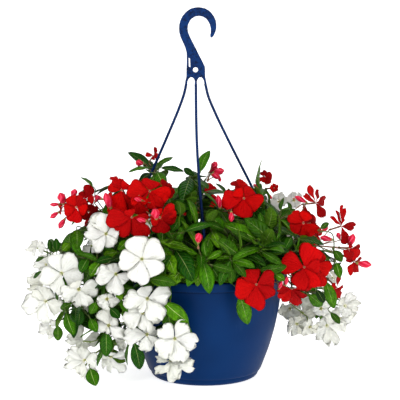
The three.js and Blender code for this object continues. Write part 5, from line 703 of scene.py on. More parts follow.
(2.1, 0, [[580,-220,1528],[636,-241,1844],[903,-162,2136],[983,-62,2451],[1168,-115,2508]]),
(1.2, 1, [[1088,-97,2469],[1035,-195,2594],[866,-473,2715],[893,-528,2676]]),
(1.2, 1, [[994,-257,2631],[906,-51,2816],[874,-67,2933],[877,-5,2976]]),
], [
[885,-511,2688,1030,-793,2484,-36,-66,66,150,26],
[876,-26,2961,900,550,3362,-97,-11,22,240,49],
[1010,-233,2618,641,-114,2913,33,-11,94,217,43],
[807,-194,2039,736,-152,2518,26,11,96,187,46],
[681,-228,1876,615,-16,2252,18,-1,98,194,43],
[955,-78,2384,1102,354,2591,54,-48,69,197,45],
[920,-146,2185,1374,-128,2546,46,-32,83,249,26],
[1029,-203,2592,747,-44,2998,68,-2,73,220,50],
[920,-73,2783,440,158,2812,68,-26,69,206,22],
[986,-268,2636,1125,-592,2429,20,-11,97,176,37],
[611,-241,1771,796,-580,1999,60,-40,69,179,29],
[1064,-139,2518,622,-447,2481,83,15,54,206,46],
[934,-119,2263,980,420,2200,61,14,78,222,33],
[884,-17,2942,363,164,2904,58,15,80,234,47],
[943,-331,2670,628,-547,2311,56,-6,83,205,51],
[953,-82,2372,1426,-106,2675,47,-38,80,226,35],
[600,-234,1683,833,-598,1879,37,-29,88,188,39],
[896,-508,2677,787,-626,3124,41,16,90,182,26],
[869,-170,2112,950,220,2226,8,-40,91,158,28],
[652,-234,1835,588,108,2081,64,-40,65,182,31],
[991,-261,2633,936,-263,3055,50,11,86,187,42],
[759,-213,1983,1013,-589,2102,15,7,99,196,38],
[949,-89,2351,641,128,2692,-1,-52,85,231,33],
[1036,-190,2578,503,-385,2606,35,9,93,229,44],
[919,-72,2788,403,-199,2990,20,-7,98,228,45],
[874,-168,2118,1027,-436,2459,56,-27,79,177,30],
[819,-189,2054,859,191,2162,-3,-41,91,166,17],
[917,-68,2798,936,208,2855,48,-24,85,124,13],
[944,-133,2732,716,-239,2960,39,-24,89,136,23],
[936,-115,2274,786,83,2403,16,-26,95,107,24],
[612,-242,1778,591,17,1976,64,-2,77,134,25],
[873,-169,2116,1212,-260,2113,33,-34,88,160,31],
[900,-42,2871,919,276,2942,44,16,88,130,27],
[921,-145,2189,1037,113,2138,56,-38,74,112,25],
[1126,-106,2488,1322,95,2681,8,8,99,147,19],
[598,-233,1671,800,-32,1738,76,0,66,133,17],
], [

]),
"shoot_right_2": ([
(1.95, 0, [[580,-500,1528],[619,-534,1752],[997,-540,1746],[1197,-491,1812],[1338,-572,1835]]),
(1.05, 1, [[1258,-547,1816],[1719,-629,1700],[1823,-958,1751],[1847,-945,1680]]),
(1.05, 1, [[1404,-559,1776],[1572,-655,1574],[1544,-1016,1526],[1592,-988,1482]]),
(1.05, 1, [[1791,-783,1709],[1976,-871,1901],[1994,-914,2026],[2009,-937,1966]]),
(1.05, 1, [[1972,-883,1900],[1992,-824,2050],[1949,-865,2197],[1985,-872,2145]]),
(1.05, 1, [[1570,-892,1524],[1694,-988,1526],[1663,-1217,1656],[1694,-1197,1600]]),
], [
[1839,-950,1704,1995,-866,1234,14,-98,-13,181,35],
[1578,-996,1495,1819,-854,1278,38,-91,-17,180,25],
[2005,-931,1980,2063,-1019,1748,-11,-94,33,135,18],
[1977,-871,2156,2100,-897,1974,-3,-99,12,135,15],
[1686,-1202,1614,1815,-1122,1381,18,-96,-23,120,19],
[1861,-812,1958,1732,-924,1792,15,-87,48,120,17],
[1602,-1005,2148,1442,-1175,2025,37,-75,55,120,18],
[1956,-449,1099,2118,-401,897,18,-98,-9,105,18],
[1767,-767,2464,1912,-653,2539,40,-80,44,90,14],
[1386,-558,1781,1517,-754,1400,31,-12,94,177,41],
[882,-545,1751,1189,-571,2163,66,-56,50,198,43],
[1776,-739,1717,1899,-826,1339,18,16,97,159,28],
[1571,-584,1733,1515,-1081,1777,20,-8,98,195,38],
[1325,-553,1798,1503,-939,1881,40,-25,88,165,31],
[1944,-643,1278,1933,-280,1449,37,-42,83,169,21],
[1977,-864,1960,1595,-847,2189,64,-6,77,195,35],
[1492,-567,1752,1791,-178,1977,21,-33,92,220,36],
[1496,-601,1668,1551,-967,1484,76,1,66,180,34],
[1415,-560,1773,1792,-439,2079,39,-32,86,216,34],
[1068,-512,1777,1142,-119,1761,65,-45,61,152,20],
[816,-543,1753,1077,-429,2063,66,-17,73,162,42],
[1608,-869,1501,1715,-481,1631,80,-36,49,194,36],
[976,-528,1764,1242,-486,2099,64,-64,42,184,33],
[1222,-536,1808,1420,-192,1920,74,-48,47,167,40],
[1983,-812,2095,1636,-573,2095,55,-22,81,161,28],
[1604,-939,1536,1871,-864,1859,42,-44,79,167,33],
[1303,-561,1826,1523,-457,2184,31,-21,93,176,18],
[1143,-511,1790,1318,-771,2155,85,-27,46,193,43],
[1435,-573,1740,1832,-650,1910,49,-9,87,173,25],
[614,-523,1678,345,-704,1953,44,-74,51,188,35],
[1648,-642,1727,1830,-880,2059,44,-14,89,182,29],
[808,-542,1753,939,-921,1882,43,-65,63,172,26],
[1313,-552,1801,1587,-199,1594,30,-62,73,207,25],
[1160,-517,1793,1436,-147,1520,52,-2,86,245,26],
[1566,-581,1734,1989,-435,1432,46,8,89,229,42],
[1503,-604,1659,1802,-170,1574,72,-4,69,229,42],
[989,-526,1766,1094,-346,2129,23,-48,84,168,38],
[613,-522,1672,1037,-485,1760,57,-76,32,170,37],
[1985,-832,2060,1964,-458,2080,62,-51,60,143,21],
[1832,-830,2131,1597,-525,2294,83,-26,49,171,19],
[1492,-599,1672,1780,-799,1727,12,-20,97,142,19],
[1481,-566,1755,1579,-267,1709,8,-49,87,133,30],
[1945,-641,1277,1956,-308,1242,45,-48,75,141,32],
[1766,-731,1718,1988,-583,1442,42,-7,91,152,34],
[1833,-802,1750,2114,-602,1918,6,6,100,153,23],
[1565,-580,1734,1851,-474,1775,20,21,96,141,27],
[1978,-861,1968,1869,-530,2036,65,-28,71,148,21],
], [
[[1978,-860,1971],[1917,-794,1972],[1874,-800,1976],[1853,-819,1948]],
[[1986,-834,2092],[1781,-841,2143],[1633,-973,2172],[1593,-1015,2141]],
[[1570,-892,1524],[1966,-619,1256],[1925,-458,1137],[1966,-446,1087]],
[[1984,-838,2042],[1955,-691,2380],[1730,-796,2445],[1775,-760,2469]],
]),
"shoot_front_6": ([
(2.1, 0, [[320,-720,1528],[344,-708,1661],[578,-803,2094],[859,-964,2144],[642,-760,1728],[787,-776,1731]]),
(1.2, 1, [[817,-910,2006],[985,-902,2069],[1160,-1192,2226],[1103,-1174,2272]]),
(1.2, 1, [[1110,-1136,2226],[933,-1057,2311],[832,-1141,2338],[770,-1106,2361]]),
(1.2, 1, [[775,-1104,2359],[595,-1161,2250],[567,-1406,2143],[509,-1391,2186]]),
(1.2, 1, [[569,-1236,2214],[682,-1273,2039],[750,-1434,1943],[823,-1416,1950]]),
(1.2, 1, [[904,-1066,2320],[945,-852,2444],[1076,-863,2528],[1026,-821,2565]]),
], [
[1122,-1180,2256,595,-1018,2675,-11,-97,23,270,48],
[791,-1117,2353,264,-813,2549,-18,-73,66,230,45],
[528,-1396,2172,213,-1318,2403,-8,-97,22,225,28],
[798,-1422,1948,1239,-1318,1990,21,-95,21,165,32],
[1043,-835,2553,758,-596,2763,-38,-82,43,180,30],
[860,-1321,2266,405,-1558,2125,-1,-50,87,191,37],
[844,-1352,2225,1157,-1448,2044,-15,-96,25,135,26],
[539,-842,2430,352,-1095,2257,39,-70,60,180,25],
[293,-940,2477,110,-863,2650,-14,-95,28,180,18],
[406,-1484,2097,615,-1552,1866,-6,-97,23,135,22],
[1330,-938,2384,1198,-1189,2212,30,-64,71,150,23],
[1086,-927,2444,957,-1156,2268,29,-68,67,150,22],
[1453,-916,2319,1633,-998,2178,-20,-94,29,150,17],
[619,-1385,2063,738,-1447,1861,-7,-96,26,135,17],
[955,-1220,2156,860,-1379,1971,16,-79,60,135,18],
[349,-1325,2052,258,-1435,1859,11,-88,45,135,17],
[1397,-1145,2204,1565,-1109,2275,10,-96,24,120,13],
[1056,-1370,1877,1206,-1401,1791,-8,-97,21,120,12],
[1172,-658,2726,1211,-428,2910,-66,-39,64,107,21],
[1331,-535,2707,1290,-403,2828,19,-63,75,66,13],
[441,-753,1834,918,-899,1850,13,-78,61,193,44],
[738,-885,2038,1179,-717,2086,12,-37,92,205,39],
[512,-772,2011,746,-1104,2159,-2,-41,91,198,27],
[628,-830,2034,1064,-724,1803,11,-28,96,208,29],
[1047,-788,2566,1042,-295,2746,21,-49,84,220,45],
[503,-770,1990,526,-293,2147,41,-70,58,207,46],
[1156,-1060,2204,1051,-591,2482,24,-36,90,252,52],
[869,-1229,2285,818,-1494,2588,41,-37,83,185,27],
[440,-753,1830,469,-1102,2042,-6,-43,90,164,30],
[450,-1002,2286,584,-604,2378,20,-49,85,184,21],
[704,-868,2037,1066,-752,2411,-10,-18,98,244,47],
[540,-843,2428,693,-1153,2160,46,-30,84,172,19],
[1373,-1151,2193,1360,-742,2270,81,-42,42,189,18],
[479,-764,1930,27,-766,2237,-8,-40,91,218,35],
[795,-1314,2220,1280,-1247,2207,58,-30,76,223,26],
[833,-819,2407,845,-367,2702,35,-26,90,225,43],
[301,-942,2466,21,-1204,2617,40,-61,69,169,17],
[941,-856,2440,1012,-1184,2874,43,-19,88,244,34],
[415,-1273,2103,178,-939,2044,47,-5,88,178,34],
[757,-895,2039,896,-1327,1681,-12,-52,84,239,34],
[511,-1277,2170,607,-1002,1784,28,-24,93,208,28],
[943,-916,2057,1150,-410,2234,-2,-28,96,243,46],
[1276,-936,2263,1576,-780,1881,68,-46,56,221,23],
[1018,-934,2090,1440,-1058,1759,46,-52,72,237,41],
[539,-1315,2200,915,-1552,2028,19,-51,84,186,44],
[664,-1166,2280,863,-1406,1893,40,-34,85,201,26],
[800,-916,2040,937,-1016,1614,-12,-30,95,202,18],
[912,-1019,2347,1288,-825,2015,15,-44,89,220,49],
[762,-752,2415,641,-453,2782,22,-33,92,209,22],
[874,-1319,2269,804,-1786,2403,49,-5,87,201,38],
[780,-1267,2146,1181,-1252,2188,43,-46,77,178,21],
[816,-907,2000,878,-472,2030,32,-16,93,186,21],
[1160,-626,2591,1414,-485,2295,30,-53,79,162,38],
[565,-1143,2253,600,-690,2152,9,-76,64,180,33],
[839,-1352,2231,1202,-1466,2365,8,-25,96,179,33],
[929,-918,2404,1448,-766,2374,-5,-23,97,209,31],
[1438,-911,2325,1579,-610,1923,-15,0,99,229,44],
[377,-736,1672,817,-764,1727,35,-73,59,193,24],
[696,-740,2428,464,-359,2574,26,-20,94,204,41],
[979,-841,2495,1406,-983,2373,5,-24,97,188,44],
[800,-834,1850,894,-1129,1421,31,-40,86,212,28],
[395,-955,2326,347,-472,2126,34,-66,67,215,52],
[712,-1261,2100,958,-1401,1722,13,-53,84,206,23],
[727,-1131,2325,737,-1546,2373,46,-49,74,163,40],
[827,-1132,2307,468,-1460,2064,23,-15,96,234,31],
[354,-1317,2067,25,-1170,1773,29,-25,93,185,26],
[357,-949,2386,-26,-540,2420,46,-50,74,258,56],
[868,-912,2027,1145,-637,1830,22,-24,95,195,28],
[645,-838,2035,940,-791,2404,21,-26,94,212,25],
[559,-794,2032,940,-652,2215,16,-29,94,200,24],
[1065,-1116,2248,702,-1173,1923,75,-48,45,193,41],
[520,-1363,2191,476,-1552,2655,61,-18,78,210,28],
[596,-1204,2231,193,-1325,2272,15,-6,99,186,38],
[600,-1251,2166,952,-986,2092,37,-62,69,180,20],
[1367,-902,2321,1511,-498,2255,6,-46,89,174,43],
[560,-1260,2210,116,-1290,1997,2,-43,90,218,31],
[1210,-571,2613,1185,-274,2243,32,-23,92,206,43],
[1227,-982,2238,1340,-492,2077,39,-42,82,242,42],
[884,-1072,2326,576,-760,2577,56,-47,69,203,30],
[657,-1277,2077,397,-1321,1738,0,-2,100,165,20],
[809,-921,2040,1057,-1037,1698,-18,-39,90,200,30],
[1015,-826,2548,1307,-597,2398,10,-45,89,180,23],
[698,-1264,2096,864,-882,2313,16,-51,85,180,37],
[726,-1131,2324,412,-1321,2523,43,-53,73,168,28],
[511,-772,2010,191,-907,2278,33,-39,86,191,33],
[498,-1273,2158,414,-1489,1770,48,-41,78,187,45],
[811,-884,1952,1153,-740,1794,22,-30,93,179,30],
[928,-928,2398,539,-639,2163,36,-61,71,207,41],
[390,-1482,2112,218,-1577,1739,19,-34,92,165,20],
[556,-793,2032,703,-1060,1728,38,-21,90,177,25],
[660,-845,2035,1053,-668,2035,6,-29,96,191,33],
[872,-913,2029,1235,-649,1917,36,-52,77,208,39],
[875,-1238,2284,1011,-1508,2593,49,-6,87,179,29],
[355,-950,2391,21,-585,2578,41,-38,83,211,36],
[598,-1250,2169,660,-914,1911,21,-35,91,188,27],
[407,-744,1747,809,-729,1776,12,-56,82,177,37],
[399,-1425,2132,54,-1613,2492,25,-5,97,210,50],
[1445,-914,2321,1663,-569,2288,23,-12,97,161,39],
[1215,-564,2616,1492,-300,2454,-2,-26,97,171,40],
[754,-893,2038,1078,-703,2226,12,-45,88,184,32],
[845,-1353,2227,1162,-1802,2304,25,-49,83,245,46],
[941,-1317,1900,1165,-962,1823,0,-41,91,195,30],
[537,-1319,2199,890,-1583,2102,14,-27,95,189,34],
[604,-1199,2237,277,-1242,2575,59,-23,77,183,42],
[461,-1015,2282,687,-671,2408,17,-63,75,177,39],
[1364,-902,2319,1804,-1146,2297,46,-44,77,215,36],
[1050,-1109,2255,1122,-1058,2748,78,-15,61,193,49],
[391,-952,2329,485,-564,2205,49,-45,75,185,27],
[948,-916,2059,1171,-1188,1966,-18,-53,83,161,28],
[377,-736,1671,547,-433,1845,56,-57,61,177,26],
[1127,-718,2638,913,-453,2844,61,-33,72,177,30],
[1152,-1064,2202,1050,-837,2332,45,-50,74,127,17],
[396,-1483,2106,747,-1660,2038,-8,-62,78,181,32],
[504,-1275,2163,640,-1397,1904,46,-62,64,136,27],
[504,-770,1993,634,-481,2169,11,-66,75,143,32],
[478,-763,1926,453,-525,2092,17,-10,98,132,23],
[776,-1263,2137,1028,-1058,2338,43,-63,65,149,28],
[1363,-1153,2189,1413,-1388,2431,53,-70,48,150,14],
[769,-758,2414,495,-869,2482,50,-43,75,127,28],
[567,-1145,2252,376,-1222,2458,22,-60,77,127,20],
[565,-1246,2212,695,-1346,1979,31,-41,86,124,19],
[881,-875,2403,843,-749,2713,11,-19,98,142,32],
[547,-789,2032,843,-624,1975,47,-43,77,142,22],
[356,-1314,2073,78,-1100,1999,19,-53,83,144,23],
[880,-1247,2284,1230,-1221,2262,36,-41,84,149,23],
[888,-1071,2325,691,-871,2377,37,-40,84,118,22],
[391,-1440,2131,399,-1519,1749,24,-61,75,152,24],
[611,-774,2448,584,-1111,2301,55,9,83,165,24],
[449,-1364,2128,43,-1309,2118,48,-40,78,180,29],
[800,-916,2040,875,-1234,1794,-7,-17,98,163,28],
], [
[[839,-1085,2340],[826,-1155,2295],[903,-1299,2279],[839,-1332,2259]],
[[652,-1275,2085],[776,-1256,2126],[803,-1339,2250],[863,-1358,2215]],
[[928,-928,2398],[723,-730,2421],[565,-807,2454],[528,-858,2420]],
[[609,-1197,2240],[395,-949,2319],[327,-955,2444],[282,-936,2488]],
[[550,-1286,2205],[461,-1351,2127],[374,-1473,2133],[419,-1488,2083]],
[[1116,-1102,2185],[1234,-945,2310],[1350,-900,2410],[1322,-953,2374]],
[[967,-845,2478],[1044,-845,2467],[1098,-906,2461],[1078,-941,2434]],
[[1116,-1102,2185],[1302,-919,2277],[1416,-899,2348],[1464,-921,2310]],
[[652,-1275,2085],[642,-1307,2056],[607,-1379,2083],[626,-1389,2051]],
[[1040,-1105,2259],[977,-1112,2202],[968,-1199,2181],[949,-1230,2145]],
[[550,-1286,2205],[429,-1265,2103],[368,-1302,2093],[343,-1331,2041]],
[[1116,-1102,2185],[1271,-1069,2208],[1351,-1154,2185],[1407,-1142,2208]],
[[777,-1373,1975],[958,-1313,1893],[1014,-1361,1901],[1065,-1371,1872]],
[[995,-834,2520],[1161,-692,2676],[1165,-697,2696],[1174,-645,2737]],
[[995,-834,2520],[1276,-520,2643],[1343,-571,2674],[1329,-527,2714]],
]),
"shoot_right_3": ([
(2.1, 0, [[820,-140,1528],[891,-152,1813],[1307,-136,1901],[1517,-73,2057],[1705,-132,2091]]),
], [
[1474,-79,2032,1993,2,1869,62,21,76,234,37],
[845,-147,1681,832,-457,1983,78,-7,63,191,33],
[956,-151,1812,1231,-506,1889,-1,-27,96,181,34],
[1299,-137,1897,1453,-69,2345,65,4,76,190,35],
[1514,-84,2046,1541,-491,2170,77,-3,64,174,39],
[871,-151,1770,1008,-378,2189,56,-1,83,222,39],
[1660,-121,2080,1975,228,1783,35,19,92,225,43],
[847,-148,1689,1282,4,1882,61,14,78,216,45],
[1099,-149,1869,1222,203,2047,75,12,65,187,40],
[1425,-95,1993,1848,-22,1687,30,-51,80,227,35],
[1181,-144,1881,1325,-368,2205,-3,-13,99,168,30],
[1016,-151,1842,1054,187,2075,54,19,82,160,33],
[1272,-138,1894,1379,-596,2190,10,-32,94,237,46],
[1357,-118,1942,1560,356,2030,30,40,87,208,43],
[1598,-105,2066,1720,-427,2295,31,-1,95,182,19],
[935,-151,1802,842,229,2154,48,-30,83,238,29],
[1580,-100,2061,1736,-541,2175,21,22,96,209,23],
[1440,-90,2005,1516,268,2205,61,27,75,168,36],
[1196,-143,1883,1284,-528,2090,20,-28,94,182,35],
[858,-151,1758,659,62,2154,82,-18,55,209,42],
[1508,-82,2044,1739,286,2209,49,2,87,188,31],
[1275,-138,1894,1627,-260,1580,43,-4,90,196,47],
[1431,-93,1999,1618,-337,1939,11,-36,93,133,15],
[866,-151,1768,827,135,2042,56,-3,83,174,29],
[845,-147,1682,747,25,1891,94,-13,30,116,26],
[1020,-151,1844,1168,-397,2031,52,-31,80,146,30],
[942,-151,1805,1020,-125,2125,21,-33,92,144,14],
[1196,-143,1883,1376,75,2083,33,17,93,159,21],
[1584,-101,2062,1664,-218,2321,36,3,93,131,23],
], [

]),
"shoot_right_4": ([
(2.1, 0, [[440,220,1528],[482,241,1845],[693,373,2153],[716,509,2461],[900,498,2539]]),
(1.6, 0, [[700,468,2360],[696,486,2455],[684,480,2570],[667,513,2639],[672,490,2704]]),
], [
[699,487,2402,418,403,2784,28,45,85,184,46],
[455,227,1684,526,-142,2035,47,21,86,199,49],
[845,497,2506,1267,581,2383,-7,50,86,203,24],
[456,227,1693,866,261,1947,43,18,89,201,47],
[513,257,1868,877,414,2011,63,-4,78,184,36],
[701,388,2187,816,184,2683,22,22,95,238,39],
[464,230,1778,586,597,1924,30,-3,95,186,27],
[860,497,2515,898,765,2963,-22,16,96,219,38],
[678,491,2599,704,958,2897,45,40,80,224,30],
[546,275,1928,321,338,2280,45,7,89,163,21],
[723,495,2432,986,989,2329,46,46,77,238,51],
[622,326,2058,1043,294,2048,-2,11,99,186,42],
[669,363,2135,431,375,2519,39,0,92,176,26],
[454,226,1670,77,307,2031,68,11,73,208,48],
[700,434,2286,1055,245,2669,44,29,85,240,28],
[498,249,1842,828,604,2005,54,53,65,235,32],
[579,294,1988,420,132,2483,27,55,79,247,27],
[700,471,2366,378,369,2770,41,27,87,215,36],
[673,491,2675,287,390,2829,51,17,85,169,36],
[581,295,1991,1048,288,2028,32,2,95,182,21],
[630,333,2072,243,529,2332,4,17,98,222,42],
[674,491,2665,734,129,2898,31,38,87,169,19],
[700,441,2302,455,807,2130,10,32,94,182,30],
[537,270,1912,278,23,2266,12,49,86,214,27],
[722,495,2431,1235,627,2284,-20,7,98,223,39],
[690,487,2504,355,653,2749,25,44,86,198,28],
[454,226,1674,523,731,1866,43,17,89,241,49],
[673,367,2142,511,310,2632,48,-8,87,236,41],
[463,230,1773,259,109,2100,13,-9,99,179,37],
[701,400,2212,1002,471,2256,67,-3,74,130,18],
[813,496,2486,1169,612,2325,6,39,92,159,34],
[689,487,2517,927,430,2752,61,20,77,134,15],
[453,226,1667,484,-95,1804,85,23,47,138,28],
[678,491,2599,669,245,2772,20,-4,98,133,30],
[626,330,2065,550,146,2400,58,-14,80,165,19],
], [

]),
"shoot_right_5": ([
(2.1, 0, [[860,200,1528],[928,184,1837],[880,500,2014],[1289,616,1895],[1299,793,1181],[1413,815,1014]]),
(1.6, 0, [[1302,723,1495],[1398,744,1316],[1599,731,1270],[1731,795,1081],[1842,737,1007]]),
], [
[1341,774,1247,1769,642,1167,37,12,92,176,41],
[1086,581,1958,1453,271,1683,21,52,83,241,44],
[995,521,1998,823,811,2401,47,16,87,236,27],
[953,384,1951,914,651,2343,51,7,86,189,38],
[1318,666,1727,1204,1028,1525,43,15,89,183,31],
[1306,711,1545,1117,1175,1339,14,27,95,237,46],
[1621,747,1230,2037,525,1140,52,5,85,205,37],
[1682,779,1147,1820,1234,1219,20,-12,97,220,39],
[1377,740,1353,1918,774,1548,50,72,48,240,57],
[1376,795,1132,1798,783,1075,80,34,50,187,34],
[976,459,1977,620,662,2079,34,-29,89,173,32],
[1458,739,1305,1641,1138,1274,63,74,23,173,32],
[1552,732,1284,1828,1016,1352,-3,-10,99,184,36],
[1252,628,1848,1748,548,1952,62,14,77,227,22],
[1753,769,1079,1859,1078,817,52,67,53,188,35],
[1319,646,1804,1765,411,1901,47,8,88,202,42],
[1170,605,1903,1591,957,1978,32,23,92,250,43],
[1814,747,1029,1965,946,572,31,23,92,203,31],
[1349,779,1219,1771,1013,1014,57,21,80,235,43],
[1330,768,1281,968,1091,1102,20,45,87,210,31],
[1389,802,1090,1790,502,841,95,12,28,233,28],
[1097,584,1951,1301,1054,2040,41,53,74,216,24],
[891,232,1757,606,-93,2103,55,-24,80,211,30],
[1311,689,1633,986,965,1637,39,32,87,166,39],
[931,316,1928,1445,279,2019,4,-4,100,201,26],
[1045,570,1986,1409,664,2213,15,21,97,177,27],
[878,219,1663,789,591,1856,85,-8,52,194,18],
[889,230,1743,886,704,1870,93,13,35,195,23],
[1047,570,1985,1502,413,2004,36,27,89,192,38],
[1234,623,1860,1361,1158,1835,1,32,95,229,41],
[936,332,1933,1306,406,2154,46,13,88,170,19],
[1753,769,1079,1802,346,825,2,52,85,227,45],
[1468,739,1303,1609,285,1324,5,52,85,208,34],
[1616,745,1238,2156,673,1176,20,5,98,229,40],
[1318,666,1727,1238,1046,1578,45,-17,88,168,33],
[1381,797,1117,1458,1312,1059,93,19,32,229,49],
[1299,735,1447,996,1013,1266,50,6,86,193,36],
[1317,646,1805,1270,340,1507,65,4,76,189,29],
[1326,766,1294,1477,401,928,50,13,86,219,52],
[1673,775,1159,2178,534,1089,16,-5,99,256,30],
[901,242,1826,916,489,1993,88,-18,45,132,16],
[1307,643,1811,1392,362,1612,27,14,95,158,19],
[1550,733,1285,1807,406,1422,-6,43,90,201,32],
[1819,745,1025,2002,499,1056,60,64,49,132,23],
[1311,689,1631,1317,959,1506,44,3,90,119,29],
[911,253,1902,1245,116,1938,58,-2,82,162,19],
[955,392,1954,1225,378,1882,42,-28,86,123,25],
], [

]),
"shoot_top_1": ([
(2.1, 0, [[20,-100,1528],[22,-110,1868],[23,49,2459],[-81,68,2918],[25,172,3052]]),
(1.2, 1, [[-46,93,2915],[-127,78,3082],[-220,-146,3196],[-233,-212,3163]]),
(1.2, 1, [[-189,-73,3144],[-131,-68,3194],[-83,-130,3220],[-65,-94,3259]]),
(1.2, 1, [[-168,-7,3135],[-161,23,3156],[-145,22,3171],[-162,43,3181]]),
], [
[-229,-190,3174,-348,-799,2872,-10,-43,90,240,48],
[-73,-110,3242,77,200,3566,-25,-64,73,170,33],
[-151,30,3175,-326,240,3274,-54,-68,49,105,20],
[12,39,2464,-343,19,2668,27,13,95,180,38],
[24,-98,1886,-305,-53,2077,-24,-37,90,165,26],
[30,-2,2260,-19,-263,2694,22,-7,97,218,36],
[23,-108,1837,-45,203,2051,11,-5,99,171,31],
[-68,56,2808,-457,-322,2919,15,-7,99,227,45],
[-56,82,2896,390,-48,2902,13,-12,98,192,43],
[-77,74,2973,-279,410,3119,-19,-8,98,171,39],
[0,144,3004,-304,439,3102,-39,-21,89,188,36],
[0,52,2552,-501,69,2693,16,32,93,236,48],
[21,-109,1683,447,-208,1975,-28,-27,92,203,29],
[-116,49,3049,-419,-293,3013,13,-4,99,210,26],
[11,41,2472,253,-381,2758,27,-1,96,222,37],
[23,-105,1852,515,-287,2070,20,-26,95,226,38],
[25,-88,1940,223,337,2165,26,-3,97,217,30],
[27,-68,2042,516,-181,2143,23,-32,92,235,27],
[-24,57,2655,-487,-83,2756,2,31,95,212,43],
[29,-19,2206,368,142,2503,-9,-31,95,198,34],
[21,-113,1755,85,288,1987,16,-26,95,193,33],
[31,10,2298,-122,538,2196,-5,17,98,233,46],
[25,26,2372,-333,361,2362,-7,28,96,193,26],
[28,-49,2112,276,234,2353,28,1,96,176,38],
[-224,-184,3159,-182,-402,2799,-10,13,99,168,29],
[-44,57,2726,-403,386,2985,-5,23,97,247,51],
[27,-68,2041,-359,41,2118,19,-38,90,186,33],
[-126,43,3069,-300,429,3244,9,13,99,204,45],
[21,-109,1688,-483,57,1803,4,-66,75,217,45],
[-189,-74,3144,52,-463,3059,-1,26,97,194,21],
[23,27,2382,11,544,2583,-2,-22,98,224,36],
[28,-46,2120,-265,-149,2556,-19,-13,97,235,51],
[-19,58,2639,55,-346,2884,12,-27,96,182,38],
[-69,56,2814,-145,498,3123,12,8,99,242,26],
[-1,54,2559,-10,555,2818,4,-20,98,226,39],
[22,-114,1779,410,-43,2046,36,-27,89,188,31],
[21,-108,1664,289,-100,1864,6,-14,99,130,20],
[31,11,2300,318,139,2522,12,-5,99,148,31],
[-45,57,2728,-327,-196,2789,27,7,96,156,30],
[-69,56,2813,-401,-189,2956,29,23,93,176,30],
[-25,57,2659,116,197,2903,-20,-21,96,138,21],
[-56,82,2897,63,-56,3224,-33,-7,94,163,26],
[-72,76,2965,-475,-56,2970,39,29,88,165,25],
[-192,-83,3145,41,-335,3223,14,24,96,159,23],
[25,26,2373,0,327,2423,-18,-24,96,126,21],
[-1,53,2559,-176,274,2645,19,8,98,132,12],
], [

]),
"shoot_front_7": ([
(2.1, 0, [[100,-840,1528],[114,-871,1754],[41,-1159,2064],[-68,-1209,2158],[-91,-1350,2257]]),
(1.2, 1, [[-88,-1338,2249],[-59,-1361,2165],[-35,-1427,2124],[-23,-1458,2068]]),
(1.2, 1, [[84,-1040,1945],[318,-1131,1765],[516,-1446,1634],[535,-1444,1561]]),
(1.2, 1, [[-24,-1455,2071],[52,-1445,2033],[81,-1479,2042],[127,-1492,2032]]),
(1.2, 1, [[90,-1469,2032],[108,-1413,2004],[99,-1390,2001],[116,-1408,1977]]),
(1.2, 1, [[-17,-1172,2105],[-27,-1131,2099],[-21,-1124,2084],[-38,-1113,2105]]),
], [
[-28,-1446,2090,69,-1691,1642,-6,-88,47,225,36],
[529,-1445,1585,651,-1436,1107,3,-100,-1,225,35],
[107,-1487,2036,435,-1580,1962,-22,-95,23,135,24],
[107,-1399,1990,256,-1545,1788,-21,-86,47,165,20],
[-27,-1120,2092,-195,-999,2317,-15,-91,38,120,21],
[-223,-1370,2061,-313,-1502,1841,12,-87,48,135,19],
[32,-1419,2115,288,-1338,2238,10,-91,40,106,21],
[17,-1429,2148,-13,-1330,2374,-3,-92,40,105,17],
[-73,-1280,2090,-269,-1266,2134,-3,-98,19,75,14],
[-72,-1272,2199,-355,-1352,2415,-25,-15,96,159,26],
[114,-859,1721,-217,-919,1987,-33,-90,27,166,36],
[-83,-1319,2234,-353,-1132,2665,9,0,100,217,37],
[111,-890,1767,509,-1132,1806,-8,-54,84,214,19],
[138,-1058,1903,446,-1413,1920,-8,-80,60,195,21],
[-113,-1340,2088,-109,-1361,1680,28,-69,67,180,22],
[111,-854,1670,116,-499,2034,27,-51,81,206,46],
[480,-1365,1635,1031,-1249,1673,14,-36,92,216,38],
[66,-1110,2011,105,-975,2455,37,-21,90,202,20],
[204,-1080,1852,582,-1184,1973,5,-60,80,185,24],
[105,-932,1824,368,-1260,1735,-31,-24,92,186,36],
[-213,-1355,2085,-577,-1417,1699,31,-74,59,223,42],
[517,-1419,1585,888,-1241,1507,23,-42,88,182,18],
[2,-1160,2084,-328,-1306,1902,39,-30,87,164,38],
[440,-1308,1688,800,-1179,1443,-11,-59,80,207,24],
[523,-1427,1578,926,-1392,1500,42,-52,74,171,40],
[96,-988,1896,-41,-835,2340,16,-74,65,195,33],
[-94,-1351,2105,-263,-1607,1737,-1,-86,51,193,32],
[106,-928,1819,40,-804,2211,-5,-93,36,167,17],
[111,-885,1759,102,-636,2117,-22,-78,58,176,22],
[346,-1187,1752,735,-1198,1618,5,-49,87,165,40],
[288,-1112,1788,677,-1184,1853,31,-47,83,170,19],
[-66,-1247,2180,-63,-1641,2039,-9,-75,66,164,28],
[111,-888,1764,173,-782,2101,3,-72,69,140,27],
[-97,-1349,2101,-38,-1434,1776,7,-70,71,132,20],
[-66,-1249,2182,-290,-1190,2344,4,-77,64,123,19],
[111,-855,1678,399,-904,1883,7,-73,68,159,22],
[14,-1151,2072,-330,-1264,1880,13,-28,95,158,27],
[127,-1054,1912,397,-971,1931,-37,-61,70,109,13],
], [
[[-51,-1381,2151],[-139,-1330,2071],[-211,-1351,2092],[-229,-1378,2047]],
[[-38,-1418,2111],[3,-1405,2104],[20,-1423,2110],[47,-1414,2123]],
[[-38,-1418,2111],[-6,-1411,2122],[19,-1435,2136],[15,-1423,2161]],
[[-51,-1381,2151],[-58,-1298,2099],[-50,-1282,2085],[-85,-1279,2093]],
]),
"shoot_back_1": ([
(2.1, 0, [[340,580,1528],[361,616,1732],[490,851,1839],[547,944,1976],[613,1072,2013]]),
], [
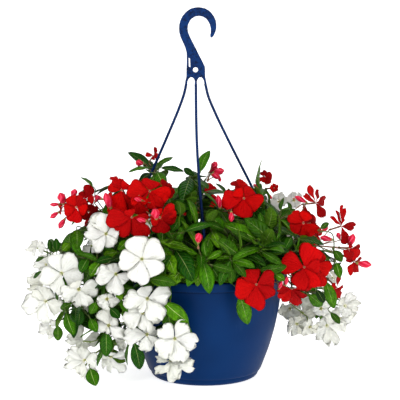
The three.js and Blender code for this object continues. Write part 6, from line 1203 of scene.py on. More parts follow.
[422,728,1781,235,1186,1904,15,41,90,219,47],
[458,792,1817,141,870,2274,49,-3,87,234,42],
[489,844,1868,775,722,2347,32,57,76,258,52],
[527,909,1933,1007,875,2048,30,76,58,191,46],
[377,645,1743,223,806,2097,71,59,39,168,41],
[354,603,1666,114,283,1918,43,26,86,188,25],
[415,714,1775,760,736,2103,-5,53,84,195,34],
[599,1046,2000,1048,967,2027,40,77,51,197,25],
[563,978,1967,674,1001,2465,53,48,69,205,26],
[562,975,1966,385,1344,1942,69,33,64,178,33],
[523,903,1926,538,880,2339,41,62,67,173,18],
[495,855,1879,334,1035,2212,67,66,35,173,24],
[594,1037,1996,965,1065,1818,37,57,73,170,31],
[354,603,1667,303,331,1985,53,35,77,173,19],
[354,604,1669,432,882,1742,23,24,95,116,15],
[487,841,1865,648,1067,1788,55,59,58,116,15],
[380,651,1746,674,657,1789,66,34,68,116,20],
], [

]),
"shoot_back_2": ([
(2.1, 0, [[-120,640,1528],[-129,686,1767],[-124,946,1948],[-116,1030,2145],[-127,1196,2197]]),
], [
[-124,1139,2166,-180,1181,2595,29,19,94,168,27],
[-126,669,1685,-442,761,1970,18,53,83,198,24],
[-127,826,1859,266,1021,2021,-31,41,86,209,43],
[-127,836,1866,-376,1100,1896,-2,91,43,151,34],
[-127,673,1709,263,698,2159,-15,68,72,264,42],
[-122,1098,2143,249,1081,2582,12,13,98,232,49],
[-126,1165,2180,117,1560,1937,-34,39,86,199,34],
[-124,906,1938,-311,1289,1979,10,72,69,177,37],
[-127,783,1830,364,995,1777,-2,66,75,221,47],
[-121,956,2019,-381,1229,2203,-2,33,94,181,22],
[-118,1008,2095,346,987,2387,-7,24,97,216,48],
[-128,704,1776,-447,1105,1814,-15,83,54,199,22],
[-125,667,1674,-111,263,1873,25,26,93,172,26],
[-126,853,1877,-175,1371,1699,8,25,96,221,51],
[-120,960,2026,-234,723,2394,-40,85,35,180,26],
[-118,1007,2095,-309,1088,2487,20,-17,97,171,24],
[-126,668,1679,122,455,1984,-13,15,98,178,35],
[-122,1090,2139,-582,1129,2474,-9,33,94,252,39],
[-125,1158,2176,-405,1464,2027,32,44,84,198,22],
[-122,1088,2138,180,1198,2310,-51,41,75,146,34],
], [

]),
"shoot_back_3": ([
(2.1, 0, [[-560,540,1528],[-594,573,1728],[-673,881,1754],[-702,1032,1831],[-765,1161,1858]]),
], [
[-730,1076,1832,-1001,1211,2245,0,27,96,214,40],
[-686,964,1798,-884,1217,1453,-11,38,92,198,27],
[-652,792,1751,-1025,903,1895,-57,63,53,162,17],
[-588,568,1688,-966,437,1809,-52,62,59,192,30],
[-753,1131,1849,-1312,1256,1872,7,16,99,222,46],
[-631,711,1742,-1011,859,1719,-37,48,80,156,25],
[-608,624,1734,-1003,790,1892,-45,37,81,176,30],
[-718,1047,1823,-492,1534,1765,1,57,82,217,31],
[-751,1126,1848,-883,1387,1509,-47,24,85,203,23],
[-587,568,1687,-393,252,2034,-71,66,23,212,24],
[-585,565,1673,-370,495,1839,-46,9,88,119,18],
[-650,784,1749,-708,805,2033,-61,27,75,113,24],
[-606,617,1734,-452,852,1830,-39,47,79,122,28],
], [

]),
"shoot_back_4": ([
(2.1, 0, [[-820,300,1528],[-796,285,1787],[-1079,455,2000],[-1043,536,2108],[-1213,557,2153]]),
], [
[-893,334,1856,-1339,393,1819,-92,-4,38,204,27],
[-798,286,1709,-418,125,2067,-61,24,76,230,31],
[-879,327,1844,-782,745,1981,-53,41,74,197,33],
[-1077,506,2068,-1117,752,2555,-66,37,65,223,39],
[-1022,448,2001,-1500,375,2062,-63,16,76,207,24],
[-930,353,1887,-746,278,2363,-63,0,78,212,22],
[-1189,548,2138,-1269,979,2122,-55,12,83,181,41],
[-800,288,1693,-478,71,1825,-66,55,51,177,30],
[-993,411,1959,-593,741,2116,-8,8,99,231,41],
[-1032,462,2016,-1040,455,2439,-51,32,80,169,20],
[-941,359,1896,-959,397,2444,-48,-10,87,211,32],
[-1183,546,2134,-1202,523,2569,-36,37,86,183,17],
[-802,289,1678,-1162,511,1871,-31,-13,94,190,41],
[-802,287,1780,-630,606,1996,13,25,96,177,31],
[-1063,500,2059,-1000,685,2415,-30,44,85,169,39],
[-1061,500,2059,-1277,849,2023,-51,8,86,159,39],
[-809,291,1786,-629,474,1991,-13,-20,97,133,14],
], [

]),
"shoot_back_5": ([
(2.1, 0, [[700,440,1528],[740,465,1718],[914,637,1823],[990,705,1953],[1089,797,1989]]),
], [
[902,623,1838,1424,710,1795,8,9,99,219,42],
[953,671,1901,715,629,2358,56,45,70,216,40],
[996,711,1933,854,1028,2287,0,-5,100,215,22],
[731,459,1679,628,971,1865,29,-2,96,222,49],
[781,505,1741,691,923,1945,22,8,97,186,41],
[948,666,1895,918,1090,1689,35,45,82,189,19],
[1069,779,1977,1029,1265,2089,35,10,93,207,25],
], [

]),
"shoot_back_6": ([
(2.1, 0, [[-360,840,1528],[-372,868,1640],[-371,929,2030],[-504,1263,1880],[-446,1141,1420],[-476,1214,1393]]),
], [
[-501,1258,1813,-710,1254,1487,-4,49,87,155,38],
[-365,898,1901,-770,944,2225,2,72,69,224,45],
[-365,896,1892,-700,795,2223,2,53,85,221,35],
[-375,937,2006,-400,1355,2144,-32,64,70,200,42],
[-427,1071,1926,-887,950,1738,-38,28,88,225,27],
[-362,865,1688,-687,809,2020,-55,82,16,203,24],
[-366,908,1968,-489,1439,2062,-24,53,81,241,34],
[-452,1133,1889,-217,1602,1907,-12,14,98,234,30],
[-488,1237,1577,-743,1395,1271,-22,49,85,189,40],
[-498,1256,1720,-112,1364,1502,-44,45,78,206,39],
[-480,1206,1845,-440,1161,1346,-14,59,80,197,40],
[-482,1226,1493,-379,1608,1301,-28,63,72,172,21],
[-503,1263,1810,-212,1539,1705,-46,50,73,160,21],
[-365,894,1874,-213,584,2214,-27,74,62,209,35],
[-479,1220,1443,-629,1603,1074,-38,51,77,237,36],
[-481,1207,1844,-727,1574,1977,-29,-16,94,201,32],
[-499,1257,1731,-173,1664,1480,-17,36,92,245,27],
[-504,1265,1809,-916,1292,1490,-9,27,96,221,34],
[-429,1074,1924,-385,1534,1936,7,13,99,190,36],
[-483,1226,1494,-447,1682,1348,-48,56,67,213,34],
[-366,907,1958,-322,616,2362,-14,64,76,192,42],
[-372,930,2010,-442,1302,2271,-43,42,80,197,37],
[-489,1238,1582,-656,1533,1429,-1,71,70,156,37],
[-452,1134,1888,-734,1197,1883,-17,46,87,118,29],
[-401,1003,1966,-122,1221,1863,-21,-9,97,151,32],
[-423,1060,1932,-242,1302,1796,-57,28,77,136,19],
], [

]),
"shoot_back_7": ([
(2.1, 0, [[140,880,1528],[145,911,1646],[243,970,2030],[330,1319,1939],[312,1169,1630],[342,1250,1639]]),
], [
[316,1271,1951,412,1406,1665,17,67,73,153,24],
[201,923,1875,247,1349,2077,-47,18,86,186,34],
[300,1218,1954,153,1509,2387,48,58,66,236,28],
[333,1293,1850,548,962,1784,-1,48,88,175,34],
[335,1281,1792,-98,1509,1564,-10,41,91,236,29],
[340,1257,1676,293,1665,1399,7,19,98,191,29],
[320,1284,1951,372,1537,1544,24,35,91,194,35],
[338,1267,1721,837,1213,1616,37,77,53,232,46],
[164,897,1665,215,606,1965,-26,37,89,189,25],
[277,1136,1958,629,1255,1775,34,3,94,179,37],
[254,1059,1962,579,1254,2176,28,48,83,190,24],
[181,909,1761,-116,676,1966,-8,96,27,196,19],
[333,1293,1852,-87,1535,1675,7,27,96,213,37],
[321,1287,1950,629,1620,2292,13,18,97,220,37],
[168,900,1686,594,950,1769,11,95,31,189,24],
[276,1133,1958,4,1406,1784,-21,36,91,177,36],
[336,1279,1783,409,1455,1573,2,36,93,122,26],
], [

]),
}
# cluster: hub, flowers [[throat, facing, cup], petals [direction, length, width], stalk, frill, depth of painted shade,
# greatest widening in hundredths, open eye], buds [[base, tip, radius], stalk]
CLUSTERS = {
"flowers_white_1": ([-725,-1061,1820], [
[[-939,-1680,2163,-9,-99,11,-21], [[55,352,292],[132,327,248],[191,371,270],[267,349,255],[344,335,284]], [[-915,-1413,2135],[-731,-1072,1830]], 4, 0, 130, 1],
[[-864,-1500,1524,4,-99,11,-24], [[80,335,235],[153,362,257],[222,210,161],[267,338,308],[342,188,220]], [[-874,-1232,1496],[-731,-1068,1807]], 9, 0, 130, 1],
], [
]),
"flowers_white_2": ([-1146,-980,1054], [
[[-941,-1380,1280,-21,-97,-10,10], [[30,211,177],[117,280,177],[171,290,184],[242,323,265],[310,211,192]], [[-885,-1117,1308],[-1135,-986,1065]], 12, 0, 130, 1],
[[-878,-1280,926,0,-99,14,8], [[60,152,148],[141,190,148],[190,258,192],[266,334,229],[350,167,163]], [[-878,-1050,893],[-1133,-983,1046]], 12, 0, 130, 1],
[[-1466,-1120,1030,14,-99,7,8], [[61,152,149],[132,279,164],[206,122,134],[264,168,193],[345,255,223]], [[-1493,-930,1017],[-1162,-978,1053]], 14, 1, 130, 1],
], [
]),
"flowers_white_3": ([-588,-1340,1133], [
[[-453,-1500,910,7,-99,7,25], [[40,287,213],[102,330,235],[166,358,242],[230,339,279],[312,266,227]], [[-464,-1333,899],[-580,-1340,1118]], 9, 0, 130, 1],
[[-521,-1360,533,9,64,-77,4], [[92,199,133],[151,294,207],[203,366,236],[252,383,195],[309,204,148]], [[-626,-1435,788],[-589,-1344,1117]], 15, 1, 130, 1],
], [
]),
"flowers_white_4": ([-1228,-717,2333], [
[[-1498,-1098,2445,-20,-96,17,16], [[83,195,178],[150,213,208],[219,283,223],[276,316,237],[345,311,297]], [[-1444,-843,2399],[-1242,-724,2338]], 10, 0, 130, 1],
[[-1736,-933,2229,-45,-87,20,4], [[59,156,75],[143,122,90],[214,156,90],[246,156,90],[333,76,75]], [[-1571,-768,2364],[-1244,-719,2335]], 10, 0, 120, 0],
], [
]),
"flowers_white_5": ([-1978,-280,1848], [
[[-2192,-920,1802,-17,-98,7,2], [[38,338,255],[110,326,270],[198,322,210],[260,340,232],[343,314,262]], [[-2146,-655,1784],[-1985,-295,1846]], 5, 0, 130, 1],
[[-2465,-480,1850,-57,-79,21,12], [[23,161,152],[92,161,137],[214,201,152],[272,212,152],[315,190,137]], [[-2309,-266,1794],[-1994,-280,1846]], 10, 1, 130, 1],
[[-2621,-250,2078,-64,-64,42,11], [[18,126,123],[86,178,123],[205,128,123],[263,178,138],[300,178,138]], [[-2448,-77,1963],[-1993,-274,1852]], 14, 1, 130, 0],
], [
]),
"flowers_white_6": ([-1386,-716,1628], [
[[-1339,-1350,1873,29,-90,31,15], [[11,160,192],[123,206,162],[188,312,207],[270,318,295],[322,181,177]], [[-1418,-1106,1790],[-1387,-730,1634]], 10, 0, 130, 1],
[[-1921,-1080,1582,0,-99,-10,8], [[86,297,238],[152,290,194],[194,280,164],[249,285,209],[332,141,164]], [[-1921,-811,1610],[-1401,-718,1628]], 10, 1, 130, 1],
[[-1485,-1200,1459,17,-96,-21,-18], [[49,108,119],[113,205,178],[198,178,178],[256,151,134],[322,99,119]], [[-1531,-940,1515],[-1394,-728,1622]], 14, 1, 130, 1],
[[-1814,-920,1339,0,-87,-50,-21], [[25,98,75],[128,99,90],[175,209,120],[209,116,90],[319,87,75]], [[-1814,-686,1474],[-1401,-715,1623]], 10, 2, 130, 0],
], [
]),
"flowers_white_7": ([-2029,-162,1298], [
[[-2471,-580,1293,-34,-94,0,13], [[16,211,227],[114,304,258],[194,317,243],[257,382,258],[314,267,212]], [[-2379,-326,1293],[-2044,-169,1298]], 12, 1, 130, 1],
[[-2422,-380,861,-45,-84,-31,-11], [[52,130,122],[158,161,153],[209,248,183],[246,248,199],[303,128,137]], [[-2302,-153,944],[-2039,-161,1285]], 17, 1, 130, 0],
[[-2530,-300,1514,-61,-78,11,25], [[60,121,107],[201,133,123],[252,296,168],[287,320,199],[335,159,138]], [[-2365,-88,1486],[-2043,-159,1306]], 12, 2, 130, 0],
], [
]),
"flowers_white_8": ([-1261,-480,767], [
[[-1862,-780,402,-21,-98,4,10], [[92,192,226],[198,256,181],[259,324,211],[306,296,211],[360,189,181]], [[-1806,-516,393],[-1274,-480,758]], 15, 1, 130, 1],
[[-1895,-580,666,-49,86,-14,7], [[28,243,197],[75,276,152],[121,147,121],[186,141,197],[273,276,197]], [[-1761,-812,703],[-1274,-488,766]], 15, 1, 130, 0],
[[-1446,-880,482,-12,-87,-47,-24], [[5,103,120],[94,218,165],[160,313,210],[203,313,195],[244,173,135]], [[-1413,-644,608],[-1270,-489,758]], 15, 1, 130, 1],
[[-1240,-980,757,-65,-65,-41,24], [[67,143,90],[204,156,105],[234,260,194],[263,145,105],[343,79,90]], [[-1065,-806,866],[-1253,-493,771]], 14, 1, 130, 0],
[[-1896,-620,221,-41,-72,-56,-17], [[100,240,117],[167,146,91],[203,246,108],[236,186,91],[324,80,76]], [[-1785,-426,372],[-1274,-478,758]], 15, 1, 130, 0],
], [
]),
"flowers_red_1": ([-1605,-129,2629], [
[[-1977,-620,2778,-21,-97,11,-7], [[35,196,197],[108,174,182],[189,247,197],[254,208,182],[328,193,197]], [[-1879,-362,2776],[-1617,-139,2635]], 4, 1, 130, 1],
[[-1839,-394,2874,27,-74,62,4], [[28,266,183],[99,127,153],[208,147,153],[273,112,122],[337,147,137]], [[-1903,-219,2728],[-1620,-133,2634]], 5, 2, 105, 0],
[[-1797,-357,2664,31,-86,-41,12], [[12,139,122],[82,143,153],[149,195,168],[225,142,137],[304,145,122]], [[-1848,-215,2731],[-1619,-134,2635]], 5, 2, 130, 1],
[[-2201,-300,2745,-76,-64,14,-22], [[72,160,107],[121,160,107],[223,160,107],[274,160,107],[350,125,107]], [[-1996,-128,2707],[-1621,-129,2632]], 5, 1, 105, 0],
], [
[[-2185,-310,2777,-2243,-400,2974,64], [[-2028,-256,2814],[-1619,-133,2635]]],
[[-2060,-380,2890,-1991,-470,3038,50], [[-2073,-291,2863],[-1605,-129,2629]]],
[[-2240,-340,2782,-2403,-430,2790,30], [[-2228,-251,2769],[-1605,-129,2629]]],
[[-2263,-360,2667,-2396,-450,2582,38], [[-2254,-271,2664],[-1605,-129,2629]]],
[[-2164,-410,2572,-2258,-500,2426,44], [[-2160,-322,2574],[-1605,-129,2629]]],
[[-1702,-360,2814,-1635,-450,2936,34], [[-1715,-270,2788],[-1605,-129,2629]]],
]),
"flowers_red_2": ([-930,-490,2778], [
[[-1269,-867,3075,-17,-96,-24,9], [[40,151,135],[167,370,255],[199,398,270],[297,197,165],[334,203,135]], [[-1199,-642,3129],[-939,-496,2790]], 4, 1, 130, 1],
[[-1101,-1228,2716,-9,-98,-17,-13], [[98,242,148],[153,350,267],[220,361,267],[267,397,223],[342,125,178]], [[-1097,-990,2790],[-935,-505,2778]], 4, 1, 130, 1],
[[-1304,-560,3147,-24,-65,72,3], [[34,80,91],[117,134,91],[227,124,121],[304,229,109],[344,101,91]], [[-1240,-384,2953],[-943,-486,2786]], 5, 2, 105, 0],
[[-1432,-666,2867,-85,-53,7,13], [[48,109,75],[124,101,75],[202,169,90],[265,174,90],[334,159,90]], [[-1203,-523,2849],[-945,-492,2782]], 5, 1, 105, 0],
], [
[[-1431,-840,2779,-1518,-930,3053,60], [[-1037,-811,2632],[-934,-504,2772]]],
]),
"flowers_red_3": ([-643,-561,2772], [
[[-835,-948,3076,7,-99,14,-38], [[9,179,239],[115,300,269],[159,297,217],[244,258,209],[279,333,269]], [[-854,-681,3038],[-652,-566,2784]], 4, 0, 130, 1],
[[-675,-1250,2719,14,-99,0,-13], [[61,264,222],[100,251,207],[176,245,281],[246,151,148],[335,138,163]], [[-713,-983,2719],[-646,-577,2770]], 5, 1, 130, 1],
[[-997,-1126,2952,0,-94,-34,-30], [[32,83,104],[107,137,134],[177,259,238],[253,123,134],[329,82,104]], [[-997,-872,3044],[-896,-811,2763],[-654,-572,2772]], 4, 0, 130, 0],
[[-616,-720,3054,49,-84,24,-16], [[12,163,136],[68,156,136],[114,185,151],[229,101,91],[302,82,91]], [[-703,-570,3010],[-647,-562,2788]], 5, 2, 105, 0],
], [
[[-933,-1240,2974,-1060,-1330,3023,30], [[-919,-1150,2956],[-643,-561,2772]]],
[[-860,-1420,2694,-1019,-1510,2737,34], [[-845,-1331,2677],[-643,-561,2772]]],
[[-724,-1440,2721,-750,-1530,2898,62], [[-898,-899,2793],[-653,-574,2773]]],
]),
"flowers_red_10": ([-705,483,3051], [
[[-803,420,3451,41,-71,57,-4], [[31,164,78],[75,86,63],[135,95,78],[215,89,63],[283,145,94]], [[-897,583,3319],[-714,487,3063]], 5, 2, 105, 0],
], [
[[-972,440,3317,-1094,350,3351,52], [[-960,551,3300],[-695,483,3041]]],
]),
"flowers_red_4": ([404,-190,2644], [
[[601,-720,2933,-7,-98,21,1], [[41,191,196],[113,284,226],[188,291,257],[265,337,257],[315,184,196]], [[619,-457,2877],[412,-200,2653]], 3, 0, 130, 1],
[[538,-420,3042,0,-77,64,-18], [[13,177,153],[61,145,137],[198,90,107],[264,78,107],[330,173,153]], [[538,-218,2872],[412,-192,2658]], 5, 2, 130, 0],
], [
[[238,-740,2764,197,-830,3006,44], [[242,-634,2730],[400,-192,2643]]],
[[403,-960,2773,402,-1050,2618,42], [[405,-851,2775],[399,-183,2651]]],
]),
"flowers_red_5": ([1209,-126,2521], [
[[1521,-620,2533,0,-100,4,-32], [[19,170,167],[132,264,182],[180,202,182],[240,231,197],[306,240,182]], [[1521,-350,2524],[1222,-136,2521]], 5, 0, 130, 1],
[[1737,-200,2782,80,-58,17,-16], [[34,225,123],[89,339,154],[145,296,169],[302,299,123],[339,315,161]], [[1522,-44,2735],[1222,-123,2529]], 5, 2, 105, 0],
], [
[[1599,-210,2786,1401,-300,2903,40], [[1473,-128,2596],[1225,-126,2525]]],
]),
"flowers_red_6": ([1376,-595,1841], [
[[1505,-1220,1952,0,-100,5,6], [[24,355,296],[90,242,208],[152,350,252],[199,329,215],[286,368,274]], [[1501,-944,1939],[1381,-609,1845]], 3, 0, 130, 1],
[[1649,-1020,1934,10,-99,7,-21], [[33,259,209],[103,287,254],[160,355,189],[236,183,179],[330,185,179]], [[1621,-752,1916],[1389,-603,1845]], 3, 1, 130, 1],
[[2041,-720,1534,57,-68,-47,-15], [[103,123,121],[147,280,133],[205,141,151],[286,153,136],[350,233,100]], [[1888,-537,1661],[1391,-593,1835]], 5, 2, 105, 0],
], [
]),
"flowers_red_7": ([828,-790,1740], [
[[774,-1520,1745,4,-100,7,-21], [[68,289,220],[131,295,249],[188,359,271],[257,330,249],[337,254,220]], [[765,-1251,1727],[826,-806,1740]], 3, 1, 130, 1],
[[1328,-1040,1577,0,-87,-50,-34], [[87,320,172],[134,264,179],[168,363,209],[213,301,209],[270,229,123]], [[1328,-806,1712],[844,-791,1739]], 5, 2, 130, 1],
], [
[[1120,-1240,1618,1162,-1330,1766,32], [[1058,-961,1756],[841,-800,1741]]],
[[1229,-1140,1652,1243,-1230,1815,32], [[919,-988,1729],[835,-805,1740]]],
]),
"flowers_red_8": ([1747,-145,2098], [
[[2138,-220,2421,68,-65,34,-13], [[32,353,169],[100,326,138],[172,313,169],[320,242,118],[360,250,135]], [[1955,-44,2329],[1757,-140,2110]], 5, 2, 105, 0],
[[2245,-491,2104,59,-81,4,-39], [[27,79,91],[94,258,122],[125,255,198],[168,178,152],[231,136,122]], [[2086,-273,2095],[1762,-151,2098]], 5, 2, 105, 0],
[[2331,-331,1878,62,-74,-24,-20], [[5,97,91],[89,172,107],[144,261,124],[199,214,122],[291,169,91]], [[2162,-130,1943],[1762,-144,2093]], 5, 2, 105, 0],
], [
[[1985,-460,2246,1780,-550,2297,46], [[2010,-354,2225],[1754,-137,2089]]],
[[2112,-260,2217,2067,-350,2337,36], [[2124,-170,2189],[1747,-145,2098]]],
[[2261,-360,2125,2307,-450,2337,56], [[2265,-254,2089],[1754,-150,2088]]],
[[2364,-320,1854,2604,-410,1835,56], [[2226,-189,2018],[1763,-146,2096]]],
]),
"flowers_red_9": ([675,476,2745], [
[[946,450,3118,30,-81,50,-3], [[38,101,110],[91,137,141],[154,145,126],[214,109,94],[340,81,94]], [[871,657,2991],[684,484,2756]], 5, 2, 130, 0],
[[1105,300,2947,49,-85,17,1], [[6,70,78],[79,82,78],[145,70,78],[226,77,78],[290,82,78]], [[972,530,2900],[689,478,2752]], 4, 1, 260, 0],
], [
[[860,440,2893,775,350,3005,28], [[873,530,2869],[675,476,2745]]],
[[1015,340,2846,1060,250,2776,26], [[1011,434,2846],[675,476,2745]]],
]),
"flowers_white_9": ([941,496,2557], [
[[1186,420,2720,-8,-97,21,-20], [[34,135,126],[94,127,141],[204,151,141],[261,135,141],[339,128,141]], [[1200,583,2685],[955,500,2564]], 10, 0, 130, 1],
[[1419,300,2754,57,-82,9,18], [[3,127,125],[70,163,125],[133,147,125],[208,114,125],[299,154,125]], [[1318,490,2678],[956,495,2562]], 12, 0, 130, 1],
], [
]),
"flowers_white_10": ([1442,820,980], [
[[1560,285,927,0,-100,7,-15], [[32,272,203],[96,224,203],[165,242,218],[240,240,203],[305,160,187]], [[1560,555,909],[1448,806,977]], 15, 1, 130, 1],
[[1373,405,968,-34,-93,-10,15], [[57,158,157],[150,193,188],[205,175,157],[261,179,188],[319,80,125]], [[1452,621,992],[1442,804,981]], 15, 2, 130, 1],
[[1472,117,784,-9,-91,-41,17], [[17,156,155],[107,208,186],[164,230,171],[210,227,171],[281,143,155]], [[1498,362,894],[1729,694,919],[1456,814,977]], 17, 2, 130, 1],
[[1669,-60,774,15,-87,-47,13], [[93,131,139],[151,161,139],[204,161,155],[273,115,124],[331,148,124]], [[1628,174,901],[1369,241,1087],[1440,804,983]], 17, 2, 130, 1],
[[1846,20,1056,17,-97,-14,2], [[60,159,139],[131,155,139],[197,115,124],[277,131,124],[339,103,108]], [[1799,283,1094],[1450,807,983]], 14, 1, 130, 1],
], [
]),
"flowers_white_11": ([1875,720,984], [
[[1954,173,744,7,-99,-14,21], [[33,212,265],[107,245,218],[164,326,218],[228,258,202],[302,150,171]], [[1936,440,782],[1878,707,975]], 14, 1, 130, 1],
[[2228,50,1091,44,-89,11,19], [[37,228,171],[95,221,171],[166,163,140],[248,122,124],[315,157,140]], [[2110,291,1062],[1883,706,987]], 15, 1, 130, 1],
[[2170,301,842,55,-81,-21,-22], [[79,321,203],[118,326,203],[155,326,203],[223,162,141],[322,169,141]], [[2022,520,898],[1884,708,979]], 15, 1, 130, 1],
[[2008,-300,1618,42,-79,44,2], [[15,99,92],[71,113,92],[136,112,107],[229,110,107],[294,102,92]], [[1894,-86,1500],[1875,707,993]], 12, 2, 130, 1],
], [
]),
"flowers_white_back_1": ([632,1111,2024], [
[[1020,1766,2115,11,98,16,3], [[-4,261,254],[66,290,226],[138,292,256],[215,275,232],[284,294,241]], [[991,1501,2073],[643,1122,2025]], 7, 1, 115, 1],
[[1067,1497,2417,60,72,35,-9], [[25,280,227],[85,273,246],[164,265,252],[232,264,221],[309,268,233]], [[904,1304,2322],[642,1118,2035]], 7, 1, 115, 1],
[[1297,1305,1841,77,63,-6,-22], [[41,295,228],[113,261,227],[172,251,225],[243,275,242],[329,287,226]], [[1088,1134,1856],[647,1111,2018]], 7, 1, 115, 1],
[[599,1761,1746,24,96,-12,-6], [[50,274,243],[115,263,236],[199,277,208],[260,281,244],[340,261,245]], [[528,1504,1772],[629,1124,2016]], 7, 1, 115, 1],
[[483,1852,2287,13,97,21,-32], [[62,238,199],[133,247,202],[216,229,207],[287,231,218],[359,224,197]], [[447,1590,2230],[627,1125,2030]], 7, 1, 115, 1],
], [
]),
"flowers_red_back_1": ([-130,1239,2210], [
[[-270,1918,2329,-42,83,37,-14], [[-4,262,204],[67,284,209],[141,282,227],[214,246,234],[287,260,223]], [[-157,1694,2229],[-131,1255,2210]], 5, 2, 115, 1],
[[-48,1704,2647,3,90,44,8], [[15,249,222],[82,275,205],[163,251,202],[232,276,222],[306,258,229]], [[-57,1461,2528],[-127,1248,2223]], 5, 2, 115, 1],
[[205,1779,2210,28,95,14,7], [[31,283,220],[111,262,253],[174,258,214],[248,293,223],[324,267,219]], [[130,1523,2174],[-119,1251,2208]], 5, 2, 115, 1],
[[-263,1755,1908,-15,98,-9,18], [[54,248,222],[128,243,212],[187,243,197],[263,266,195],[345,241,229]], [[-222,1490,1934],[-134,1249,2198]], 5, 2, 115, 1],
[[-646,1735,2547,-44,83,35,-12], [[4,227,202],[64,251,203],[142,262,198],[213,263,197],[290,224,215]], [[-527,1512,2453],[-142,1247,2217]], 5, 2, 115, 1],
], [
[[1,1758,1813,34,1856,1947,39], [[-3,1777,1792],[-130,1239,2210]]],
[[-834,1641,2236,-871,1808,2293,43], [[-830,1652,2225],[-130,1239,2210]]],
[[-279,1719,1769,-286,1867,1831,40], [[-278,1730,1756],[-130,1239,2210]]],
]),
"flowers_white_back_2": ([-785,1200,1867], [
[[-1225,1816,1900,-81,57,15,-5], [[7,260,228],[79,261,214],[139,254,225],[212,241,223],[287,234,207]], [[-1007,1662,1860],[-792,1215,1867]], 7, 1, 115, 1],
[[-1015,1730,2249,-43,86,28,-12], [[23,239,198],[86,269,200],[158,253,221],[235,269,200],[305,274,210]], [[-898,1498,2175],[-789,1211,1878]], 7, 1, 115, 1],
[[-701,1907,1672,-22,97,-14,-27], [[39,241,219],[113,259,205],[184,243,189],[254,249,199],[326,265,204]], [[-642,1646,1710],[-780,1215,1862]], 7, 1, 115, 1],
[[-1247,1525,1567,-67,69,-26,1], [[46,245,182],[127,239,187],[194,221,181],[262,228,208],[346,226,179]], [[-1065,1338,1638],[-796,1206,1857]], 7, 1, 115, 1],
[[-1461,1371,1979,-84,53,6,-35], [[3,247,200],[70,259,206],[133,233,196],[209,237,193],[283,240,194]], [[-1233,1227,1963],[-800,1201,1870]], 7, 1, 115, 1],
], [
]),
"flowers_red_back_2": ([-1251,576,2168], [
[[-1945,786,2243,-95,3,31,-15], [[-8,287,236],[76,287,224],[140,304,229],[215,258,220],[281,275,224]], [[-1689,778,2160],[-1265,583,2168]], 5, 2, 115, 1],
[[-1476,1144,2149,-68,72,12,10], [[16,257,227],[89,263,222],[154,261,197],[235,247,235],[301,277,218]], [[-1292,950,2116],[-1252,592,2166]], 5, 2, 115, 1],
[[-1849,367,2450,-94,5,33,0], [[42,256,201],[104,247,205],[172,270,209],[248,229,221],[320,258,191]], [[-1595,353,2361],[-1263,569,2175]], 5, 2, 115, 1],
], [
[[-1647,997,2657,-1802,1076,2705,39], [[-1632,1018,2647],[-1251,576,2168]]],
[[-1810,595,1702,-1947,656,1781,37], [[-1795,617,1687],[-1251,576,2168]]],
[[-1873,439,1757,-2002,451,1830,37], [[-1857,466,1742],[-1251,576,2168]]],
]),
"flowers_red_back_3": ([1121,827,2000], [
[[1693,1276,2072,49,86,15,-9], [[-2,310,255],[80,267,255],[142,301,226],[218,277,233],[294,263,220]], [[1561,1043,2031],[1135,834,2001]], 5, 2, 115, 1],
[[1725,832,2301,92,30,25,-18], [[13,293,237],[88,290,237],[154,269,263],[232,283,230],[310,295,228]], [[1477,751,2233],[1134,824,2008]], 5, 2, 115, 1],
[[1524,1152,1605,78,59,-21,8], [[33,251,218],[102,248,195],[182,268,223],[243,262,195],[330,232,193]], [[1313,992,1662],[1128,833,1987]], 5, 2, 115, 1],
[[1293,1523,2212,50,85,19,-27], [[44,244,202],[117,264,220],[202,248,200],[269,266,213],[337,259,224]], [[1158,1294,2161],[1122,842,2005]], 5, 2, 115, 1],
], [
[[1273,1501,1695,1425,1581,1745,39], [[1258,1522,1684],[1121,827,2000]]],
[[1885,689,2175,1995,760,2250,35], [[1872,709,2160],[1121,827,2000]]],
[[1411,1319,2544,1519,1385,2624,42], [[1398,1339,2529],[1121,827,2000]]],
]),
"flowers_white_back_3": ([-491,1253,1379], [
[[-783,1939,1152,-70,68,-23,19], [[6,228,190],[76,228,193],[151,235,206],[220,238,177],[282,239,206]], [[-594,1757,1213],[-494,1268,1374]], 7, 1, 115, 1],
[[-331,1847,1525,-4,99,-14,19], [[17,262,191],[86,242,216],[156,249,222],[232,257,209],[312,265,220]], [[-320,1580,1564],[-485,1266,1386]], 7, 1, 115, 1],
[[-719,1693,894,-34,75,-57,-1], [[28,276,264],[112,309,222],[181,297,253],[243,268,249],[318,312,224]], [[-628,1489,1046],[-497,1262,1366]], 7, 1, 115, 1],
[[-1052,1485,1363,-71,66,-25,19], [[48,241,216],[125,241,212],[199,242,195],[262,229,199],[334,224,208]], [[-861,1305,1429],[-507,1255,1381]], 7, 1, 115, 1],
], [
]),
"flowers_red_back_4": ([357,1292,1643], [
[[424,1992,1471,-20,98,-10,6], [[4,297,252],[79,278,240],[140,280,225],[216,268,231],[285,295,244]], [[477,1729,1498],[361,1306,1638]], 5, 2, 115, 1],
[[687,1531,1841,50,87,1,-28], [[24,248,206],[84,220,208],[162,236,204],[236,222,212],[308,232,182]], [[567,1322,1836],[369,1293,1654]], 5, 2, 115, 1],
[[544,1726,1087,31,84,-45,-11], [[26,284,244],[110,284,249],[185,287,245],[257,279,230],[320,285,247]], [[462,1498,1207],[361,1298,1629]], 5, 2, 115, 1],
[[-71,1857,1664,-19,98,-9,-32], [[44,255,206],[129,278,226],[198,258,230],[275,254,208],[337,246,208]], [[-19,1593,1688],[345,1302,1645]], 5, 2, 115, 1],
], [
[[-164,1917,1322,-102,2064,1347,34], [[-171,1928,1314],[357,1292,1643]]],
[[774,1718,1900,876,1864,1939,41], [[763,1731,1891],[357,1292,1643]]],
[[515,1773,1006,581,1942,1044,45], [[509,1784,996],[357,1292,1643]]],
]),
"buds_red_top": ([48,195,3083], [
], [
[[102,240,3259,193,150,3381,50], [[93,349,3232],[59,200,3078]]],
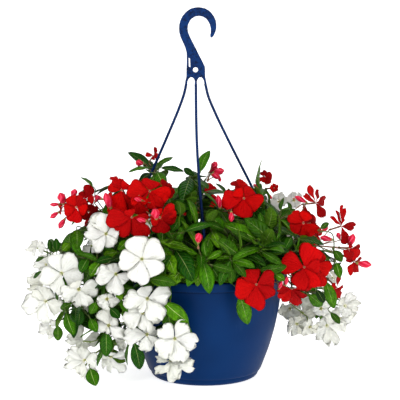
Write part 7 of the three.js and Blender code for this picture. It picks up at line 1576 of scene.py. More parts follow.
[[127,120,3212,309,30,3270,54], [[110,228,3193],[39,198,3092]]],
[[72,280,3197,208,190,3289,46], [[58,369,3177],[48,195,3083]]],
[[98,80,3198,243,-10,3151,44], [[82,169,3193],[48,195,3083]]],
[[224,100,3179,246,10,3083,26], [[221,193,3183],[48,195,3083]]],
]),
"bud_red_front": ([-100,-1386,2282], [
], [
[[-102,-1540,2380,-89,-1630,2546,54], [[-103,-1432,2346],[-94,-1390,2287]]],
]),
}


MM = 0.001
rng = np.random.default_rng(416)


def srgb(r, g, b):
    """Linear colour of an 8-bit sRGB colour."""
    out = []
    for c in (r, g, b):
        c /= 255
        out.append(c / 12.92 if c <= 0.04045 else ((c + 0.055) / 1.055) ** 2.4)
    return (*out, 1.0)


# ---- material helpers ----------------------------------------------------------
class Nodes:
    """Short calls for building one node tree."""

    def __init__(self, name):
        self.mat = bpy.data.materials.new(name)
        self.mat.use_nodes = True
        self.nt = self.mat.node_tree
        self.nt.nodes.clear()
        self.out = self.nt.nodes.new("ShaderNodeOutputMaterial")
        self.bsdf = self.nt.nodes.new("ShaderNodeBsdfPrincipled")
        self.nt.links.new(self.bsdf.outputs[0], self.out.inputs[0])

    def put(self, socket, value):
        if hasattr(value, "is_output"):
            self.nt.links.new(value, socket)
        else:
            socket.default_value = value

    def math(self, op, a, b=0.0, c=0.0, clamp=False):
        n = self.nt.nodes.new("ShaderNodeMath")
        n.operation = op
        n.use_clamp = clamp
        for i, v in enumerate((a, b, c)):
            self.put(n.inputs[i], v)
        return n.outputs[0]

    def step(self, x, lo, hi):
        """0 below lo, 1 above hi, smooth between; falls where lo > hi."""
        n = self.nt.nodes.new("ShaderNodeMapRange")
        n.interpolation_type = "SMOOTHSTEP"
        n.clamp = True
        a, b = (0.0, 1.0) if lo < hi else (1.0, 0.0)
        for key, v in (("From Min", min(lo, hi)), ("From Max", max(lo, hi)), ("To Min", a), ("To Max", b)):
            n.inputs[key].default_value = v
        self.put(n.inputs["Value"], x)
        return n.outputs[0]

    def mix(self, fac, a, b, kind="MIX"):
        n = self.nt.nodes.new("ShaderNodeMix")
        n.data_type = "RGBA"
        n.blend_type = kind
        self.put(n.inputs[0], fac)
        self.put(n.inputs[6], a)
        self.put(n.inputs[7], b)
        return n.outputs[2]

    def ramp(self, fac, stops):
        n = self.nt.nodes.new("ShaderNodeValToRGB")
        e = n.color_ramp.elements
        while len(e) < len(stops):
            e.new(0.5)
        for k, (pos, col) in enumerate(stops):
            e[k].position = pos
            e[k].color = col
        self.put(n.inputs[0], fac)
        return n.outputs[0]

    def vec(self, x=0.0, y=0.0, z=0.0):
        n = self.nt.nodes.new("ShaderNodeCombineXYZ")
        for i, v in enumerate((x, y, z)):
            self.put(n.inputs[i], v)
        return n.outputs[0]

    def split(self, v):
        n = self.nt.nodes.new("ShaderNodeSeparateXYZ")
        self.put(n.inputs[0], v)
        return n.outputs

    def uv(self, name):
        n = self.nt.nodes.new("ShaderNodeUVMap")
        n.uv_map = name
        return n.outputs[0]

    def noise(self, vector, scale, detail=2.0, rough=0.5, distortion=0.0):
        n = self.nt.nodes.new("ShaderNodeTexNoise")
        self.put(n.inputs["Vector"], vector)
        n.inputs["Scale"].default_value = scale
        n.inputs["Detail"].default_value = detail
        n.inputs["Roughness"].default_value = rough
        n.inputs["Distortion"].default_value = distortion
        return n.outputs[0]

    def white(self, vector):
        n = self.nt.nodes.new("ShaderNodeTexWhiteNoise")
        n.noise_dimensions = "3D"
        self.put(n.inputs["Vector"], vector)
        return n.outputs[0]

    def bump(self, height, strength, distance):
        n = self.nt.nodes.new("ShaderNodeBump")
        n.inputs["Strength"].default_value = strength
        n.inputs["Distance"].default_value = distance
        self.put(n.inputs["Height"], height)
        self.put(self.bsdf.inputs["Normal"], n.outputs[0])

    def object_coords(self):
        n = self.nt.nodes.new("ShaderNodeTexCoord")
        return n.outputs["Object"]

    def done(self, color, roughness, specular=None, **extra):
        self.put(self.bsdf.inputs["Base Color"], color)
        self.put(self.bsdf.inputs["Roughness"], roughness)
        if specular is not None:
            self.bsdf.inputs["Specular IOR Level"].default_value = specular
        for key, v in extra.items():
            self.bsdf.inputs[key.replace("_", " ")].default_value = v
        return self.mat


CELLS = 4  # plant surfaces share a 4 x 4 atlas: three columns of tops, then two undersides, the buds and the small parts


def cell_coords(n, name):
    """(s across from -1 to 1, t along from 0 to 1, cell vector, cell value, underside factor)."""
    uv = n.split(n.uv(name))
    gx, gy = n.math("MULTIPLY", uv[0], float(CELLS)), n.math("MULTIPLY", uv[1], float(CELLS))
    cx, cy = n.math("FLOOR", gx), n.math("FLOOR", gy)
    lx, ly = n.math("SUBTRACT", gx, cx), n.math("SUBTRACT", gy, cy)
    s = n.math("DIVIDE", n.math("SUBTRACT", lx, 0.5), 0.46)
    t = n.math("DIVIDE", n.math("SUBTRACT", ly, 0.04), 0.92)
    cell = n.vec(cx, cy, 0.37)
    under = n.step(cx, CELLS - 1.6, CELLS - 1.4)
    return s, t, cell, n.white(cell), under


def leaf_material():
    n = Nodes("leaf_waxy_green")
    s, t, cell, val, under = cell_coords(n, "leafuv")
    a = n.math("ABSOLUTE", s)
    base = n.ramp(val, [(0.0, srgb(2, 36, 0)), (0.16, srgb(22, 78, 0)), (0.34, srgb(70, 132, 2)), (0.5, srgb(8, 52, 0)), (0.66, srgb(82, 140, 6)), (0.82, srgb(34, 92, 0)), (0.93, srgb(104, 156, 16)), (1.0, srgb(60, 90, 0))])
    # blotches and cells of the blade
    place = n.vec(n.math("MULTIPLY", s, 0.6), n.math("MULTIPLY", t, 1.7), n.math("MULTIPLY", val, 9.0))
    blot = n.noise(place, 4.0, 4.0, 0.6)
    col = n.mix(n.step(blot, 0.3, 0.66), base, n.mix(1.0, base, (0.36, 0.46, 0.3, 1), "MULTIPLY"))
    fine = n.noise(place, 26.0, 2.0, 0.6)
    col = n.mix(n.math("MULTIPLY", n.step(fine, 0.48, 0.8), 0.4), col, n.mix(1.0, base, (1.6, 1.4, 1.1, 1), "MULTIPLY"))
    # the blade is a little paler in a thin margin
    edge = n.math("MULTIPLY", n.step(a, 0.92, 1.0), 0.18)
    col = n.mix(edge, col, srgb(120, 152, 40))
    # side veins curve forward from the midrib
    run = n.math("SUBTRACT", n.math("MULTIPLY", t, 9.0), n.math("MULTIPLY", n.math("POWER", a, 1.3), 2.1))
    tri = n.math("ABSOLUTE", n.math("SUBTRACT", n.math("FRACT", run), 0.5))
    fade = n.math("MULTIPLY", n.step(a, 0.98, 0.6), n.step(t, 0.04, 0.12))
    vein = n.math("MULTIPLY", n.step(tri, 0.09, 0.0), fade)
    col = n.mix(n.math("MULTIPLY", vein, 0.26), col, srgb(132, 168, 62))
    # midrib, broad at the base and bright on some leaves only
    width = n.math("SUBTRACT", 0.058, n.math("MULTIPLY", t, 0.04))
    rib = n.math("MULTIPLY", n.step(n.math("DIVIDE", a, width), 1.3, 0.5), n.step(t, 1.0, 0.85))
    bright = n.math("ADD", 0.38, n.math("MULTIPLY", n.step(n.math("FRACT", n.math("MULTIPLY", val, 7.3)), 0.4, 0.9), 0.6))
    col = n.mix(n.math("MULTIPLY", rib, bright), col, srgb(190, 212, 128))
    # undersides are greyer and paler
    col = n.mix(n.math("MULTIPLY", under, 0.4), col, srgb(84, 122, 40))
    swell = n.math("MULTIPLY", n.step(tri, 0.0, 0.5), fade)
    height = n.math("ADD", n.math("MULTIPLY", n.math("ADD", vein, n.math("MULTIPLY", rib, 1.6)), -0.6), n.math("ADD", n.math("MULTIPLY", blot, 0.7), n.math("MULTIPLY", swell, 0.9)))
    n.bump(height, 0.8, 0.0011)
    rough = n.math("ADD", n.math("MULTIPLY", blot, 0.2), n.math("ADD", 0.26, n.math("MULTIPLY", under, 0.25)))
    return n.done(col, rough, 0.09)


def petal_material(kind):
    n = Nodes("petal_" + kind)
    s, t, cell, val, under = cell_coords(n, "leafuv")
    a = n.math("ABSOLUTE", s)
    fan = n.vec(n.math("MULTIPLY", s, 5.5), n.math("MULTIPLY", t, 0.8), n.math("MULTIPLY", val, 7.0))
    fibre = n.noise(fan, 3.2, 3.0, 0.65, 0.15)
    crease = n.noise(n.vec(n.math("MULTIPLY", s, 1.4), n.math("MULTIPLY", t, 1.2), n.math("MULTIPLY", val, 5.0)), 3.6, 3.0, 0.55, 0.4)
    lines = n.math("ABSOLUTE", n.math("SINE", n.math("ADD", n.math("MULTIPLY", s, 13.0), n.math("MULTIPLY", fibre, 4.0))))
    vein = n.math("MULTIPLY", n.step(lines, 0.28, 0.0), n.step(t, 1.0, 0.5))
    # painted shade: petals in the two lowest rows of the atlas get a darker, shaded copy of their colour
    painted_shade_rows = n.math("MULTIPLY", n.step(n.split(cell)[1], 1.6, 0.4), n.math("SUBTRACT", 1.0, under))
    if kind == "white":
        base = n.ramp(val, [(0.0, srgb(242, 242, 236)), (0.5, srgb(246, 247, 238)), (1.0, srgb(243, 243, 232))])
        col = n.mix(n.math("MULTIPLY", n.step(fibre, 0.38, 0.8), 0.55), base, srgb(222, 224, 214))
        col = n.mix(n.math("MULTIPLY", vein, 0.22), col, srgb(206, 209, 196))
        col = n.mix(n.math("MULTIPLY", n.step(crease, 0.5, 0.75), 0.3), col, srgb(224, 224, 208))
        col = n.mix(n.math("MULTIPLY", under, 0.3), col, srgb(222, 226, 206))
        # painted shade on the shaded rows
        col = n.mix(n.math("MULTIPLY", painted_shade_rows, 0.6), col, srgb(224, 224, 202))
        col = n.mix(n.math("MULTIPLY", n.step(t, 0.16, 0.07), 0.8), col, srgb(238, 236, 192))
        col = n.mix(n.math("MULTIPLY", n.step(t, 0.07, 0.04), 0.9), col, srgb(216, 200, 92))
        col = n.mix(n.step(t, 0.034, 0.012), col, srgb(158, 124, 50))
    else:
        base = n.ramp(val, [(0.0, srgb(182, 0, 2)), (0.3, srgb(228, 6, 0)), (0.6, srgb(160, 0, 2)), (1.0, srgb(236, 10, 0))])
        col = n.mix(n.math("MULTIPLY", n.step(fibre, 0.42, 0.85), 0.5), base, srgb(160, 0, 4))
        col = n.mix(n.math("MULTIPLY", vein, 0.26), col, srgb(130, 0, 6))
        col = n.mix(n.math("MULTIPLY", n.step(crease, 0.5, 0.75), 0.3), col, srgb(156, 0, 4))
        col = n.mix(n.math("MULTIPLY", under, 0.6), col, srgb(176, 4, 26))
        # painted shade on the shaded rows
        col = n.mix(n.math("MULTIPLY", painted_shade_rows, 0.8), col, srgb(122, 0, 5))
        # painted shade: the red darkens towards the throat, where the funnel shades it
        col = n.mix(n.math("MULTIPLY", n.step(t, 0.3, 0.12), 0.5), col, srgb(168, 0, 6))
        col = n.mix(n.math("MULTIPLY", n.step(t, 0.07, 0.045), 0.7), col, srgb(240, 60, 44))
        col = n.mix(n.step(t, 0.045, 0.026), col, srgb(252, 176, 150))
    n.bump(n.math("ADD", n.math("MULTIPLY", vein, -0.5), n.math("ADD", n.math("MULTIPLY", fibre, 0.7), n.math("MULTIPLY", crease, 3.0))), 0.7, 0.0011)
    n.bsdf.inputs["Subsurface Weight"].default_value = 0.35 if kind == "white" else 0.12
    n.bsdf.inputs["Subsurface Radius"].default_value = (1.0, 1.0, 0.9) if kind == "white" else (1.0, 0.1, 0.1)
    n.bsdf.inputs["Subsurface Scale"].default_value = 0.003
    return n.done(col, n.math("ADD", 0.6, n.math("MULTIPLY", fibre, 0.16)), 0.15 if kind == "white" else 0.06)


def bud_material():
    n = Nodes("bud_furled")
    s, t, cell, val, under = cell_coords(n, "leafuv")
    turn = n.math("ADD", n.math("MULTIPLY", s, 2.5), n.math("MULTIPLY", t, 1.4))
    tri = n.math("ABSOLUTE", n.math("SUBTRACT", n.math("FRACT", turn), 0.5))
    soft = n.noise(n.vec(s, n.math("MULTIPLY", t, 3.0), 0.4), 2.2, 2.0)
    base = n.mix(n.step(soft, 0.35, 0.65), srgb(206, 10, 44), srgb(222, 26, 70))
    # pale streaks along the middle of each furled petal: partly the petal's paler colour, partly a painted highlight
    col = n.mix(n.math("MULTIPLY", n.step(tri, 0.12, 0.02), 0.5), base, srgb(240, 128, 156))
    col = n.mix(n.math("MULTIPLY", n.step(tri, 0.34, 0.5), 0.65), col, srgb(140, 2, 24))
    col = n.mix(n.step(t, 0.26, 0.06), col, srgb(140, 150, 74))
    n.bump(tri, 0.4, 0.0006)
    return n.done(col, 0.5, 0.2)


def stem_material(name, stops, rough=0.5):
    n = Nodes(name)
    uv = n.split(n.uv("leafuv"))
    place = n.vec(n.math("MULTIPLY", uv[0], 30.0), n.math("MULTIPLY", uv[1], 60.0), 0.5)
    tint = n.noise(place, 1.2, 2.0)
    streak = n.noise(n.vec(n.math("MULTIPLY", uv[0], 260.0), n.math("MULTIPLY", uv[1], 90.0), 0.2), 1.0, 3.0, 0.6)
    col = n.ramp(tint, stops)
    col = n.mix(n.math("MULTIPLY", n.step(streak, 0.45, 0.7), 0.4), col, n.mix(1.0, col, (0.55, 0.6, 0.5, 1), "MULTIPLY"))
    n.bump(streak, 0.4, 0.0004)
    return n.done(col, rough, 0.4)


def plastic_material(name, color, dark, light, rough, grain=0.00012, mottle=0.0, lip_shadow_band=None, gloss=0.1):
    n = Nodes(name)
    place = n.object_coords()
    soft = n.noise(place, 9.0, 2.0)
    fine = n.noise(place, 900.0, 2.0, 0.6)
    col = n.mix(n.step(soft, 0.3, 0.75), color, light)
    col = n.mix(n.math("MULTIPLY", n.step(soft, 0.5, 0.2), 0.6), col, dark)
    if mottle:
        # the hanger is cast with a fine marbled skin
        cast = n.noise(place, 260.0, 3.0, 0.6, 0.6)
        col = n.mix(n.math("MULTIPLY", n.step(cast, 0.42, 0.66), 0.75 * mottle), col, light)
        col = n.mix(n.math("MULTIPLY", n.step(cast, 0.5, 0.34), 0.8 * mottle), col, dark)
    # water marks and dust that settle in thin vertical runs
    xyz = n.split(place)
    runs = n.noise(n.vec(n.math("MULTIPLY", xyz[0], 60.0), n.math("MULTIPLY", xyz[1], 60.0), n.math("MULTIPLY", xyz[2], 3.0)), 1.0, 3.0, 0.6)
    col = n.mix(n.math("MULTIPLY", n.step(runs, 0.6, 0.85), 0.06), col, srgb(90, 110, 140))
    if lip_shadow_band:
        # painted shade: a dark band on the wall in the corner under the lip, where the lip shades it
        low, high = lip_shadow_band
        painted_lip_shadow = n.math("MULTIPLY", n.step(xyz[2], low, high), n.step(xyz[2], high + 0.0004, high + 0.0001))
        col = n.mix(n.math("MULTIPLY", painted_lip_shadow, 0.75), col, srgb(0, 10, 30))
    r = n.math("ADD", rough, n.math("ADD", n.math("MULTIPLY", n.step(runs, 0.45, 0.8), 0.1), n.math("MULTIPLY", soft, 0.06)))
    n.bump(fine, 0.25, grain)
    return n.done(col, r, gloss)


def soil_material():
    n = Nodes("potting_mix_crumb")
    place = n.object_coords()
    big = n.noise(place, 160.0, 4.0, 0.7)
    fine = n.noise(place, 700.0, 3.0, 0.7)
    col = n.ramp(big, [(0.3, srgb(24, 16, 11)), (0.5, srgb(52, 36, 25)), (0.64, srgb(86, 62, 43)), (0.72, srgb(38, 26, 18))])
    col = n.mix(n.step(fine, 0.66, 0.72), col, srgb(176, 168, 150))
    n.bump(n.math("ADD", big, n.math("MULTIPLY", fine, 0.5)), 0.9, 0.002)
    return n.done(col, 0.92, 0.2)


def floor_material():
    n = Nodes("floor_plain")
    place = n.object_coords()
    soft = n.noise(place, 3.0, 2.0)
    col = n.mix(n.math("MULTIPLY", soft, 0.04), (0.9, 0.9, 0.902, 1), (0.88, 0.88, 0.882, 1))
    n.bsdf.inputs["Emission Color"].default_value = (1.0, 1.0, 1.0, 1)
    n.bsdf.inputs["Emission Strength"].default_value = 0.8
    return n.done(col, 0.9, 0.05)


LEAF = leaf_material()
WHITE, RED = petal_material("white"), petal_material("red")
BUD = bud_material()
STEM = stem_material("stem_green", [(0.3, srgb(46, 70, 20)), (0.5, srgb(74, 96, 34)), (0.7, srgb(96, 70, 40))])
STALK_RED = stem_material("stalk_tan", [(0.3, srgb(136, 92, 62)), (0.5, srgb(164, 104, 84)), (0.7, srgb(112, 104, 52))])
STALK_WHITE = stem_material("stalk_pale_green", [(0.3, srgb(124, 146, 66)), (0.5, srgb(150, 168, 86)), (0.7, srgb(100, 128, 50))])
CALYX = stem_material("calyx_green", [(0.3, srgb(96, 130, 44)), (0.6, srgb(66, 102, 28))])
# the band from 152.5 to 156.6 mm high gets painted shade under the lip
POT = plastic_material("pot_blue_plastic", srgb(0, 36, 80), srgb(0, 27, 68), srgb(2, 43, 91), 0.42, lip_shadow_band=(0.1525, 0.1566), gloss=0.06)
HANGER = plastic_material("hanger_blue_plastic", srgb(0, 21, 60), srgb(0, 8, 36), srgb(2, 46, 102), 0.36, mottle=1.0)
ROD = plastic_material("strand_blue_plastic", srgb(0, 27, 70), srgb(0, 18, 56), srgb(4, 40, 90), 0.4, mottle=0.15)
SOIL = soil_material()


# ---- mesh helpers ---------------------------------------------------------------
class Builder:
    """Gathers vertices, faces, UVs and materials of one piece."""

    def __init__(self):
        self.v, self.f, self.uv, self.m, self.count = [], [], [], [], 0

    def add(self, verts, faces, uvs, mat):
        """verts (n, 3) in mm; faces: list of index tuples; uvs: list of (u, v) per face corner."""
        verts = np.asarray(verts, float)
        self.v.append(verts)
        for face in faces:
            self.f.append(tuple(i + self.count for i in face))
        self.uv.extend(uvs)
        self.m.extend([mat] * len(faces))
        self.count += len(verts)

    def build(self, name, materials, nodes, smooth=True):
        me = bpy.data.meshes.new(name)
        me.from_pydata((np.concatenate(self.v) * MM).tolist(), [], self.f)
        for m in materials:
            me.materials.append(m)
        me.polygons.foreach_set("material_index", np.array(self.m, np.int32))
        flat = np.array(self.uv, np.float32).reshape(-1)
        for layer in ("leafuv", "OFBake"):
            me.uv_layers.new(name=layer)
        for layer in ("leafuv", "OFBake"):
            me.uv_layers[layer].uv.foreach_set("vector", flat)
        if smooth:
            me.polygons.foreach_set("use_smooth", np.ones(len(me.polygons), bool))
        me.update()
        ob = bpy.data.objects.new(name, me)
        bpy.context.scene.collection.objects.link(ob)
        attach(ob, "root")
        if nodes:
            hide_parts(*nodes)
        return ob


# small parts share the last cell of the atlas, a quarter each
PATCHES = {"tube": (0.03, 0.03), "calyx": (0.53, 0.03), "stalk": (0.03, 0.53), "stem": (0.53, 0.53)}


def in_patch(patch, x, y):
    if patch == "rod":
        return (0.3 + 0.68 * x, 0.02 + 0.96 * y)
    x0, y0 = PATCHES[patch]
    return ((CELLS - 1 + x0 + 0.44 * x) / CELLS, (CELLS - 1 + y0 + 0.44 * y) / CELLS)


def unit(v):
    v = np.asarray(v, float)
    return v / max(1e-9, np.linalg.norm(v))


def blade_template(rows, cols, closed_base=True):
    """Topology of a thin closed blade: (params, top faces, bottom faces). Each vertex is (t, s, side)."""
    ts = [0.0] + list(rows) + [1.0]
    params, top, bot = [], {}, {}
    for i, t in enumerate(ts):
        ends = i in (0, len(ts) - 1)
        for j in range(cols):
            s = -1 + 2 * j / (cols - 1)
            if ends:
                key = (i, 0)
                if key not in top:
                    params.append((t, 0.0, 0))
                    top[key] = bot[key] = len(params) - 1
                top[(i, j)] = bot[(i, j)] = top[key]
            elif j in (0, cols - 1):
                params.append((t, s, 0))
                top[(i, j)] = bot[(i, j)] = len(params) - 1
            else:
                params.append((t, s, 1))
                top[(i, j)] = len(params) - 1
                params.append((t, s, -1))
                bot[(i, j)] = len(params) - 1
    tf, bf, tuv, buv = [], [], [], []
    for i in range(len(ts) - 1):
        for j in range(cols - 1):
            corners = [(i, j), (i, j + 1), (i + 1, j + 1), (i + 1, j)]
            for table, faces, uvs, order in ((top, tf, tuv, corners), (bot, bf, buv, corners[::-1])):
                seen, idx, st = [], [], []
                for c in order:
                    k = table[c]
                    if k in seen:
                        continue
                    seen.append(k)
                    idx.append(k)
                    s = -1 + 2 * c[1] / (cols - 1)
                    if c[0] in (0, len(ts) - 1):
                        s = 0.0 if len(order) else s
                    st.append((ts[c[0]], s))
                faces.append(tuple(idx))
                uvs.append(st)
    return np.array(params, float), tf, bf, tuv, buv


def cell_uv(st, cell):
    """Places (t, s) in a cell of the atlas."""
    cx, cy = cell
    return [((cx + 0.5 + s * 0.46) / CELLS, (cy + 0.04 + t * 0.92) / CELLS) for t, s in st]


LEAF_ROWS = [0.07, 0.15, 0.26, 0.38, 0.5, 0.62, 0.74, 0.85, 0.94]
LEAF_T = blade_template(LEAF_ROWS, 7)
PETAL_ROWS = [0.03, 0.075, 0.13, 0.2, 0.28, 0.37, 0.46, 0.55, 0.64, 0.72, 0.8, 0.87, 0.93, 0.975]
PETAL_T = blade_template(PETAL_ROWS, 11)


def add_blade(b, template, place, top_cell, under_cell, mat, power=1.0, start=0.0):
    params, tf, bf, tuv, buv = template
    verts = place(params[:, 0], params[:, 1], params[:, 2])
    faces = tf + bf
    uvs = []
    for table, cell in ((tuv, top_cell), (buv, under_cell)):
        for st in table:
            uvs.extend(cell_uv([(start + (1 - start) * t**power, s) for t, s in st] if power != 1.0 else st, cell))
    b.add(verts, faces, uvs, mat)


def add_leaf(b, base, tip, up, width, arch, mat=0, thick=0.5, clear=1.2):
    """A leaf: folded a little along its midrib, arched, with a wavy margin and a fine point."""
    base, tip = np.asarray(base, float), np.asarray(tip, float)
    axis = tip - base
    length = np.linalg.norm(axis)
    axis = axis / length
    face = np.asarray(up, float)
    face = unit(face - axis * (face @ axis))
    side = np.cross(axis, face)
    fold = rng.uniform(0.06, 0.3)
    wave, ph, freq = rng.uniform(0.2, 0.75) * width / 16, rng.uniform(0, 6.28), rng.uniform(1.3, 2.6)
    droop = rng.uniform(0.0, 0.05) * length
    bend = rng.uniform(-0.035, 0.035) * length
    twist = rng.uniform(-0.22, 0.22)

    def place(t, s, layer):
        q = np.clip((t - 0.05) / 0.95, 0, 1)
        half = width / 2 * (0.05 + 0.97 * np.sin(math.pi * q ** 0.94) ** 0.74) * np.where(t < 0.05, 0.6, 1.0)
        half = np.where((t <= 0) | (t >= 1), 0.0, half)
        h = arch * 4 * t * (1 - t) * 0.82 - droop * t ** 3
        across = s * half
        tw = twist * (t - 0.3)
        lift = np.abs(across) * fold - 0.35 * fold * half + wave * np.sin(freq * 6.28 * t + ph + np.sign(s) * 1.1) * s * s * np.sin(math.pi * t)
        dx = across * np.cos(tw) - lift * np.sin(tw)
        dz = across * np.sin(tw) + lift * np.cos(tw) + h
        dz = dz + layer * thick / 2 * (1 - s * s) * np.sin(math.pi * np.clip(t, 0.03, 0.97)) ** 0.4
        dx = dx + bend * 4 * t * (1 - t)
        return base + np.outer(t * length, axis) + np.outer(dx, side) + np.outer(dz, face)

    cell = (int(rng.integers(0, CELLS - 1)), int(rng.integers(0, CELLS)))
    add_blade(b, LEAF_T, place, cell, (CELLS - 1, cell[1] % 2), mat)


def curve_points(points, steps):
    """Centripetal Catmull-Rom through the points, as the frame's stems run."""
    p = [np.asarray(q, float) for q in points]
    if len(p) == 2:
        return np.array([p[0] + (p[1] - p[0]) * k / steps for k in range(steps + 1)])
    ext = [2 * p[0] - p[1], *p, 2 * p[-1] - p[-2]]
    out = []
    for i in range(1, len(ext) - 2):
        p0, p1, p2, p3 = ext[i - 1 : i + 3]
        t0 = 0.0
        t1 = t0 + max(1e-4, np.linalg.norm(p1 - p0) ** 0.5)
        t2 = t1 + max(1e-4, np.linalg.norm(p2 - p1) ** 0.5)
        t3 = t2 + max(1e-4, np.linalg.norm(p3 - p2) ** 0.5)
        for k in range(steps):
            t = t1 + (t2 - t1) * k / steps
            a1 = (t1 - t) / (t1 - t0) * p0 + (t - t0) / (t1 - t0) * p1
            a2 = (t2 - t) / (t2 - t1) * p1 + (t - t1) / (t2 - t1) * p2
            a3 = (t3 - t) / (t3 - t2) * p2 + (t - t2) / (t3 - t2) * p3
            b1 = (t2 - t) / (t2 - t0) * a1 + (t - t0) / (t2 - t0) * a2
            b2 = (t3 - t) / (t3 - t1) * a2 + (t - t1) / (t3 - t1) * a3
            out.append((t2 - t) / (t2 - t1) * b1 + (t - t1) / (t2 - t1) * b2)
    out.append(p[-1])
    return np.array(out)


def add_tube(b, line, radii, sides, mat, patch="stem"):
    """A round tube along a line of points, closed at both ends."""
    line = np.asarray(line, float)
    n = len(line)
    radii = np.broadcast_to(np.asarray(radii, float), (n,))
    tang = np.gradient(line, axis=0)
    tang = tang / np.maximum(1e-9, np.linalg.norm(tang, axis=1))[:, None]
    ref = np.array([0.0, 0.0, 1.0]) if abs(tang[0][2]) < 0.9 else np.array([1.0, 0.0, 0.0])
    e1 = unit(ref - tang[0] * (ref @ tang[0]))
    verts, ang = [], np.arange(sides) / sides * 2 * math.pi
    for i in range(n):
        e1 = unit(e1 - tang[i] * (e1 @ tang[i]))
        e2 = np.cross(tang[i], e1)
        verts.append(line[i] + radii[i] * (np.outer(np.cos(ang), e1) + np.outer(np.sin(ang), e2)))
    verts = np.concatenate(verts + [line[:1] - tang[:1] * radii[0] * 0.4, line[-1:] + tang[-1:] * radii[-1] * 0.4])
    faces, uvs = [], []

    def u(i, k):
        return in_patch(patch, k / sides, 0.03 + 0.94 * i / (n - 1))

    for i in range(n - 1):
        for k in range(sides):
            w = (k + 1) % sides
            faces.append((i * sides + k, i * sides + w, (i + 1) * sides + w, (i + 1) * sides + k))
            uvs.extend([u(i, k), u(i, k + 1), u(i + 1, k + 1), u(i + 1, k)])
    first, last = n * sides, n * sides + 1
    for k in range(sides):
        w = (k + 1) % sides
        faces.append((first, w, k))
        uvs.extend([in_patch(patch, (k + 0.5) / sides, 0.0), in_patch(patch, (k + 1) / sides, 0.03), in_patch(patch, k / sides, 0.03)])
        faces.append((last, (n - 1) * sides + k, (n - 1) * sides + w))
        uvs.extend([in_patch(patch, (k + 0.5) / sides, 1.0), in_patch(patch, k / sides, 0.97), in_patch(patch, (k + 1) / sides, 0.97)])
    b.add(verts, faces, uvs, mat)


def flower_frame(normal):
    up = np.array([0.0, 0.0, 1.0])
    if abs(normal[2]) > 0.985:
        up = np.array([0.0, 1.0, 0.0])
    up = unit(up - normal * (up @ normal))
    return up, np.cross(up, normal)


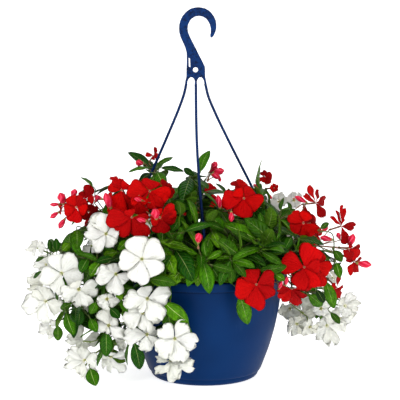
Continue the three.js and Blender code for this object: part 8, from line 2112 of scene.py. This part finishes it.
def add_flower(b, center, normal, petals, cup, stalk, frill=0.0, painted_shade_level=0, fan=1.25, eye=True, petal=0, tube_mat=1, calyx_mat=2, stalk_mat=3):
    """An open flower: five petals round a funnel, its tube, calyx and stalk."""
    center, normal = np.asarray(center, float), unit(normal)
    up, right = flower_frame(normal)
    order = sorted(petals)
    longest = max(p[1] for p in petals)
    slant = rng.uniform(0.04, 0.085)
    fold = rng.uniform(3.0, 4.4)
    for k, (deg, size, wide) in enumerate(order):
        a = math.radians(deg)
        out = right * math.sin(a) + up * math.cos(a)
        side = np.cross(normal, out)
        size = size * rng.uniform(0.99, 1.03)
        # a petal is broad enough to meet the next one on either side
        gaps = [(order[(k + 1) % 5][0] - deg) % 360, (deg - order[k - 1][0]) % 360]
        meet = 0.36 * size * sum(math.tan(math.radians(min(g, 100) / 2)) for g in gaps)
        breadth = max(wide / 2, min(wide / 2 * fan, meet)) * rng.uniform(0.98, 1.05)
        skew = rng.uniform(-0.02, 0.04) * size
        curl = rng.uniform(-0.03, 0.09) * size
        tilt = (0.05 + 0.3 * frill) * size
        bend = rng.uniform(-1.0, 0.6) * (0.03 + 1.5 * frill) * size
        p1, p2, p3, p4 = rng.uniform(0, 6.28, 4)
        f1, f2 = rng.uniform(3.0, 4.6), rng.uniform(6.0, 8.5)
        dent = rng.uniform(-0.02, 0.05)
        blunt = rng.uniform(0.4, 0.52)
        neck = 0.08 if size > 10 else 0.5

        def place(t, s, layer):
            shape = np.where(
                t < 0.7,
                neck + (1 - neck) * np.sin(np.clip(t / 0.7, 0, 1) * math.pi / 2) ** 1.35,
                np.clip(1 - (np.clip(t - 0.7, 0, 1) / 0.3) ** 2.5, 0, 1) ** blunt,
            )
            shape = np.where((t <= 0) | (t >= 1), 0.0, shape)
            half = breadth * shape
            end = np.clip((t - 0.5) / 0.45, 0, 1)
            jag = frill * size * end * (0.6 * np.sin(s * 5 + p3) + 0.42 * np.sin(s * 11 + p4) + 0.2 * np.sin(s * 19 + p1))
            r = 1.15 + t * (size - 1.15) - dent * size * (1 - s * s) * np.clip((t - 0.8) / 0.2, 0, 1) + jag
            r = r + slant * size * s * np.clip((t - 0.4) / 0.6, 0, 1)
            x = s * half + skew * np.sin(math.pi * t * 0.5) ** 2
            q = r / longest
            m = np.maximum(np.abs(s) ** 2.2, np.clip((t - 0.45) / 0.55, 0, 1) ** 1.8) * np.clip(t / 0.4, 0, 1)
            phi = np.arctan2((t - 0.42) * 1.6, s)
            wave = frill * size * m * (np.sin(f1 * phi + p1) + 0.55 * np.sin(f2 * phi + p2))
            z = cup * q * q + bend * t * t - curl * s * s * shape * t + tilt * s * np.sin(math.pi * np.clip(t * 0.95, 0, 1)) + wave
            z = z + 0.35 * frill * size * np.sin(fold * s + p3) * np.sin(math.pi * t) - 0.016 * size * np.exp(-((s / 0.22) ** 2)) * np.sin(math.pi * t)
            z = z - 1.3 * np.clip(1 - t / 0.1, 0, 1) ** 1.5
            z = z + layer * 0.22 * (1 - s * s) * np.sin(math.pi * np.clip(t, 0.02, 0.98)) ** 0.3
            return center + np.outer(r, out) + np.outer(x, side) + np.outer(z, normal)

        # painted shade: two rows of the atlas hold darker, shaded copies of the petal colour, chosen by how shaded the
        # flower is meant to look
        row = int(rng.integers(2, 4)) if painted_shade_level == 0 else int(rng.integers(1, 4)) if painted_shade_level == 1 else int(rng.integers(0, 2))
        cell = (int(rng.integers(0, CELLS - 1)), row)
        # the eye of the flower keeps its real size whatever the length of the petal
        power = float(np.clip(math.log(0.1) / math.log(min(0.6, 1.85 / (size - 1.15))), 0.6, 2.4))
        add_blade(b, PETAL_T, place, cell, (CELLS - 1, cell[1] % 2), petal, power, 0.0 if eye else 0.1)
    # tube behind the face
    foot = np.asarray(stalk[0], float)
    line = curve_points([center - normal * 1.0, center * 0.5 + foot * 0.5, foot], 5)
    t = np.linspace(0, 1, len(line))
    add_tube(b, line, 1.55 - 0.35 * t - 0.25 * np.exp(-((t - 0.05) / 0.1) ** 2), 8, tube_mat, "tube")
    # calyx: five narrow teeth round the foot of the tube
    axis = unit(center - foot)
    e1, e2 = flower_frame(axis)
    for k in range(5):
        a = 2 * math.pi * k / 5 + 0.3
        out = e1 * math.cos(a) + e2 * math.sin(a)
        p0 = foot + out * 0.7 - axis * 1.0
        p1 = foot + out * 1.9 + axis * rng.uniform(4.0, 5.5)
        add_leaf_simple(b, p0, p1, out, 1.5, calyx_mat)
    tail = [foot + axis * 0.3, *[np.asarray(p, float) for p in stalk[1:]]]
    line = curve_points(tail, 7)
    t = np.linspace(0, 1, len(line))
    add_tube(b, line, 0.95 - 0.2 * np.sin(math.pi * t), 7, stalk_mat, "stalk")


SIMPLE_T = blade_template([0.2, 0.5, 0.8], 3)


def add_leaf_simple(b, p0, p1, face, width, mat):
    p0, p1, face = (np.asarray(x, float) for x in (p0, p1, face))
    axis = unit(p1 - p0)
    face = unit(face - axis * (face @ axis))
    side = np.cross(axis, face)
    length = np.linalg.norm(p1 - p0)

    def place(t, s, layer):
        half = np.where((t <= 0) | (t >= 1), 0, width / 2 * np.sin(math.pi * np.clip(t * 0.8 + 0.12, 0, 1)))
        return p0 + np.outer(t * length, axis) + np.outer(s * half, side) + np.outer(layer * 0.3 + 0 * t, face)

    params, tf, bf, tuv, buv = SIMPLE_T
    uvs = [in_patch("calyx", 0.25 + 0.23 * s, t) for st in tuv for t, s in st] + [in_patch("calyx", 0.75 + 0.23 * s, t) for st in buv for t, s in st]
    b.add(place(params[:, 0], params[:, 1], params[:, 2]), tf + bf, uvs, mat)


def add_bud(b, base, tip, radius, stalk, mat=4, calyx_mat=2, stalk_mat=3):
    """A furled bud: a twisted spindle on a slim tube and stalk."""
    base, tip = np.asarray(base, float), np.asarray(tip, float)
    axis = unit(tip - base)
    length = np.linalg.norm(tip - base)
    e1, e2 = flower_frame(axis)
    rows, sides = 13, 15
    verts, faces, uvs = [], [], []
    for i in range(rows):
        t = (i + 0.35) / rows
        r = radius * (0.36 + 0.64 * math.sin(math.pi * min(1, t / 0.62) / 2) ** 1.4) if t < 0.62 else radius * max(0.0, 1 - ((t - 0.62) / 0.38) ** 1.9)
        r = max(r, 0.12)
        for k in range(sides):
            a = 2 * math.pi * k / sides
            lobe = 1 + 0.1 * math.cos(5 * a + 7.0 * t) * min(1, t * 3)
            verts.append(base + axis * (t * length) + (e1 * math.cos(a) + e2 * math.sin(a)) * r * lobe)
    verts += [base - axis * 0.3, tip]

    def u(i, k):
        return ((CELLS - 1 + 0.04 + 0.92 * k / sides) / CELLS, (2 + 0.08 + 0.84 * i / rows) / CELLS)

    for i in range(rows - 1):
        for k in range(sides):
            w = (k + 1) % sides
            faces.append((i * sides + w, i * sides + k, (i + 1) * sides + k, (i + 1) * sides + w))
            uvs.extend([u(i, k + 1), u(i, k), u(i + 1, k), u(i + 1, k + 1)])
    lo, hi = rows * sides, rows * sides + 1
    for k in range(sides):
        w = (k + 1) % sides
        faces.append((lo, k, w))
        uvs.extend([u(-0.4, k + 0.5), u(0, k), u(0, k + 1)])
        faces.append((hi, (rows - 1) * sides + w, (rows - 1) * sides + k))
        uvs.extend([u(rows - 0.4, k + 0.5), u(rows - 1, k + 1), u(rows - 1, k)])
    b.add(verts, faces, uvs, mat)
    for k in range(5):
        a = 2 * math.pi * k / 5
        out = e1 * math.cos(a) + e2 * math.sin(a)
        add_leaf_simple(b, base + out * 0.5 - axis * 1.2, base + out * (0.42 * radius + 0.8) + axis * min(5, length * 0.3), out, 1.4, calyx_mat)
    line = curve_points([base + axis * 0.6, *stalk], 7)
    add_tube(b, line, np.linspace(0.9, 0.75, len(line)), 6, stalk_mat, "stalk")


# ---- pot, potting mix and hanger --------------------------------------------------
def lathe(b, profile, segments, mat, top=1.0):
    """A closed body of revolution about Z from a profile that starts and ends on the axis."""
    prof = np.asarray(profile, float)
    ang = np.arange(segments) / segments * 2 * math.pi
    verts = [[0, 0, prof[0][1]]]
    for r, z in prof[1:-1]:
        verts.extend(np.column_stack([r * np.cos(ang), r * np.sin(ang), np.full(segments, z)]).tolist())
    verts.append([0, 0, prof[-1][1]])
    run = np.concatenate([[0], np.cumsum(np.linalg.norm(np.diff(prof, axis=0), axis=1))])
    run = run / run[-1] * top
    faces, uvs = [], []
    rows = len(prof) - 2

    def vid(i, k):
        return 1 + (i - 1) * segments + k % segments

    for k in range(segments):
        faces.append((0, vid(1, k + 1), vid(1, k)))
        uvs.extend([((k + 0.5) / segments, run[0]), ((k + 1) / segments, run[1]), (k / segments, run[1])])
        for i in range(1, rows):
            faces.append((vid(i, k), vid(i, k + 1), vid(i + 1, k + 1), vid(i + 1, k)))
            uvs.extend([(k / segments, run[i]), ((k + 1) / segments, run[i]), ((k + 1) / segments, run[i + 1]), (k / segments, run[i + 1])])
        faces.append((len(verts) - 1, vid(rows, k), vid(rows, k + 1)))
        uvs.extend([((k + 0.5) / segments, run[-1]), (k / segments, run[-2]), ((k + 1) / segments, run[-2])])
    b.add(verts, faces, uvs, mat)


def rounded(profile, radius_at, steps=4):
    """Replaces the corners named in radius_at by short arcs."""
    p = [np.asarray(q, float) for q in profile]
    out = []
    for i, q in enumerate(p):
        r = radius_at.get(i, 0)
        if not r or i in (0, len(p) - 1):
            out.append(q)
            continue
        a, c = unit(p[i - 1] - q), unit(p[i + 1] - q)
        d = min(r, np.linalg.norm(p[i - 1] - q) * 0.45, np.linalg.norm(p[i + 1] - q) * 0.45)
        for k in range(steps + 1):
            t = k / steps
            out.append((1 - t) ** 2 * (q + a * d) + 2 * t * (1 - t) * q + t * t * (q + c * d))
    return out


def smooth_profile(points, steps):
    return [tuple(q) for q in curve_points([(r, z, 0) for r, z in points], steps)[:, :2]]


POT_SEG = 160
side = smooth_profile([(85.6, 10.4), *BODY], 4)
outer = [(0, 0), (40, 0), (73, 0), (76, 0), (78.6, 0.25), (80.4, 0.9), (82.2, 1.9), (83.6, 3.3), (84.6, 4.9), (85.2, 6.6), (85.5, 8.6)] + side + [
    (121.9, 165.8), (121.95, 166.9), (122.4, 167.3), (124.2, 167.3), (124.6, 166.9), (124.75, 165.5), (124.9, 158.2), (125.1, 157.1), (125.7, 156.7), (127.1, 156.7), (127.7, 157.0), (127.95, 157.7),
    (127.75, 160.0), (127.15, 164.5), (126.75, 167.3), (126.5, 168.4), (126.1, 169.2), (125.5, 169.8), (124.6, 170.0), (121.6, 170.0), (120.6, 169.8), (119.9, 169.4), (119.6, 168.6)]
inner = [(r - 2.1, z) for r, z in reversed(side) if z > 11.2] + [(84.6, 8.2), (82.4, 5.4), (79.5, 3.4), (75.2, 2.4), (40, 2.4), (0, 2.4)]
pot_b = Builder()
lathe(pot_b, outer + inner, POT_SEG, 0, top=0.93)
lug_faces = 0
# lugs under the lip, one for each strand
for deg in (-89, 30, 150):
    a = math.radians(deg)
    ca, sa = math.cos(a), math.sin(a)

    def turn(points):
        p = np.asarray(points, float)
        return np.column_stack([p[:, 0] * ca - p[:, 1] * sa, p[:, 0] * sa + p[:, 1] * ca, p[:, 2]])

    r0, r1, w, z0, z1, sw, s0, s1 = 110.9, 119.9, 7.0, 161.2, 165.8, 3.6, 111.3, 115.1
    for lo, hi in (((r0, -w), (s0, w)), ((s1, -w), (r1, w)), ((s0, -w), (s1, -sw)), ((s0, sw), (s1, w))):
        c = [(x, y, z) for z in (z0, z1) for x, y in ((lo[0], lo[1]), (hi[0], lo[1]), (hi[0], hi[1]), (lo[0], hi[1]))]
        fs = [(3, 2, 1, 0), (4, 5, 6, 7), (0, 1, 5, 4), (1, 2, 6, 5), (2, 3, 7, 6), (3, 0, 4, 7)]
        pot_b.add(turn(c), fs, [((lug_faces + i + 0.1 + 0.8 * u) / 72, 0.945 + 0.045 * v) for i in range(6) for u, v in ((0, 0), (1, 0), (1, 1), (0, 1))], 0)
        lug_faces += 6
pot = pot_b.build("hanging_pot", [POT], ["pot"])
pot.data.set_sharp_from_angle(angle=math.radians(50))

soil_b = Builder()
soil_prof = [(0, 2.85), (74, 2.85), (81, 6.3), (84, 12), (100, 48), (109, 80), (115, 118), (116.9, 146)]
rings = [116.6, 114.5, 112, 109, 106, 103, 99, 95, 91, 87, 83, 79, 75, 71, 67, 63, 59, 55, 51, 47, 43, 39, 35, 31, 27, 23, 19, 15, 11, 7, 3.5]
lathe(soil_b, soil_prof + [(r, 151.4) for r in rings] + [(0, 151.4)], 120, 0)
soil = soil_b.build("potting_mix_crumbs", [SOIL], ["potting_mix"])
co = np.array([v.co for v in soil.data.vertices]) / MM
top = co[:, 2] > 150
lump = sum(np.sin(co[:, 0] * f + p) * np.cos(co[:, 1] * g + q) * k for f, g, p, q, k in ((0.11, 0.13, 0.4, 1.1, 0.9), (0.31, 0.27, 2.0, 0.3, 0.6), (0.71, 0.63, 1.0, 2.2, 0.4)))
co[top, 2] += np.clip(lump[top] * 0.6 + rng.uniform(-0.7, 0.5, top.sum()), -2.5, 0.45)
soil.data.vertices.foreach_set("co", (co * MM).astype(np.float32).ravel())
soil.data.update()

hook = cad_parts["hanger_hook"]
hook.data.materials.clear()
hook.data.materials.append(HANGER)
bev = hook.modifiers.new("edge", "BEVEL")
bev.width, bev.segments, bev.limit_method, bev.angle_limit = 0.0009, 3, "ANGLE", math.radians(40)
bev.harden_normals = False
hook.data.polygons.foreach_set("use_smooth", np.ones(len(hook.data.polygons), bool))
hook.modifiers.new("flat", "WEIGHTED_NORMAL").keep_sharp = True

TAB = [(-3, 173), (3, 173), (3, 160.6), (5.2, 160.6), (2.6, 154), (-2.6, 154), (-5.2, 160.6), (-3, 160.6)]
for name, pts in STRANDS.items():
    b = Builder()
    line = curve_points(pts, 9)
    # the rod runs on into the prong of the plate
    line = np.vstack([line[0] + unit(line[0] - line[1]) * 1.3, line])
    add_tube(b, line, 2.1, 16, 0, "rod")
    a = math.radians({"front": -89, "right": 30, "left": 150}[name])
    radial, tangent = np.array([math.cos(a), math.sin(a), 0]), np.array([-math.sin(a), math.cos(a), 0])
    shape = [(x, z) for x, z in TAB]
    verts = [radial * (113.2 + d) + tangent * x + np.array([0, 0, z]) for d in (-1.3, 1.3) for x, z in shape]
    n = len(shape)
    fs = [tuple(range(n)), tuple(range(2 * n - 1, n - 1, -1))] + [(k, n + k, n + (k + 1) % n, (k + 1) % n) for k in range(n)]
    uvs = [(0.02 + 0.2 * (x + 5.2) / 10.4, y0 + 0.3 * (z - 154) / 19) for y0, seq in ((0.02, shape), (0.36, shape[::-1])) for x, z in seq]
    uvs += [(0.02 + 0.03 * k + 0.02 * u, 0.7 + 0.25 * v) for k in range(n) for u, v in ((0, 0), (0, 1), (1, 1), (1, 0))]
    b.add(verts, fs, uvs, 0)
    strand = b.build("hanger_strand_" + name + "_rod", [ROD], ["hanger_strand_" + name])
    strand.data.set_sharp_from_angle(angle=math.radians(45))


# ---- plant ---------------------------------------------------------------------
def tenths(seq):
    return np.asarray(seq, float) / 10


for name, (stems, leaves, twigs) in SHOOTS.items():
    b = Builder()
    for radius, twig, pts in stems:
        line = curve_points([tenths(p) for p in pts], 7)
        n = len(line)
        u = np.linspace(0, 1, n)
        if twig:
            radii = 1.05 - 0.3 * u
        else:
            radii = radius * (1.0 - 0.38 * u) + 0.35 * np.exp(-((u * 9 % 1 - 0.5) / 0.16) ** 2) * (u > 0.05) * (u < 0.95)
        add_tube(b, line, radii, 9 if not twig else 7, 1)
    for pts in twigs:
        line = curve_points([tenths(p) for p in pts], 6)
        add_tube(b, line, np.linspace(1.0, 0.7, len(line)), 6, 1)
    for row in leaves:
        q = tenths(row)
        add_leaf(b, q[0:3], q[3:6], q[6:9] / 10, q[9], q[10])
    b.build(name + "_foliage", [LEAF, STEM], [name])

for name, (hub, flowers, buds) in CLUSTERS.items():
    white = "white" in name
    b = Builder()
    hub = tenths(hub)
    # the joint where the stalks meet
    ball = np.array([hub + 2.2 * np.array([math.cos(p) * math.cos(q), math.sin(p) * math.cos(q), math.sin(q) * 1.15]) for q in (-0.9, -0.3, 0.3, 0.9) for p in np.arange(8) * math.pi / 4])
    ball = np.concatenate([ball, [hub - [0, 0, 2.6], hub + [0, 0, 2.6]]])
    fs = [(r * 8 + k, r * 8 + (k + 1) % 8, r * 8 + 8 + (k + 1) % 8, r * 8 + 8 + k) for r in range(3) for k in range(8)]
    fs += [(32, (k + 1) % 8, k) for k in range(8)] + [(33, 24 + k, 24 + (k + 1) % 8) for k in range(8)]
    b.add(ball, fs, [in_patch("stalk", 0.2 + 0.6 * (i in (1, 2)), 0.2 + 0.6 * (i > 1)) for f in fs for i, _ in enumerate(f)], 3)
    for row in flowers:
        q = tenths(row[0])
        add_flower(b, q[0:3], q[3:6], [(d, l / 10, w / 10) for d, l, w in row[1]], q[6], [tenths(p) for p in row[2]], frill=row[3] / 100, painted_shade_level=row[4], fan=row[5] / 100, eye=bool(row[6]))
    for row in buds:
        q = tenths(row[0])
        add_bud(b, q[0:3], q[3:6], q[6], [tenths(p) for p in row[1]])
    mats = [WHITE if white else RED, STALK_WHITE if white else STALK_RED, CALYX, STALK_WHITE if white else STALK_RED, BUD]
    b.build(name + "_petals", mats, [name])

# ---- floor and light -------------------------------------------------------------
bpy.ops.mesh.primitive_plane_add(size=24, location=(0, 4, -0.0002))
floor = bpy.context.object
floor.name = "floor"
floor.data.materials.append(floor_material())

world = bpy.data.worlds.new("studio")
bpy.context.scene.world = world
world.use_nodes = True
bg = world.node_tree.nodes["Background"]
bg.inputs[0].default_value = (1.0, 1.0, 1.0, 1)
bg.inputs[1].default_value = 0.16


def area(name, loc, target, size, power, color=(1, 1, 1)):
    data = bpy.data.lights.new(name, "AREA")
    data.shape, data.size, data.size_y, data.energy, data.color = "RECTANGLE", size[0], size[1], power, color
    ob = bpy.data.objects.new(name, data)
    ob.location = loc
    ob.rotation_euler = (Vector(target) - Vector(loc)).to_track_quat("-Z", "Y").to_euler()
    bpy.context.scene.collection.objects.link(ob)
    return ob


area("key", (-1.6, -2.1, 2.0), (0, 0, 0.25), (0.9, 0.9), 31)
area("fill", (1.1, -2.85, 0.95), (0.05, 0, 0.22), (1.2, 1.0), 33)
area("side", (1.3, -1.3, 1.5), (0.1, 0, 0.28), (0.6, 0.6), 4.5)
sun_data = bpy.data.lights.new("sky_panel", "SUN")
sun_data.energy, sun_data.angle = 1.15, math.radians(60)
sun = bpy.data.objects.new("sky_panel", sun_data)
sun.rotation_euler = (Vector((0, 0, 0)) - Vector((-0.3, -0.45, 1.0))).to_track_quat("-Z", "Y").to_euler()
bpy.context.scene.collection.objects.link(sun)
back_data = bpy.data.lights.new("back_panel", "SUN")
back_data.energy, back_data.angle = 0.85, math.radians(70)
back = bpy.data.objects.new("back_panel", back_data)
back.rotation_euler = (Vector((0, 0, 0)) - Vector((0.5, 1.0, 0.75))).to_track_quat("-Z", "Y").to_euler()
bpy.context.scene.collection.objects.link(back)
